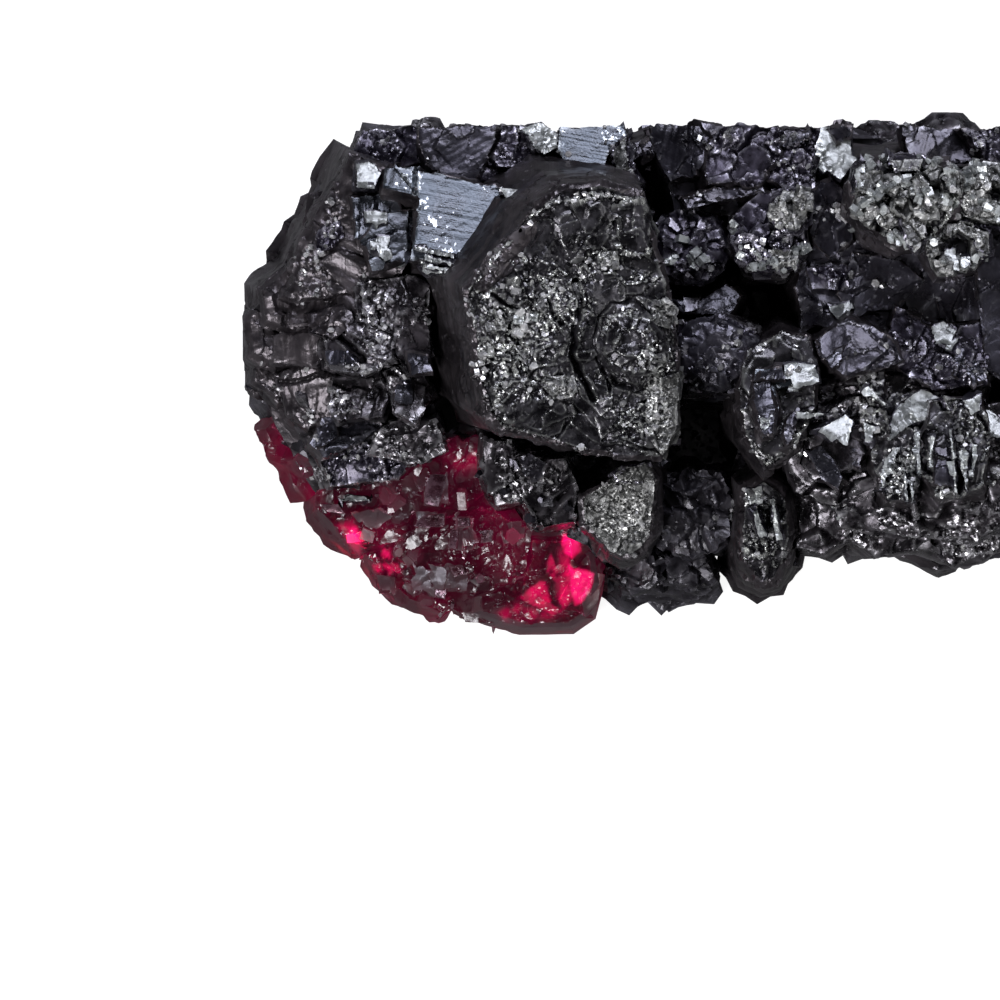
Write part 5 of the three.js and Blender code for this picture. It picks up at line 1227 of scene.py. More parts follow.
def outline_middle() -> Point:
    """Mean of the outline's points."""
    xs, ys = zip(*OUTLINE)
    return sum(xs) / len(xs), sum(ys) / len(ys)


def core_shell() -> Shell:
    """Shell of the solid mass under the crystals."""
    middle_x, middle_y = outline_middle()
    rings = []
    for number, level in enumerate(CORE_LEVELS):
        ring = []
        for index, (x, y) in enumerate(OUTLINE):
            reach = math.hypot(x - middle_x, y - middle_y)
            scale = (reach - level.inset + math.sin(index * 2.4 + number * 1.7) * level.crag) / reach
            ring.append(model_point(middle_x + (x - middle_x) * scale, middle_y + (y - middle_y) * scale,
                                    level.height))
        rings.append(np.array(ring))
    return shell_through(rings, (18, 14, 9, 0))


def flank_struts() -> list[Strut]:
    """Crystals round the back and right flanks, which point out and up from the mass."""
    middle_x, middle_y = outline_middle()
    made = []
    for number, tier in enumerate(FLANK_TIERS):
        picked = [point for index, point in enumerate(OUTLINE)
                  if index >= FLANK_FIRST and (index + number) % FLANK_STEP == 0]
        for index, (x, y) in enumerate(picked):
            reach = math.hypot(x - middle_x, y - middle_y)
            out_x, out_y = (x - middle_x) / reach, (y - middle_y) / reach
            size = FLANK_SIZES[(index + number) % len(FLANK_SIZES)]
            tip = (x - out_x * tier.inset, y - out_y * tier.inset, tier.tip * size)
            foot = (x - out_x * tier.length, y - out_y * tier.length, max(tier.tip * size - tier.rise, FOOT))
            made.append(Strut(foot, tip, tier.radius * size, turn=0.4 + index))
    return made


def column_shell(face: Sequence[Point], low: float, high: float) -> Shell:
    """Upright column over an outline of the plan."""
    def ring(height: float) -> np.ndarray:
        """The outline at a height."""
        return np.array([model_point(x, y, height) for x, y in anticlockwise(face)])

    return shell_through([ring(low), ring(high)], (high - low, 0))


# ---------------------------------------------------------------- joining

@dataclass
class Part:
    """A shell with the looks of its face and of its sides."""

    shell: Shell
    face: Look
    side: Look


LOOKS = list(Look)


def working_object(part: Part, materials: dict[Look, bpy.types.Material]) -> bpy.types.Object:
    """Object of a shell for joining, with every finish in the same slots."""
    mesh = bpy.data.meshes.new("working")
    mesh.from_pydata(part.shell.points.tolist(), [], part.shell.triangles.tolist())
    for look in LOOKS:
        mesh.materials.append(materials[look])
    tops = np.array([kind == "top" for kind in part.shell.kinds])[part.shell.sides]
    numbers = np.where(tops, LOOKS.index(part.face), LOOKS.index(part.side)).astype(np.int32)
    mesh.polygons.foreach_set("material_index", numbers)
    return bpy.data.objects.new("working", mesh)


def mesh_arrays(mesh: bpy.types.Mesh) -> tuple[np.ndarray, np.ndarray, np.ndarray]:
    """Points, triangles and look numbers of a mesh."""
    mesh.calc_loop_triangles()
    points = np.empty(len(mesh.vertices) * 3)
    mesh.vertices.foreach_get("co", points)
    triangles = np.empty(len(mesh.loop_triangles) * 3, dtype=np.int32)
    mesh.loop_triangles.foreach_get("vertices", triangles)
    owner = np.empty(len(mesh.loop_triangles), dtype=np.int32)
    mesh.loop_triangles.foreach_get("polygon_index", owner)
    numbers = np.empty(len(mesh.polygons), dtype=np.int32)
    mesh.polygons.foreach_get("material_index", numbers)
    return points.reshape(-1, 3), triangles.reshape(-1, 3), numbers[owner]


class Joiner:
    """Joins and cuts shells into one closed mesh."""

    def __init__(self, materials: dict[Look, bpy.types.Material]) -> None:
        """Keeps the finishes that the meshes carry."""
        self.materials = materials

    def combined(self, first: bpy.types.Object, others: Iterable[bpy.types.Object], operation: str) -> bpy.types.Object:
        """Joins objects with the first, or cuts them from it.

        Args:
            first: Object that is kept and changed.
            others: Objects that are used up.
            operation: "UNION", "DIFFERENCE" or "INTERSECT".

        Returns:
            The first object, with its new mesh.
        """
        others = list(others)
        if not others:
            return first
        group = bpy.data.collections.new("working")
        scene = bpy.context.scene.collection
        scene.children.link(group)
        scene.objects.link(first)
        for other in others:
            group.objects.link(other)
        modifier = first.modifiers.new("join", "BOOLEAN")
        modifier.operation = operation
        modifier.operand_type = "COLLECTION"
        modifier.collection = group
        modifier.solver = "MANIFOLD"
        graph = bpy.context.evaluated_depsgraph_get()
        mesh = bpy.data.meshes.new_from_object(first.evaluated_get(graph))
        first.modifiers.clear()
        scene.objects.unlink(first)
        old = [first.data, *(other.data for other in others)]
        first.data = mesh
        for other in others:
            bpy.data.objects.remove(other)
        bpy.data.collections.remove(group)
        for unused in old:
            bpy.data.meshes.remove(unused)
        return first

    def union(self, parts: Sequence[Part]) -> bpy.types.Object:
        """One object of all the parts."""
        made = [working_object(part, self.materials) for part in parts]
        return self.combined(made[0], made[1:], "UNION")


def largest_islands(count: int, triangles: np.ndarray, least: int) -> np.ndarray:
    """Marks the triangles that belong to islands of at least so many triangles."""
    label = np.arange(count)
    while True:
        lowest = label[triangles].min(axis=1)
        new = label.copy()
        for corner in range(3):
            np.minimum.at(new, triangles[:, corner], lowest)
        new = new[new]
        if (new == label).all():
            break
        label = new
    owner = label[triangles[:, 0]]
    number = np.bincount(owner, minlength=count)
    return number[owner] >= least


def crest_of(points: np.ndarray, triangles: np.ndarray) -> np.ndarray:
    """How far each point stands up from its neighbours: 0.5 on a flat surface, up to 1 on a crest."""
    pairs = np.unique(np.sort(triangles[:, [[0, 1], [1, 2], [2, 0]]].reshape(-1, 2), axis=1), axis=0)
    both = np.vstack([pairs, pairs[:, ::-1]])
    number = np.maximum(np.bincount(both[:, 0], minlength=len(points)), 1)

    def neighbours(values: np.ndarray) -> np.ndarray:
        """Mean of the values next to each point."""
        return np.bincount(both[:, 0], weights=values[both[:, 1]], minlength=len(points)) / number

    corners = points[triangles]
    facing = np.cross(corners[:, 1] - corners[:, 0], corners[:, 2] - corners[:, 0])
    normals = np.stack([np.bincount(triangles.ravel(), weights=np.repeat(facing[:, axis], 3),
                                    minlength=len(points)) for axis in range(3)], axis=1)
    normals /= np.maximum(np.linalg.norm(normals, axis=1), 1e-12)[:, None]
    away = points - np.stack([neighbours(points[:, axis]) for axis in range(3)], axis=1)
    bend = (away * normals).sum(axis=1)
    length = np.linalg.norm(points[both[:, 0]] - points[both[:, 1]], axis=1)
    bend /= np.maximum(np.bincount(both[:, 0], weights=length, minlength=len(points)) / number, 1e-6)
    for _ in range(2):
        bend = (bend + neighbours(bend)) / 2
    return np.clip(0.5 + 2.2 * bend, 0, 1)


class Dresser:
    """Turns joined shells into finished pieces of the specimen."""

    def __init__(self, materials: dict[Look, bpy.types.Material], box: tuple[Vector, Vector]) -> None:
        """Keeps the finishes and the box that the pieces stay inside."""
        self.materials = materials
        self.low = np.array(box[0]) + (SKIN, SKIN, 0)
        self.high = np.array(box[1]) - SKIN

    def piece(self, name: str, working: bpy.types.Object, slot: str, sharp: float = 32.0) -> bpy.types.Object:
        """Makes a piece of a joined object, gives it its body and hides the imported part that it stands for.

        Args:
            name: Name of the piece.
            working: The joined object, in squares, which is used up.
            slot: Material slot of the record; not used.
            sharp: Smallest angle of an edge that stays sharp, in degrees.

        Returns:
            The piece's object, in metres.
        """
        points, triangles, numbers = mesh_arrays(working.data)
        kept = largest_islands(len(points), triangles, 200)
        triangles, numbers = triangles[kept], numbers[kept]
        used, where = np.unique(triangles, return_inverse=True)
        points, triangles = points[used], where.reshape(-1, 3)
        values = {"crest": crest_of(points, triangles), "sparkle": sparkle_of(points)}
        points = np.clip(points * SQUARE, self.low, self.high)
        looks = np.unique(numbers)
        mesh = bpy.data.meshes.new(name)
        mesh.from_pydata(points.tolist(), [], triangles.tolist())
        for look in looks:
            mesh.materials.append(self.materials[LOOKS[look]])
        mesh.polygons.foreach_set("material_index", np.searchsorted(looks, numbers).astype(np.int32))
        for label, value in values.items():
            mesh.attributes.new(label, "FLOAT", "POINT").data.foreach_set("value", value.astype(np.float32))
        mesh.shade_smooth()
        mesh.set_sharp_from_angle(angle=math.radians(sharp))
        old = working.data
        bpy.data.objects.remove(working)
        bpy.data.meshes.remove(old)
        made = bpy.data.objects.new(name, mesh)
        bpy.context.scene.collection.objects.link(made)
        log.info("%s: %d triangles", name, len(triangles))
        return self.attached(made)

    def attached(self, piece: bpy.types.Object) -> bpy.types.Object:
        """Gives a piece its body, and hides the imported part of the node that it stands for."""
        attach(piece, "root")
        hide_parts(NODE)
        return piece

# ---------------------------------------------------------------- finishes

Colour = tuple[float, float, float]
Wire = bpy.types.NodeSocket


def rgba(colour: Colour) -> tuple[float, float, float, float]:
    """The colour with full cover."""
    return (*colour, 1.0)


class Sheet:
    """A node tree that is being laid out."""

    def __init__(self, tree: bpy.types.NodeTree) -> None:
        """Starts on a tree."""
        self.tree = tree

    def add(self, kind: str, wires: dict[str | int, object], **settings: object) -> bpy.types.Node:
        """Adds a node.

        Args:
            kind: Its type.
            wires: A value or another node's output for each of its inputs.
            settings: Its own settings.

        Returns:
            The node.
        """
        made = self.tree.nodes.new(kind)
        for name, value in settings.items():
            setattr(made, name, value)
        for name, value in wires.items():
            if isinstance(value, Wire):
                self.tree.links.new(value, made.inputs[name])
            else:
                made.inputs[name].default_value = value
        return made

    def math(self, operation: str, first: object, second: object = 0.0, clamp: bool = False) -> Wire:
        """Output of a Math node."""
        return self.add("ShaderNodeMath", {0: first, 1: second}, operation=operation, use_clamp=clamp).outputs[0]

    def mix(self, part: object, first: object, second: object) -> Wire:
        """Mix of two colours."""
        made = self.add("ShaderNodeMix", {}, data_type="RGBA")
        for index, value in ((0, part), (6, first), (7, second)):
            if isinstance(value, Wire):
                self.tree.links.new(value, made.inputs[index])
            else:
                made.inputs[index].default_value = value
        return made.outputs[2]

    def ramp(self, value: Wire, low: object, high: object) -> Wire:
        """Value from 0 at low to 1 at high."""
        made = self.add("ShaderNodeMapRange", {"Value": value, "From Min": low, "From Max": high}, clamp=True)
        return made.outputs[0]


def new_group(name: str, inputs: dict[str, object], outputs: dict[str, str]) -> tuple[Sheet, dict, bpy.types.Node]:
    """Starts a shader node group.

    Args:
        name: Name of the group.
        inputs: Default of each input.
        outputs: Kind of each output.

    Returns:
        Its sheet, its inputs by name, and its output node.
    """
    tree = bpy.data.node_groups.new(name, "ShaderNodeTree")
    for label, value in inputs.items():
        kind = "NodeSocketColor" if isinstance(value, tuple) else "NodeSocketFloat"
        made = tree.interface.new_socket(label, in_out="INPUT", socket_type=kind)
        made.default_value = value
    for label, kind in outputs.items():
        tree.interface.new_socket(label, in_out="OUTPUT", socket_type=f"NodeSocket{kind}")
    start, end = tree.nodes.new("NodeGroupInput"), tree.nodes.new("NodeGroupOutput")
    return Sheet(tree), {socket.name: socket for socket in start.outputs if socket.name}, end


def tone_and_painted_light_group() -> bpy.types.NodeTree:
    """Group that gives the mottled tone of a crystal face, with a painted highlight on its crests, painted shade in its
    hollows, and pale patches where it sparkles, which are partly the grain's own colour and partly painted glints.
    """
    sheet, given, end = new_group(
        "crystal_tone_and_painted_light",
        {"Dark": rgba((0.03, 0.03, 0.03)), "Mid": rgba((0.1, 0.1, 0.1)), "Pale": rgba((0.5, 0.5, 0.5)),
         "Size": 0.001, "Pale share": 0.2, "Crest highlight share": 0.5},
        {"Color": "Color", "Pale": "Float", "Mottle": "Float"})
    place = sheet.add("ShaderNodeTexCoord", {}).outputs["Object"]
    crest = sheet.add("ShaderNodeAttribute", {}, attribute_name="crest").outputs["Fac"]
    sparkle = sheet.add("ShaderNodeAttribute", {}, attribute_name="sparkle").outputs["Fac"]
    scale = sheet.math("DIVIDE", 1.0, given["Size"])
    broad = sheet.add("ShaderNodeTexNoise", {"Vector": place, "Scale": scale, "Detail": 3.0, "Roughness": 0.6})
    finer = sheet.add("ShaderNodeTexNoise", {"Vector": place, "Scale": sheet.math("MULTIPLY", scale, 3.6),
                                             "Detail": 3.0, "Roughness": 0.65})
    mottle = sheet.ramp(broad.outputs[0], 0.4, 0.62)
    bare = sheet.mix(mottle, given["Dark"], given["Mid"])
    # pale patches, more of them where the surface sparkles: partly the grain's own pale colour, partly painted glints
    edge = sheet.math("SUBTRACT", 0.68, sheet.math("MULTIPLY", sheet.math("MULTIPLY", sparkle, given["Pale share"]), 0.2))
    patch = sheet.ramp(finer.outputs[0], edge, sheet.math("ADD", edge, 0.07))
    # painted highlight: crests are paler, the more so where the surface sparkles
    high = sheet.math("MULTIPLY", sheet.ramp(crest, 0.56, 0.84), given["Crest highlight share"])
    shown = sheet.math("MULTIPLY_ADD", sparkle, 0.7)
    shown.node.inputs[2].default_value = 0.3
    pale = sheet.math("MAXIMUM", sheet.math("MULTIPLY", high, shown), patch)
    # painted shade: hollows, where the crest value is low, go towards the dark tone
    hollow = sheet.ramp(crest, 0.15, 0.42)
    colour = sheet.mix(sheet.math("MULTIPLY", pale, hollow), bare, given["Pale"])
    colour_with_painted_shade = sheet.mix(hollow, given["Dark"], colour)
    sheet.tree.links.new(colour_with_painted_shade, end.inputs["Color"])
    sheet.tree.links.new(pale, end.inputs["Pale"])
    sheet.tree.links.new(mottle, end.inputs["Mottle"])
    return sheet.tree


def glitter_group() -> bpy.types.NodeTree:
    """Group that tilts the surface in small flakes where it sparkles, so that some of them flash."""
    sheet, given, end = new_group("flake_glitter", {"Size": 0.0003, "Tilt": 0.3, "Share": 0.4}, {"Normal": "Vector"})
    place = sheet.add("ShaderNodeTexCoord", {}).outputs["Object"]
    sparkle = sheet.add("ShaderNodeAttribute", {}, attribute_name="sparkle").outputs["Fac"]
    normal = sheet.add("ShaderNodeNewGeometry", {}).outputs["Normal"]
    scale = sheet.math("DIVIDE", 1.0, given["Size"])
    cells = sheet.add("ShaderNodeTexVoronoi", {"Vector": place, "Scale": scale}, feature="F1").outputs["Color"]
    turn = sheet.add("ShaderNodeVectorMath", {0: cells, 1: (0.5, 0.5, 0.5)}, operation="SUBTRACT").outputs[0]
    chance = sheet.add("ShaderNodeSeparateColor", {0: cells}).outputs[2]
    chosen = sheet.math("LESS_THAN", chance, sheet.math("MULTIPLY", given["Share"], sparkle))
    amount = sheet.math("MULTIPLY", chosen, given["Tilt"])
    push = sheet.add("ShaderNodeVectorMath", {0: turn, "Scale": amount}, operation="SCALE").outputs[0]
    moved = sheet.add("ShaderNodeVectorMath", {0: normal, 1: push}, operation="ADD").outputs[0]
    made = sheet.add("ShaderNodeVectorMath", {0: moved}, operation="NORMALIZE").outputs[0]
    sheet.tree.links.new(made, end.inputs["Normal"])
    return sheet.tree


def grain_group() -> bpy.types.NodeTree:
    """Group that gives the height of fine grain and of straight striations."""
    sheet, given, end = new_group(
        "grain_and_striation",
        {"Grain size": 0.0002, "Grain": 1.0, "Rib size": 0.0004, "Rib": 0.0, "Rib turn": 0.0},
        {"Height": "Float"})
    place = sheet.add("ShaderNodeTexCoord", {}).outputs["Object"]
    fine = sheet.add("ShaderNodeTexNoise", {"Vector": place, "Scale": sheet.math("DIVIDE", 1.0, given["Grain size"]),
                                            "Detail": 2.0, "Roughness": 0.65}).outputs[0]
    axis = sheet.add("ShaderNodeCombineXYZ", {2: given["Rib turn"]}).outputs[0]
    turned = sheet.add("ShaderNodeVectorRotate", {"Vector": place, "Rotation": axis},
                       rotation_type="EULER_XYZ").outputs[0]
    drawn = sheet.add("ShaderNodeVectorMath", {0: turned, 1: (1.0, 0.03, 0.03)}, operation="MULTIPLY").outputs[0]
    ribs = sheet.add("ShaderNodeTexNoise", {"Vector": drawn, "Scale": sheet.math("DIVIDE", 1.0, given["Rib size"]),
                                            "Detail": 2.0, "Roughness": 0.6}).outputs[0]
    total = sheet.math("ADD", sheet.math("MULTIPLY", fine, given["Grain"]), sheet.math("MULTIPLY", ribs, given["Rib"]))
    sheet.tree.links.new(total, end.inputs["Height"])
    return sheet.tree


@dataclass(frozen=True)
class CrystalFinish:
    """Finish of an opaque crystal face: tones with painted highlights on crests and painted shade in hollows, gloss,
    glitter, grain and striation; sizes in metres.
    """

    dark: Colour = (0.022, 0.018, 0.027)
    mid: Colour = (0.085, 0.075, 0.1)
    pale: Colour = (0.5, 0.5, 0.5)
    metallic: float = 0.7
    ior: float = 1.9
    gloss: Point = (0.22, 0.38)
    mottle: float = 0.0012
    pale_share: float = 0.9
    crest_highlight_share: float = 0.7
    flake: float = 0.00028
    flake_tilt: float = 0.65
    flake_share: float = 0.8
    grain_size: float = 0.00018
    grain: float = 0.35
    rib_size: float = 0.0004
    rib: float = 0.0
    rib_turn: float = 0.0
    bump: float = 0.00005

    def material(self, name: str, groups: dict[str, bpy.types.NodeTree]) -> bpy.types.Material:
        """Makes the finish.

        Args:
            name: Name of the material.
            groups: The shared groups, by name.

        Returns:
            The material.
        """
        made = bpy.data.materials.new(name)
        made.use_nodes = True
        sheet = Sheet(made.node_tree)
        shader = made.node_tree.nodes["Principled BSDF"]
        tone = sheet.add("ShaderNodeGroup", {}, node_tree=groups["tone"])
        for label, value in (("Dark", rgba(self.dark)), ("Mid", rgba(self.mid)), ("Pale", rgba(self.pale)),
                             ("Size", self.mottle), ("Pale share", self.pale_share),
                             ("Crest highlight share", self.crest_highlight_share)):
            tone.inputs[label].default_value = value
        flakes = sheet.add("ShaderNodeGroup", {}, node_tree=groups["glitter"])
        for label, value in (("Size", self.flake), ("Tilt", self.flake_tilt), ("Share", self.flake_share)):
            flakes.inputs[label].default_value = value
        grain = sheet.add("ShaderNodeGroup", {}, node_tree=groups["grain"])
        for label, value in (("Grain size", self.grain_size), ("Grain", self.grain), ("Rib size", self.rib_size),
                             ("Rib", self.rib), ("Rib turn", self.rib_turn)):
            grain.inputs[label].default_value = value
        bump = sheet.add("ShaderNodeBump", {"Strength": 1.0, "Distance": self.bump, "Height": grain.outputs[0],
                                            "Normal": flakes.outputs[0]})
        rough = sheet.add("ShaderNodeMapRange", {"Value": tone.outputs["Mottle"], "To Min": self.gloss[0],
                                                 "To Max": self.gloss[1]}).outputs[0]
        for label, value in (("Base Color", tone.outputs["Color"]), ("Roughness", rough), ("Normal", bump.outputs[0])):
            made.node_tree.links.new(value, shader.inputs[label])
        shader.inputs["Metallic"].default_value = self.metallic
        shader.inputs["IOR"].default_value = self.ior
        return made


@dataclass(frozen=True)
class RubyFinish:
    """Finish of the see-through ruby crystals, with a painted glow in their emission for the light that comes through
    them.
    """

    body: Colour = (0.43, 0.07, 0.17)
    depth_colour: Colour = (0.47, 0.04, 0.14)
    density: float = 360.0
    ior: float = 1.8
    rough: float = 0.3
    glow: tuple[Colour, ...] = ((0.012, 0.001, 0.004), (0.08, 0.001, 0.014), (0.5, 0.004, 0.06), (0.95, 0.006, 0.15))
    bump: float = 0.00003
    grain_size: float = 0.0003
    flake_tilt: float = 0.2

    def material(self, name: str, groups: dict[str, bpy.types.NodeTree]) -> bpy.types.Material:
        """Makes the finish.

        Args:
            name: Name of the material.
            groups: The shared groups, by name.

        Returns:
            The material.
        """
        made = bpy.data.materials.new(name)
        made.use_nodes = True
        sheet = Sheet(made.node_tree)
        shader = made.node_tree.nodes["Principled BSDF"]
        shader.inputs["Base Color"].default_value = rgba(self.body)
        shader.inputs["Transmission Weight"].default_value = 1.0
        shader.inputs["IOR"].default_value = self.ior
        shader.inputs["Roughness"].default_value = self.rough
        shader.inputs["Emission Strength"].default_value = 1.0
        flakes = sheet.add("ShaderNodeGroup", {"Size": 0.0006, "Tilt": self.flake_tilt, "Share": 0.6},
                           node_tree=groups["glitter"])
        grain = sheet.add("ShaderNodeGroup", {"Grain size": self.grain_size, "Grain": 0.6}, node_tree=groups["grain"])
        bump = sheet.add("ShaderNodeBump", {"Strength": 1.0, "Distance": self.bump, "Height": grain.outputs[0],
                                            "Normal": flakes.outputs[0]})
        sheet.tree.links.new(bump.outputs[0], shader.inputs["Normal"])
        # painted glow: the glow attribute sets an emission colour that stands in for light shining through the ruby
        spot = sheet.add("ShaderNodeAttribute", {}, attribute_name="glow").outputs["Fac"]
        light = sheet.add("ShaderNodeValToRGB", {0: spot})
        light.color_ramp.elements.new(0.16)
        light.color_ramp.elements.new(0.5)
        for element, colour in zip(light.color_ramp.elements, self.glow):
            element.color = rgba(colour)
        sheet.tree.links.new(light.outputs[0], shader.inputs["Emission Color"])
        volume = sheet.add("ShaderNodeVolumeAbsorption", {"Color": rgba(self.depth_colour), "Density": self.density})
        output = made.node_tree.nodes["Material Output"]
        sheet.tree.links.new(volume.outputs[0], output.inputs["Volume"])
        return made


FINISHES: dict[Look, CrystalFinish | RubyFinish] = {
    Look.TERRACED: CrystalFinish(dark=(0.013, 0.012, 0.015), mid=(0.06, 0.057, 0.066), pale=(0.86, 0.88, 0.84)),
    Look.STEPPED: CrystalFinish(dark=(0.02, 0.017, 0.021), mid=(0.1, 0.09, 0.102), pale=(0.8, 0.79, 0.82)),
    Look.SPECKLED: CrystalFinish(dark=(0.014, 0.011, 0.021), mid=(0.046, 0.04, 0.062), pale=(0.76, 0.74, 0.84)),
    Look.GLITTER: CrystalFinish(dark=(0.016, 0.013, 0.022), mid=(0.054, 0.047, 0.072), pale=(0.84, 0.82, 0.92)),
    Look.SATIN: CrystalFinish(dark=(0.021, 0.019, 0.027), mid=(0.058, 0.055, 0.074), pale=(0.4, 0.4, 0.44),
                              pale_share=0.5, crest_highlight_share=0.5, flake_tilt=0.25, gloss=(0.26, 0.36), mottle=0.003),
    Look.MIRROR: CrystalFinish(dark=(0.03, 0.036, 0.046), mid=(0.076, 0.091, 0.112), pale=(0.7, 0.75, 0.78),
                               pale_share=0.9, crest_highlight_share=0.4, flake_tilt=0.12, grain=0.4, rib=0.9, rib_turn=1.75,
                               gloss=(0.22, 0.36), mottle=0.0022),
    Look.BLOCKY: CrystalFinish(dark=(0.03, 0.033, 0.043), mid=(0.08, 0.088, 0.106), pale=(0.36, 0.39, 0.43),
                               pale_share=0.6, crest_highlight_share=0.9, flake_tilt=0.15, rib=0.6, gloss=(0.22, 0.34)),
    Look.SILVERY: CrystalFinish(dark=(0.028, 0.028, 0.038), mid=(0.058, 0.057, 0.075), pale=(0.36, 0.36, 0.42),
                                pale_share=0.6, flake_tilt=0.15, rib=0.8, gloss=(0.24, 0.36), mottle=0.002),
    # the shards' and grains' pale colours are partly their own and partly a painted reflection of the lights that they
    # face
    Look.SHARD: CrystalFinish(dark=(0.15, 0.16, 0.16), mid=(0.44, 0.465, 0.46), pale=(0.86, 0.9, 0.88),
                              metallic=0.4, flake_tilt=0.2, gloss=(0.24, 0.4), mottle=0.0009),
    Look.GRAIN: CrystalFinish(dark=(0.1, 0.1, 0.102), mid=(0.3, 0.3, 0.302), pale=(0.95, 0.95, 0.95), flake_tilt=0.15,
                              gloss=(0.2, 0.36), mottle=0.0006, grain=0.2, metallic=0.4),
    Look.CRUST: CrystalFinish(dark=(0.025, 0.025, 0.025), mid=(0.1, 0.102, 0.098), pale=(0.8, 0.81, 0.78),
                              metallic=0.4, gloss=(0.3, 0.46), mottle=0.0006, grain=1.0),
    Look.BAND: CrystalFinish(dark=(0.034, 0.029, 0.033), mid=(0.085, 0.073, 0.08), pale=(0.3, 0.28, 0.3),
                             pale_share=0.5, crest_highlight_share=0.4, flake_tilt=0.15, rib=0.8, gloss=(0.28, 0.4),
                             mottle=0.002),
    Look.RAW: CrystalFinish(dark=(0.018, 0.016, 0.021), mid=(0.048, 0.044, 0.056), pale=(0.34, 0.33, 0.38),
                            pale_share=0.7, crest_highlight_share=0.5, metallic=0.5, gloss=(0.32, 0.5)),
    # pinkish-grey ruby facets: the pale colour is a painted reflection
    Look.ROSE: CrystalFinish(dark=(0.09, 0.025, 0.04), mid=(0.21, 0.1, 0.13), pale=(0.62, 0.47, 0.52), metallic=0.5,
                             flake_tilt=0.2, gloss=(0.2, 0.34), mottle=0.0009),
    Look.RUBY: RubyFinish(),
    Look.RUBY_FACE: RubyFinish(body=(0.48, 0.21, 0.3), rough=0.36, ior=2.1, flake_tilt=0.1,
                               glow=((0.016, 0.008, 0.011), (0.07, 0.012, 0.024), (0.5, 0.02, 0.09), (0.9, 0.03, 0.2))),
}


def finishes() -> dict[Look, bpy.types.Material]:
    """Makes the shared groups and every finish."""
    groups = {"tone": tone_and_painted_light_group(), "glitter": glitter_group(), "grain": grain_group()}
    return {look: finish.material(look.value, groups) for look, finish in FINISHES.items()}

# ---------------------------------------------------------------- pieces

RELIEFS: dict[Look, Relief] = {
    Look.TERRACED: Relief((Bed(0.32, 3.0, 0.1, 1.2), Bed(0.4, 1.3, 0.45), Bed(0.2, 0.62, 0.5)), terrace=0.9,
                          terrace_size=4.5, steps=3.5, swell=0.4, grain=0.02, wear=0.2),
    Look.STEPPED: Relief((Bed(0.8, 3.8, 0.2, 1.4), Bed(0.36, 1.25, 0.45), Bed(0.16, 0.64, 0.5)), terrace=0.8,
                         terrace_size=4, steps=3, swell=0.6, grain=0.015, wear=0.15),
    Look.SPECKLED: Relief((Bed(0.5, 3.0, 0.2), Bed(0.3, 1.1, 0.45), Bed(0.16, 0.62, 0.5)), terrace=0.5,
                          terrace_size=4, steps=3, swell=0.5, grain=0.015),
    Look.GLITTER: Relief((Bed(0.7, 2.6, 0.26), Bed(0.4, 1.2, 0.5), Bed(0.18, 0.62, 0.5)), swell=0.4, grain=0.015),
    Look.SATIN: Relief((Bed(0.24, 4.4, 0.14), Bed(0.14, 0.9, 0.4)), terrace=0.14, terrace_size=8, steps=3, rib=0.05,
                       swell=0.5, grain=0.008, wear=0.12),
    Look.MIRROR: Relief(terrace=0.04, terrace_size=8, steps=2, rib=0.012, grain=0.003, ridges=0.5),
    Look.BLOCKY: Relief((Bed(0.4, 1.7, 0.1, 1.5), Bed(0.1, 0.6, 0.4)), rib=0.02, grain=0.01, wear=0.1),
    Look.SILVERY: Relief((Bed(0.16, 2.2, 0.14, 1.6), Bed(0.14, 0.6, 0.4)), terrace=0.25, terrace_size=3, steps=3,
                         rib=0.05, swell=0.2, grain=0.012, wear=0.12),
    Look.SHARD: Relief((Bed(0.14, 1.0, 0.2), Bed(0.1, 0.5, 0.4)), grain=0.015, wear=0.12, ridges=0.4),
    Look.GRAIN: Relief((Bed(0.1, 0.7, 0.3),), grain=0.01, wear=0.08, ridges=0),
    Look.CRUST: Relief((Bed(0.26, 2.2, 0.2), Bed(0.1, 0.55, 0.5)), swell=0.4, grain=0.05, wear=0.2),
    Look.BAND: Relief((Bed(0.24, 4.0, 0.1, 2.5), Bed(0.1, 0.6, 0.5)), terrace=0.5, terrace_size=6, steps=3,
                      rib=0.08, rib_width=0.9, swell=0.6, grain=0.01, wear=0.25, ridges=0.5),
    Look.RAW: Relief((Bed(1.3, 4.0, 0.3), Bed(0.6, 1.9, 0.35), Bed(0.2, 0.8, 0.5)), terrace=0.8, terrace_size=4,
                     steps=3, swell=0.8, grain=0.03, wear=0.0),
    Look.RUBY: Relief((Bed(0.6, 2.8, 0.3), Bed(0.3, 1.5, 0.5, 1.6), Bed(0.16, 0.7, 0.6)), swell=0.4, grain=0.01,
                      wear=0.12, ridges=0.5),
    Look.RUBY_FACE: Relief((Bed(0.1, 1.1, 0.2, 1.8),), grain=0.006, wear=0.08),
    Look.ROSE: Relief((Bed(0.12, 0.8, 0.3, 1.8),), grain=0.006, wear=0.08),
}
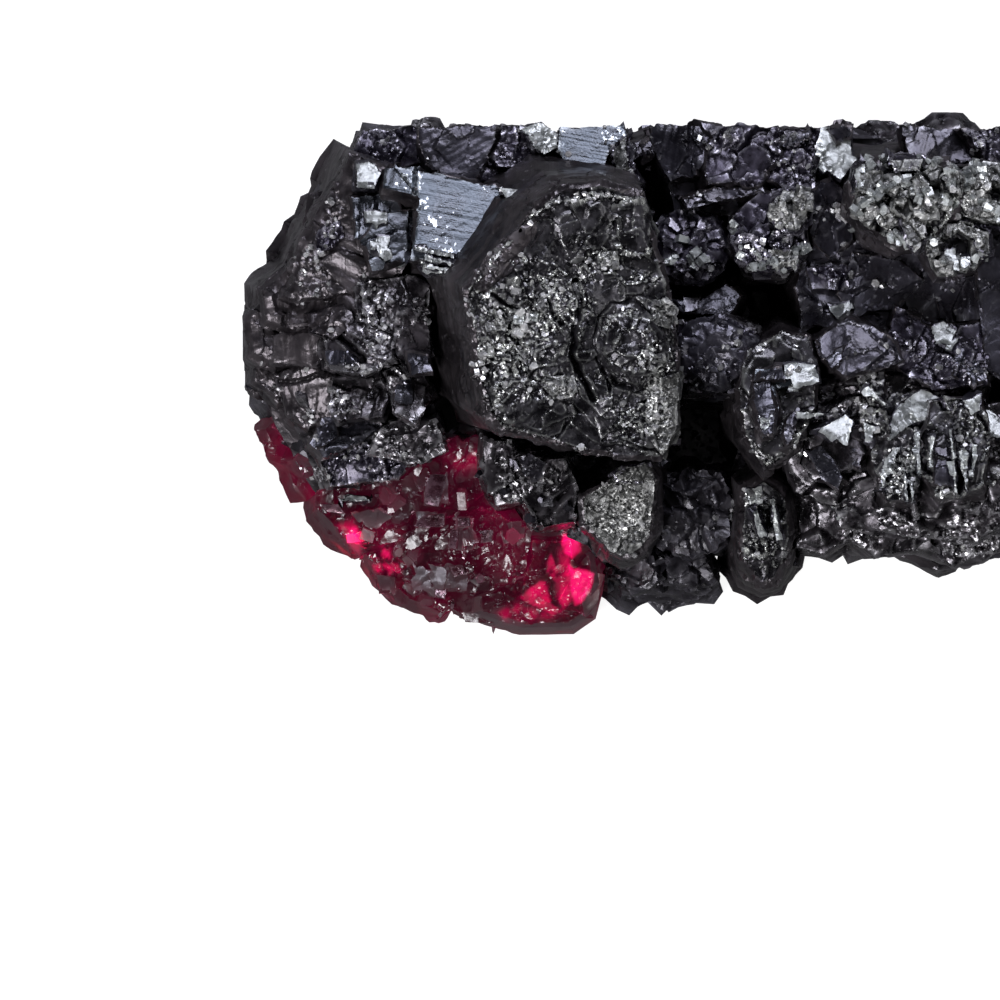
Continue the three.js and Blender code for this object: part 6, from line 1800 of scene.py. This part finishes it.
# Calmer reliefs for the looks where they cover the sides of crystals
SIDE_RELIEFS: dict[Look, Relief] = RELIEFS | {
    Look.STEPPED: Relief((Bed(0.3, 3.6, 0.12, 2.0), Bed(0.14, 0.8, 0.5)), terrace=0.5, terrace_size=5, steps=3,
                         rib=0.05, rib_width=0.9, swell=0.3, grain=0.015, wear=0.1),
    Look.RAW: Relief((Bed(0.5, 3.6, 0.2, 1.6), Bed(0.3, 1.6, 0.3), Bed(0.14, 0.8, 0.5)), terrace=0.6,
                     terrace_size=4, steps=3, swell=0.5, grain=0.02, wear=0.0),
    Look.RUBY: Relief((Bed(0.3, 3.2, 0.16, 1.6), Bed(0.2, 1.3, 0.4)), swell=0.3, grain=0.01, wear=0.0),
}
SIDE_LOOKS: dict[Look, Look] = {
    Look.TERRACED: Look.BAND, Look.STEPPED: Look.STEPPED, Look.SPECKLED: Look.STEPPED, Look.GLITTER: Look.BAND,
    Look.SATIN: Look.BAND, Look.MIRROR: Look.BAND, Look.BLOCKY: Look.BAND, Look.SILVERY: Look.BAND,
    Look.SHARD: Look.SATIN, Look.GRAIN: Look.SATIN,
    Look.CRUST: Look.SPECKLED, Look.BAND: Look.BAND, Look.RAW: Look.RAW, Look.RUBY: Look.RUBY,
    Look.RUBY_FACE: Look.RUBY, Look.ROSE: Look.RUBY_FACE,
}


@dataclass
class Detail:
    """How finely the surfaces are divided, in squares."""

    fine: float = 0.3
    coarse: float = 1.2
    grow: float = 0.1


class CrystalZone:
    """A group of crystals that are grown together."""

    def __init__(self, name: str, crystals: Sequence[Crystal], detail: Detail, seed: int) -> None:
        """Keeps the zone's crystals.

        Args:
            name: Name of the piece.
            crystals: The crystals on the plan.
            detail: How finely they are divided.
            seed: Number of their patterns.
        """
        self.name = name
        self.crystals = crystals
        self.detail = detail
        self.seed = seed
        self.slot = "pyrargyrite"

    def dressed(self, shell: Shell, face: Look, side: Look, seed: int, detail: Detail | None = None) -> Part:
        """Divides a shell finely and gives it the relief of its looks."""
        detail = detail or self.detail
        shell.refine(detail.fine, detail.coarse, detail.grow)
        shell.roughen({"top": RELIEFS[face], "side": SIDE_RELIEFS[side]}, seed)
        return Part(shell, face, side)

    def parts(self) -> list[Part]:
        """Shells of the zone's crystals, with their relief."""
        return [self.dressed(crystal_shell(entry), entry.look, entry.side or SIDE_LOOKS[entry.look],
                             self.seed + index * 7) for index, entry in enumerate(self.crystals)]

    def build(self, joiner: Joiner, dresser: Dresser) -> bpy.types.Object:
        """Joins the zone's parts into its piece."""
        return dresser.piece(self.name, joiner.union(self.parts()), self.slot)


def plate_crystals(plates: Sequence[Plate]) -> list[Crystal]:
    """Crystals for plates, each set on the highest crystal under its middle."""
    made = []
    for plate in plates:
        x, y = Crystal(plate.face, 0).middle
        below = [entry for entry in (*LEFT_FLANK, *BLUE_GREY, *BACK_ROW, *RIGHT_MASS, *FRONT_ROW, *RUBY, HEXAGONAL)
                 if within(np.array([x]), np.array([y]), entry.face)[0]]
        knobs = [knob for knob in KNOBS if math.dist(knob.centre, (x, y)) < knob.radius]
        blades = [rosette for rosette in ROSETTES if math.dist(rosette.centre, (x, y)) < rosette.radius * 1.1]
        levels = [(entry.level(x, y), entry.slope) for entry in below]
        levels += [(knob.top - 0.3, (0.0, 0.0)) for knob in knobs]
        levels += [(rosette.top - 1.6, (0.0, 0.0)) for rosette in blades]
        height, slope = max(levels, default=(18.0, (0.0, 0.0)))
        made.append(Crystal(
            plate.face, height + plate.rise, plate.look, (slope[0] + plate.slope[0], slope[1] + plate.slope[1]),
            depth=plate.rise + 3, spread=1.08))
    return made


def bar_plates() -> list[Plate]:
    """Plates for the pale bars."""
    made = []
    for (x0, y0), (x1, y1), width in BARS:
        length = math.dist((x0, y0), (x1, y1))
        a, b = (y0 - y1) / length * width / 2, (x1 - x0) / length * width / 2
        made.append(Plate(((x0 - a, y0 - b), (x0 + a, y0 + b), (x1 + a, y1 + b), (x1 - a, y1 - b)), 2.0, Look.SHARD,
                          (0.0, 0.2)))
    return made


class HexagonalZone(CrystalZone):
    """The large hexagonal crystal, with the plates and the hillock on its face."""

    def parts(self) -> list[Part]:
        """The crystal and what stands on its face."""
        made = [self.dressed(crystal_shell(HEXAGONAL), HEXAGONAL.look, Look.BAND, self.seed)]
        for index, plate in enumerate(plate_crystals(HEXAGONAL_PLATES)):
            made.append(self.dressed(crystal_shell(plate), plate.look, plate.look, self.seed + 50 + index))
        made.append(self.dressed(knob_shell(HILLOCK), Look.TERRACED, Look.TERRACED, self.seed + 90))
        return made


class RosetteZone(CrystalZone):
    """The crystals on the upper right, with knobs and rosettes of blades."""

    def parts(self) -> list[Part]:
        """The crystals, knobs and blades."""
        made = super().parts()
        for index, knob in enumerate(KNOBS):
            made.append(self.dressed(knob_shell(knob), knob.look, knob.look, self.seed + 300 + index))
        for number, rosette in enumerate(ROSETTES):
            for index, petal in enumerate(petal_crystals(rosette)):
                seed = self.seed + 400 + number * 20 + index
                made.append(self.dressed(crystal_shell(petal), petal.look, petal.look, seed))
        return made


class StrutZone(CrystalZone):
    """Crystals with slanting struts among them."""

    def __init__(self, name: str, crystals: Sequence[Crystal], struts: Sequence[Strut], detail: Detail,
                 seed: int, knobs: Sequence[Knob] = ()) -> None:
        """Keeps the zone's crystals, struts and knobs."""
        super().__init__(name, crystals, detail, seed)
        self.struts = struts
        self.knobs = knobs

    def parts(self) -> list[Part]:
        """The crystals, the struts and the knobs."""
        made = super().parts()
        for index, knob in enumerate(self.knobs):
            made.append(self.dressed(knob_shell(knob), knob.look, knob.look, self.seed + 600 + index))
        for index, strut in enumerate(self.struts):
            side = SIDE_LOOKS[strut.look]
            made.append(self.dressed(strut_shell(strut), strut.look, side, self.seed + 500 + index))
        return made


class MassZone(StrutZone):
    """The broken mass under the crystals, with the crystals round its flanks."""

    def core(self, look: Look, seed: int) -> Part:
        """The mass with its relief."""
        core = core_shell()
        core.refine(self.detail.fine * 1.5, self.detail.coarse, 0.05)
        core.roughen({"top": SIDE_RELIEFS[look], "side": SIDE_RELIEFS[look]}, seed)
        return Part(core, look, look)

    def build(self, joiner: Joiner, dresser: Dresser) -> bpy.types.Object:
        """Joins the mass and cuts the gaps and the ruby corner out of it."""
        parts = [self.core(Look.RAW, self.seed + 700), *self.parts()]
        whole = joiner.union(parts)
        cutters = [Part(column_shell(face, floor, 60), Look.RAW, Look.RAW) for face, floor in GAPS]
        cutters.append(Part(column_shell(RUBY_BAY, -5, 60), Look.RAW, Look.RAW))
        objects = [working_object(cutter, joiner.materials) for cutter in cutters]
        return dresser.piece(self.name, joiner.combined(whole, objects, "DIFFERENCE"), self.slot)


class RubyZone(MassZone):
    """The ruby-red corner: translucent crystals on a body of the same."""

    def build(self, joiner: Joiner, dresser: Dresser) -> bpy.types.Object:
        """Joins the ruby crystals with the corner of the mass, and marks where a painted glow stands in for light
        shining through.
        """
        core = working_object(self.core(Look.RUBY, self.seed + 700), joiner.materials)
        middle = Crystal(RUBY_BAY, 0).middle
        wide = tuple((middle[0] + (x - middle[0]) * 1.03, middle[1] + (y - middle[1]) * 1.03) for x, y in RUBY_BAY)
        bay = working_object(Part(column_shell(wide, -5, 60), Look.RUBY, Look.RUBY), joiner.materials)
        corner = joiner.combined(core, [bay], "INTERSECT")
        others = [working_object(part, joiner.materials) for part in self.parts()]
        piece = dresser.piece(self.name, joiner.combined(corner, others, "UNION"), "ruby_pyrargyrite")
        self.shine(piece)
        return piece

    def shine(self, piece: bpy.types.Object) -> None:
        """Marks on the piece the painted glow that stands in for the light coming through at each point."""
        points = np.empty(len(piece.data.vertices) * 3)
        piece.data.vertices.foreach_get("co", points)
        points = points.reshape(-1, 3) / SQUARE
        x, y = on_plan(points)
        x, y = x + 0.15 * noise(points, 1.2, self.seed + 801), y + 0.15 * noise(points, 1.2, self.seed + 802)
        total = np.zeros(len(points))
        for glow in GLOWS:
            depth = edge_distance(x, y, glow.outline) * np.where(within(x, y, glow.outline), 1, -1)
            total = np.maximum(total, glow.strength * smooth_step(depth, -glow.soft, glow.soft))
        facet = crystal_bed(x * 1.3 + y * 0.4, y * 1.1, self.seed + 800, Bed(1.0, 1.1, 0.7, 1.6))
        broad = 0.5 + 0.5 * rough_noise(points, 0.25, self.seed + 803)
        total = (total + 0.06 * broad) * np.clip(0.95 + 0.7 * facet, 0.25, 1.15)
        piece.data.attributes.new("glow", "FLOAT", "POINT").data.foreach_set(
            "value", np.clip(total, 0, 1).astype(np.float32))


# ---------------------------------------------------------------- small crystals

@dataclass(frozen=True)
class Growth:
    """Small crystals that grow on a piece: their look, how many per square, sizes in squares, and their lean.

    Patches or runs say where they grow; without them they grow where the surface sparkles. Flat is their height
    as a share of their width, lift how far their middles stand over the surface, and upright the least upward
    part of the surface's normal.
    """

    host: str
    look: Look
    density: float
    small: float
    large: float
    lean: float = 0.5
    flat: float = 0.6
    lift: float = 0.1
    power: float = 2.0
    patches: tuple[Patch, ...] = ()
    runs: tuple[tuple[Point, ...], ...] = ()
    upright: float = 0.6


# Lines of the plan along which bright blocky crystals stand
CHUNK_RUNS = (
    # rosettes
    ((85, 18.2), (86.2, 16.9), (88.5, 16.3), (91.2, 16.1), (93.4, 16.6)), ((85.1, 19), (85.7, 20.8), (84.9, 22),
     (85.6, 23.4), (86.6, 24.1)), ((86.2, 20.6), (87, 19.5), (88.6, 18.8), (90, 18.5), (91.2, 19.4), (91.6, 20.4)),
    ((87.6, 21), (88, 22.4), (88.9, 23.5), (90.2, 24), (91.1, 25)), ((92.4, 19.8), (93.8, 19.7), (95, 20.8)),
    ((94.3, 18.4), (94.6, 17.2), (96, 16.4), (97.4, 16.9), (98.4, 17.4)), ((96.8, 20), (98.4, 21), (99.4, 22.3)),
    ((97, 17.6), (96.4, 18.4), (97, 19.4)), ((92.9, 24.4), (93.3, 25.6), (94.2, 26.3), (95.4, 26.6), (96.8, 26.4),
     (97.7, 25.8), (98.3, 24.6), (98.1, 23.6)), ((73.2, 22.4), (73.5, 24.6), (74.5, 26), (76, 26.6), (78, 26.6),
     (79.6, 25.7), (80.3, 24.2)), ((75.4, 25.4), (76.4, 25.2)), ((68, 24.2), (69.2, 25), (71, 25.5)),
    ((66.9, 26), (68.4, 26.6), (70, 26.2)),
    # large hexagonal face
    ((50.4, 24.8), (52.4, 22.6), (54.6, 21.1), (57.4, 20.2), (60.4, 20), (63.4, 20.6)), ((46.9, 30), (47.6, 34),
     (48.4, 37.6), (49, 40.6), (50.6, 43)), ((60, 27), (61.4, 26.4), (63, 27.6), (65, 28.4)), ((64.8, 33), (65.2, 31),
     (66.6, 30.2), (67.3, 31)), ((60.4, 33.4), (61, 32.2), (62.4, 31.6), (63.8, 31.6)), ((64, 37.2), (65.2, 36.2),
     (66, 35)), ((49, 31.4), (50.6, 31.8), (51, 33.2)), ((52.4, 35.4), (54, 36), (55, 35.2)),
    # left side
    ((33, 19.6), (33.6, 21.6), (33.2, 23.6), (31.8, 25.4)), ((30.8, 25), (30.6, 27)), ((35, 36.5), (36, 37), (37, 36.8)),
    ((33, 39), (34.2, 39.8)), ((30.6, 41.2), (32.2, 42.4)), ((31.4, 46.8), (33, 47.4)), ((35.8, 14), (38.6, 14.2)),
    # back row
    ((70.6, 14.6), (71.2, 13.4), (72.4, 13.2), (73.2, 14)), ((76.8, 14.3), (78.6, 14), (80.8, 13.5)),
    ((77.4, 16.2), (78.8, 16.8)), ((80, 16), (81.4, 17)), ((97.4, 13.2), (98.6, 14), (97.6, 15.2)),
    # right side
    ((75.2, 36.2), (76.6, 36.8), (78.6, 37.2), (81, 36.4)), ((75.5, 38.6), (75.7, 41), (76.2, 43)), ((77, 46.6), (78,
     46)), ((79.2, 44), (80.2, 45.4), (80.8, 46)), ((85.2, 36.8), (86.6, 38)), ((86.6, 37.4), (88.6, 37)), ((86.2, 41),
     (87.2, 42.8)), ((88, 47), (88.8, 45.4), (89.8, 44.8)), ((89.8, 48), (89.4, 46.6)), ((93.6, 48.6), (94.4, 49.2)),
    ((93.6, 33.4), (95, 33.6), (95.6, 35)), ((96.6, 40.4), (98, 41)), ((98, 49), (100, 47)),
    # front
    ((83.6, 50.6), (85, 50.4), (85.8, 51.6), (84.4, 52.6)), ((86.8, 51.8), (88, 52.8), (87.6, 54)), ((93.2, 51),
     (94, 52.2), (95.4, 53.4), (96.8, 53)), ((98.4, 52), (99.4, 53.4)), ((73, 48), (73.3, 50.6), (73.4, 54)),
    ((74.8, 49.2), (76, 49.7)), ((75.2, 51.4), (76.2, 53.2), (77.2, 53.6)), ((76, 55.4), (77, 54.9)), ((78.2, 54.4),
     (78.8, 55.6)), ((59, 50), (60.4, 49.2)),
)
GROWTHS = (
    # bright grains where the surface sparkles: their pale colour is partly their own and partly a painted glint
    Growth("hexagonal_crystal", Look.GRAIN, 0.9, 0.2, 0.8),
    Growth("hexagonal_crystal", Look.GRAIN, 0.3, 0.7, 1.5, 0.45, 0.45, 0.0, patches=(
        Patch(52, 33, 4.4, 2.8, 100), Patch(55.6, 38.8, 1.6, 1.2)), power=1.0),
    Growth("left_flank", Look.GRAIN, 1.0, 0.18, 0.7),
    Growth("back_row", Look.GRAIN, 0.8, 0.2, 0.7),
    Growth("upper_right_crystals", Look.GRAIN, 1.2, 0.25, 0.9),
    Growth("right_crystals", Look.GRAIN, 1.1, 0.2, 0.8),
    Growth("front_row", Look.GRAIN, 0.9, 0.2, 0.7),
    *(Growth(host, Look.SHARD if host == "upper_right_crystals" else Look.GRAIN, density, small, large, 0.5, 0.8,
             0.1, runs=CHUNK_RUNS)
      for host, density, small, large in (
        ("hexagonal_crystal", 2.0, 0.25, 0.65), ("left_flank", 2.0, 0.3, 0.7), ("back_row", 2.0, 0.3, 0.8),
        ("upper_right_crystals", 2.8, 0.5, 1.2), ("right_crystals", 2.2, 0.35, 0.85), ("front_row", 1.5, 0.35, 0.85))),
    Growth("broken_mass", Look.SATIN, 0.12, 0.8, 2.0, 0.8, 0.7, patches=(Patch(72, 33, 26, 13),), power=0.7,
           upright=0.3),
    Growth("front_row", Look.SATIN, 0.12, 0.6, 1.6, 0.8, 0.7, patches=(Patch(53, 48, 5, 5),), power=0.5,
           upright=0.3),
    Growth("ruby_corner", Look.RUBY_FACE, 0.13, 0.9, 2.4, 0.7, 0.4, 0.0, patches=(
        Patch(44, 54.4, 6, 4.4), Patch(37, 49.8, 4, 1.4, 5), Patch(42, 58, 4, 2.2, 25)), power=0.6),
    # small pinkish-grey facets on the ruby, whose colour is a painted reflection
    Growth("ruby_corner", Look.ROSE, 0.1, 0.2, 0.8, 0.6, 0.5, 0.05, patches=(
        Patch(44.6, 54.6, 5, 3.4), Patch(37, 50, 3.4, 1, 5), Patch(42.5, 58.6, 3.6, 1.2, 30)), power=1.0),
)


class GrowthTree:
    """Geometry tree that grows small closed crystals on a surface, inside a box."""

    def __init__(self) -> None:
        """Lays the tree out with its named inputs."""
        self.tree = bpy.data.node_groups.new("small_crystals", "GeometryNodeTree")
        self.tree.is_modifier = True
        for label, kind in (("Surface", "Geometry"), ("Density", "Float"), ("Smallest", "Float"), ("Largest", "Float"),
                            ("Lean", "Float"), ("Flat", "Float"), ("Lift", "Float"), ("Lowest", "Vector"),
                            ("Highest", "Vector"), ("Finish", "Material"), ("Seed", "Int")):
            self.tree.interface.new_socket(label, in_out="INPUT", socket_type=f"NodeSocket{kind}")
        self.tree.interface.new_socket("Crystals", in_out="OUTPUT", socket_type="NodeSocketGeometry")
        sheet = Sheet(self.tree)
        start, end = self.tree.nodes.new("NodeGroupInput"), self.tree.nodes.new("NodeGroupOutput")
        given = {socket.name: socket for socket in start.outputs if socket.name}
        grow = sheet.add("GeometryNodeInputNamedAttribute", {"Name": "grow"}, data_type="FLOAT").outputs[0]
        points = sheet.add("GeometryNodeDistributePointsOnFaces", {
            "Mesh": given["Surface"], "Density": sheet.math("MULTIPLY", grow, given["Density"]), "Seed": given["Seed"]})
        size = self._random(sheet, given["Smallest"], given["Largest"], given["Seed"], 1)
        across = sheet.math("MULTIPLY", size, self._random(sheet, 0.45, 1.0, given["Seed"], 2))
        scale = sheet.add("ShaderNodeCombineXYZ", {0: size, 1: across, 2: sheet.math("MULTIPLY", size, given["Flat"])})
        down = sheet.math("MULTIPLY", given["Lean"], -1.0)
        tilt = sheet.add("ShaderNodeCombineXYZ", {
            0: self._random(sheet, down, given["Lean"], given["Seed"], 3),
            1: self._random(sheet, down, given["Lean"], given["Seed"], 4),
            2: self._random(sheet, 0.0, math.tau, given["Seed"], 5)})
        turn = sheet.add("FunctionNodeRotateRotation", {
            "Rotation": points.outputs["Rotation"],
            "Rotate By": sheet.add("FunctionNodeEulerToRotation", {0: tilt.outputs[0]}).outputs[0]},
            rotation_space="LOCAL")
        lifted = sheet.add("ShaderNodeVectorMath", {0: points.outputs["Normal"], "Scale": sheet.math(
            "MULTIPLY", size, given["Lift"])}, operation="SCALE")
        placed = sheet.add("GeometryNodeSetPosition", {"Geometry": points.outputs["Points"],
                                                       "Offset": lifted.outputs[0]})
        shapes = sheet.add("GeometryNodeJoinGeometry", {})
        for kind, wires in (("GeometryNodeMeshCylinder", {"Vertices": 6, "Radius": 0.5, "Depth": 1.0}),
                            ("GeometryNodeMeshCone", {"Vertices": 5, "Radius Top": 0.3, "Radius Bottom": 0.5,
                                                      "Depth": 1.0}),
                            ("GeometryNodeMeshCube", {"Size": (0.9, 0.8, 0.9)})):
            shape = sheet.add(kind, wires)
            wrapped = sheet.add("GeometryNodeGeometryToInstance", {0: shape.outputs["Mesh"]})
            self.tree.links.new(wrapped.outputs[0], shapes.inputs[0])
        placed = sheet.add("GeometryNodeInstanceOnPoints", {
            "Points": placed.outputs[0], "Instance": shapes.outputs[0], "Pick Instance": True,
            "Rotation": turn.outputs[0], "Scale": scale.outputs[0]})
        # random crest and sparkle values, which set each small crystal's painted highlight, painted shade and pale
        # patches in the tone group
        for label, low, high in (("crest", 0.3, 0.95), ("sparkle", 0.3, 1.0)):
            placed = sheet.add("GeometryNodeStoreNamedAttribute", {
                "Geometry": placed.outputs[0], "Name": label,
                "Value": self._random(sheet, low, high, given["Seed"], 6)}, data_type="FLOAT", domain="INSTANCE")
        made = sheet.add("GeometryNodeRealizeInstances", {0: placed.outputs[0]})
        where = sheet.add("GeometryNodeInputPosition", {})
        below = sheet.add("ShaderNodeVectorMath", {0: where.outputs[0], 1: given["Highest"]}, operation="MINIMUM")
        inside = sheet.add("ShaderNodeVectorMath", {0: below.outputs[0], 1: given["Lowest"]}, operation="MAXIMUM")
        kept = sheet.add("GeometryNodeSetPosition", {"Geometry": made.outputs[0], "Position": inside.outputs[0]})
        done = sheet.add("GeometryNodeSetMaterial", {"Geometry": kept.outputs[0], "Material": given["Finish"]})
        self.tree.links.new(done.outputs[0], end.inputs[0])

    def _random(self, sheet: Sheet, low: object, high: object, seed: Wire, number: int) -> Wire:
        """Output of a random number between two values, its own for each number."""
        own = sheet.math("MULTIPLY_ADD", seed, 7.0)
        own.node.inputs[2].default_value = float(number)
        return sheet.add("FunctionNodeRandomValue", {2: low, 3: high, "Seed": own}, data_type="FLOAT").outputs[1]

    def grown(self, host: bpy.types.Object, growth: Growth, finish: bpy.types.Material, box: tuple, seed: int) -> bpy.types.Mesh:
        """Grows the crystals of one growth on a piece.

        Args:
            host: The piece that they grow on.
            growth: What grows.
            finish: Its material.
            box: Lowest and highest corner that they may reach, in metres.
            seed: Number of their pattern.

        Returns:
            Their mesh.
        """
        mesh = host.data.copy()
        count = len(mesh.vertices)
        points, sparkle = np.empty(count * 3), np.empty(count, dtype=np.float32)
        mesh.vertices.foreach_get("co", points)
        mesh.attributes["sparkle"].data.foreach_get("value", sparkle)
        points = points.reshape(-1, 3) / SQUARE
        up = np.empty(count * 3, dtype=np.float32)
        mesh.vertex_normals.foreach_get("vector", up)
        x, y = on_plan(points)
        mask = patch_sum(x, y, growth.patches) if growth.patches else np.zeros(count) if growth.runs else sparkle
        for run in growth.runs:
            mask = np.maximum(mask, smooth_step(edge_distance(x, y, (*run, *run[-2:0:-1])), 0.55, 0.2))
        mask = np.clip(mask, 0, 1) ** growth.power * (up.reshape(-1, 3)[:, 2] > growth.upright)
        mesh.attributes.new("grow", "FLOAT", "POINT").data.foreach_set("value", mask.astype(np.float32))
        working = bpy.data.objects.new("working", mesh)
        bpy.context.scene.collection.objects.link(working)
        modifier = working.modifiers.new("growth", "NODES")
        modifier.node_group = self.tree
        values = {"Density": growth.density / SQUARE**2, "Smallest": growth.small * SQUARE,
                  "Largest": growth.large * SQUARE, "Lean": growth.lean, "Flat": growth.flat, "Lift": growth.lift,
                  "Lowest": box[0], "Highest": box[1], "Finish": finish, "Seed": seed}
        for item in self.tree.interface.items_tree:
            if item.in_out == "INPUT" and item.name in values:
                modifier[item.identifier] = values[item.name]
        made = bpy.data.meshes.new_from_object(working.evaluated_get(bpy.context.evaluated_depsgraph_get()))
        working.modifiers.clear()
        bpy.data.objects.remove(working)
        bpy.data.meshes.remove(mesh)
        made.shade_flat()
        return made


class SmallCrystals:
    """All the small crystals, as one piece for each growth."""

    def build(self, hosts: dict[str, bpy.types.Object], dresser: Dresser) -> None:
        """Grows them on their hosts."""
        tree = GrowthTree()
        box = (tuple(dresser.low), tuple(dresser.high))
        for index, growth in enumerate(GROWTHS):
            host = hosts[growth.host]
            mesh = tree.grown(host, growth, dresser.materials[growth.look], box, 40 + index)
            made = bpy.data.objects.new(f"{growth.host}_small_{index + 1}", mesh)
            bpy.context.scene.collection.objects.link(made)
            log.info("%s: %d faces", made.name, len(mesh.polygons))
            dresser.attached(made)


# ---------------------------------------------------------------- studio

@dataclass(frozen=True)
class Softbox:
    """A soft light: azimuth from +Y towards +X and elevation in degrees, distance and size in metres."""

    azimuth: float
    elevation: float
    distance: float
    width: float
    height: float
    radiance: float
    colour: Colour = (1.0, 1.0, 1.0)


@dataclass
class Studio:
    """Plain pale floor, soft lights, and the camera that looks straight down on the crystal faces."""

    frame_width: float = 0.070
    camera_height: float = 0.92
    camera_plane: float = 0.020
    picture_middle: Point = (50.0, 50.0)
    boxes: tuple[Softbox, ...] = (
        Softbox(8, 46, 0.6, 0.4, 0.26, 7.6, (0.94, 0.95, 1.08)),
        Softbox(-135, 45, 0.7, 0.3, 0.25, 15.0, (0.99, 0.98, 1.02)),
        Softbox(95, 40, 0.7, 0.3, 0.3, 2.4),
        Softbox(0, 88, 1.0, 0.9, 0.9, 0.06),
    )

    def build(self) -> None:
        """Makes the floor, the lights and the camera."""
        self._floor()
        for index, box in enumerate(self.boxes):
            self._light(f"softbox_{index + 1}", box)
        world = bpy.data.worlds.new("room")
        world.use_nodes = True
        bpy.context.scene.world = world
        background = world.node_tree.nodes["Background"]
        sheet = Sheet(world.node_tree)
        seen = sheet.add("ShaderNodeLightPath", {}).outputs["Is Camera Ray"]
        world.node_tree.links.new(sheet.ramp(seen, -0.03, 1.0), background.inputs["Strength"])
        self._camera()
        bpy.context.scene.view_settings.view_transform = "Standard"

    def _floor(self) -> None:
        """Makes the floor under the specimen."""
        mesh = bpy.data.meshes.new("floor")
        half = 2.0
        mesh.from_pydata([(-half, -half, 0), (half, -half, 0), (half, half, 0), (-half, half, 0)], [],
                         [(0, 1, 2, 3)])
        material = bpy.data.materials.new("pale_floor")
        material.use_nodes = True
        shader = material.node_tree.nodes["Principled BSDF"]
        shader.inputs["Roughness"].default_value = 0.9
        shader.inputs["Emission Color"].default_value = (1, 1, 1, 1)
        sheet = Sheet(material.node_tree)
        seen = sheet.add("ShaderNodeLightPath", {}).outputs["Is Camera Ray"]
        tone = sheet.mix(seen, (0.16, 0.16, 0.16, 1), (0.3, 0.3, 0.3, 1))
        material.node_tree.links.new(tone, shader.inputs["Base Color"])
        material.node_tree.links.new(sheet.math("MULTIPLY", seen, 0.92), shader.inputs["Emission Strength"])
        mesh.materials.append(material)
        floor = bpy.data.objects.new("floor", mesh)
        bpy.context.scene.collection.objects.link(floor)

    def _light(self, name: str, box: Softbox) -> None:
        """Makes one soft light, turned to the specimen."""
        light = bpy.data.lights.new(name, "AREA")
        light.shape = "RECTANGLE"
        light.size, light.size_y = box.width, box.height
        light.energy = box.radiance * math.pi * box.width * box.height
        light.color = box.colour
        azimuth, elevation = math.radians(box.azimuth), math.radians(box.elevation)
        away = Vector((math.sin(azimuth) * math.cos(elevation), math.cos(azimuth) * math.cos(elevation),
                       math.sin(elevation)))
        made = bpy.data.objects.new(name, light)
        made.location = away * box.distance + Vector((0, 0, 0.015))
        made.rotation_euler = away.to_track_quat("Z", "Y").to_euler()
        made.visible_camera = False
        bpy.context.scene.collection.objects.link(made)

    def _camera(self) -> None:
        """Makes the camera over the picture's middle."""
        data = bpy.data.cameras.new("camera")
        data.sensor_width = 36
        data.lens = 36 * (self.camera_height - self.camera_plane) / self.frame_width
        data.clip_start, data.clip_end = 0.01, 20
        camera = bpy.data.objects.new("camera", data)
        x, y, _ = model_point(*self.picture_middle, 0)
        camera.location = (x * SQUARE, y * SQUARE, self.camera_height)
        bpy.context.scene.collection.objects.link(camera)
        bpy.context.scene.camera = camera


def main() -> None:
    """Builds the specimen's pieces in order, then the studio."""
    materials = finishes()
    joiner, dresser = Joiner(materials), Dresser(materials, CAD_BOX)
    scale = 1.0
    close, usual, broad = Detail(0.2 * scale), Detail(0.29 * scale), Detail(0.42 * scale)
    zones: tuple[CrystalZone, ...] = (
        StrutZone("left_flank", LEFT_FLANK, STRUTS, usual, 1000, LEFT_KNOBS),
        CrystalZone("blue_grey_crystal", BLUE_GREY, close, 2000),
        CrystalZone("back_row", BACK_ROW, usual, 3000),
        HexagonalZone("hexagonal_crystal", (HEXAGONAL,), close, 4000),
        RosetteZone("upper_right_crystals", RIGHT_MASS[:10], usual, 5000),
        CrystalZone("right_crystals", RIGHT_MASS[10:], usual, 6000),
        CrystalZone("right_bodies", RIGHT_BODIES, broad, 6500),
        CrystalZone("front_row", FRONT_ROW, usual, 7000),
        RubyZone("ruby_corner", (*RUBY, *plate_crystals(RUBY_PLATES)), RUBY_STRUTS, usual, 8000),
        CrystalZone("small_plates", plate_crystals((*PLATES, *bar_plates())), close, 10000),
        MassZone("broken_mass", (), (*FOOT_CRYSTALS, *flank_struts()), broad, 9000),
    )
    hosts = {zone.name: zone.build(joiner, dresser) for zone in zones}
    SmallCrystals().build(hosts, dresser)
    Studio().build()


if __name__ == "__main__":
    main()
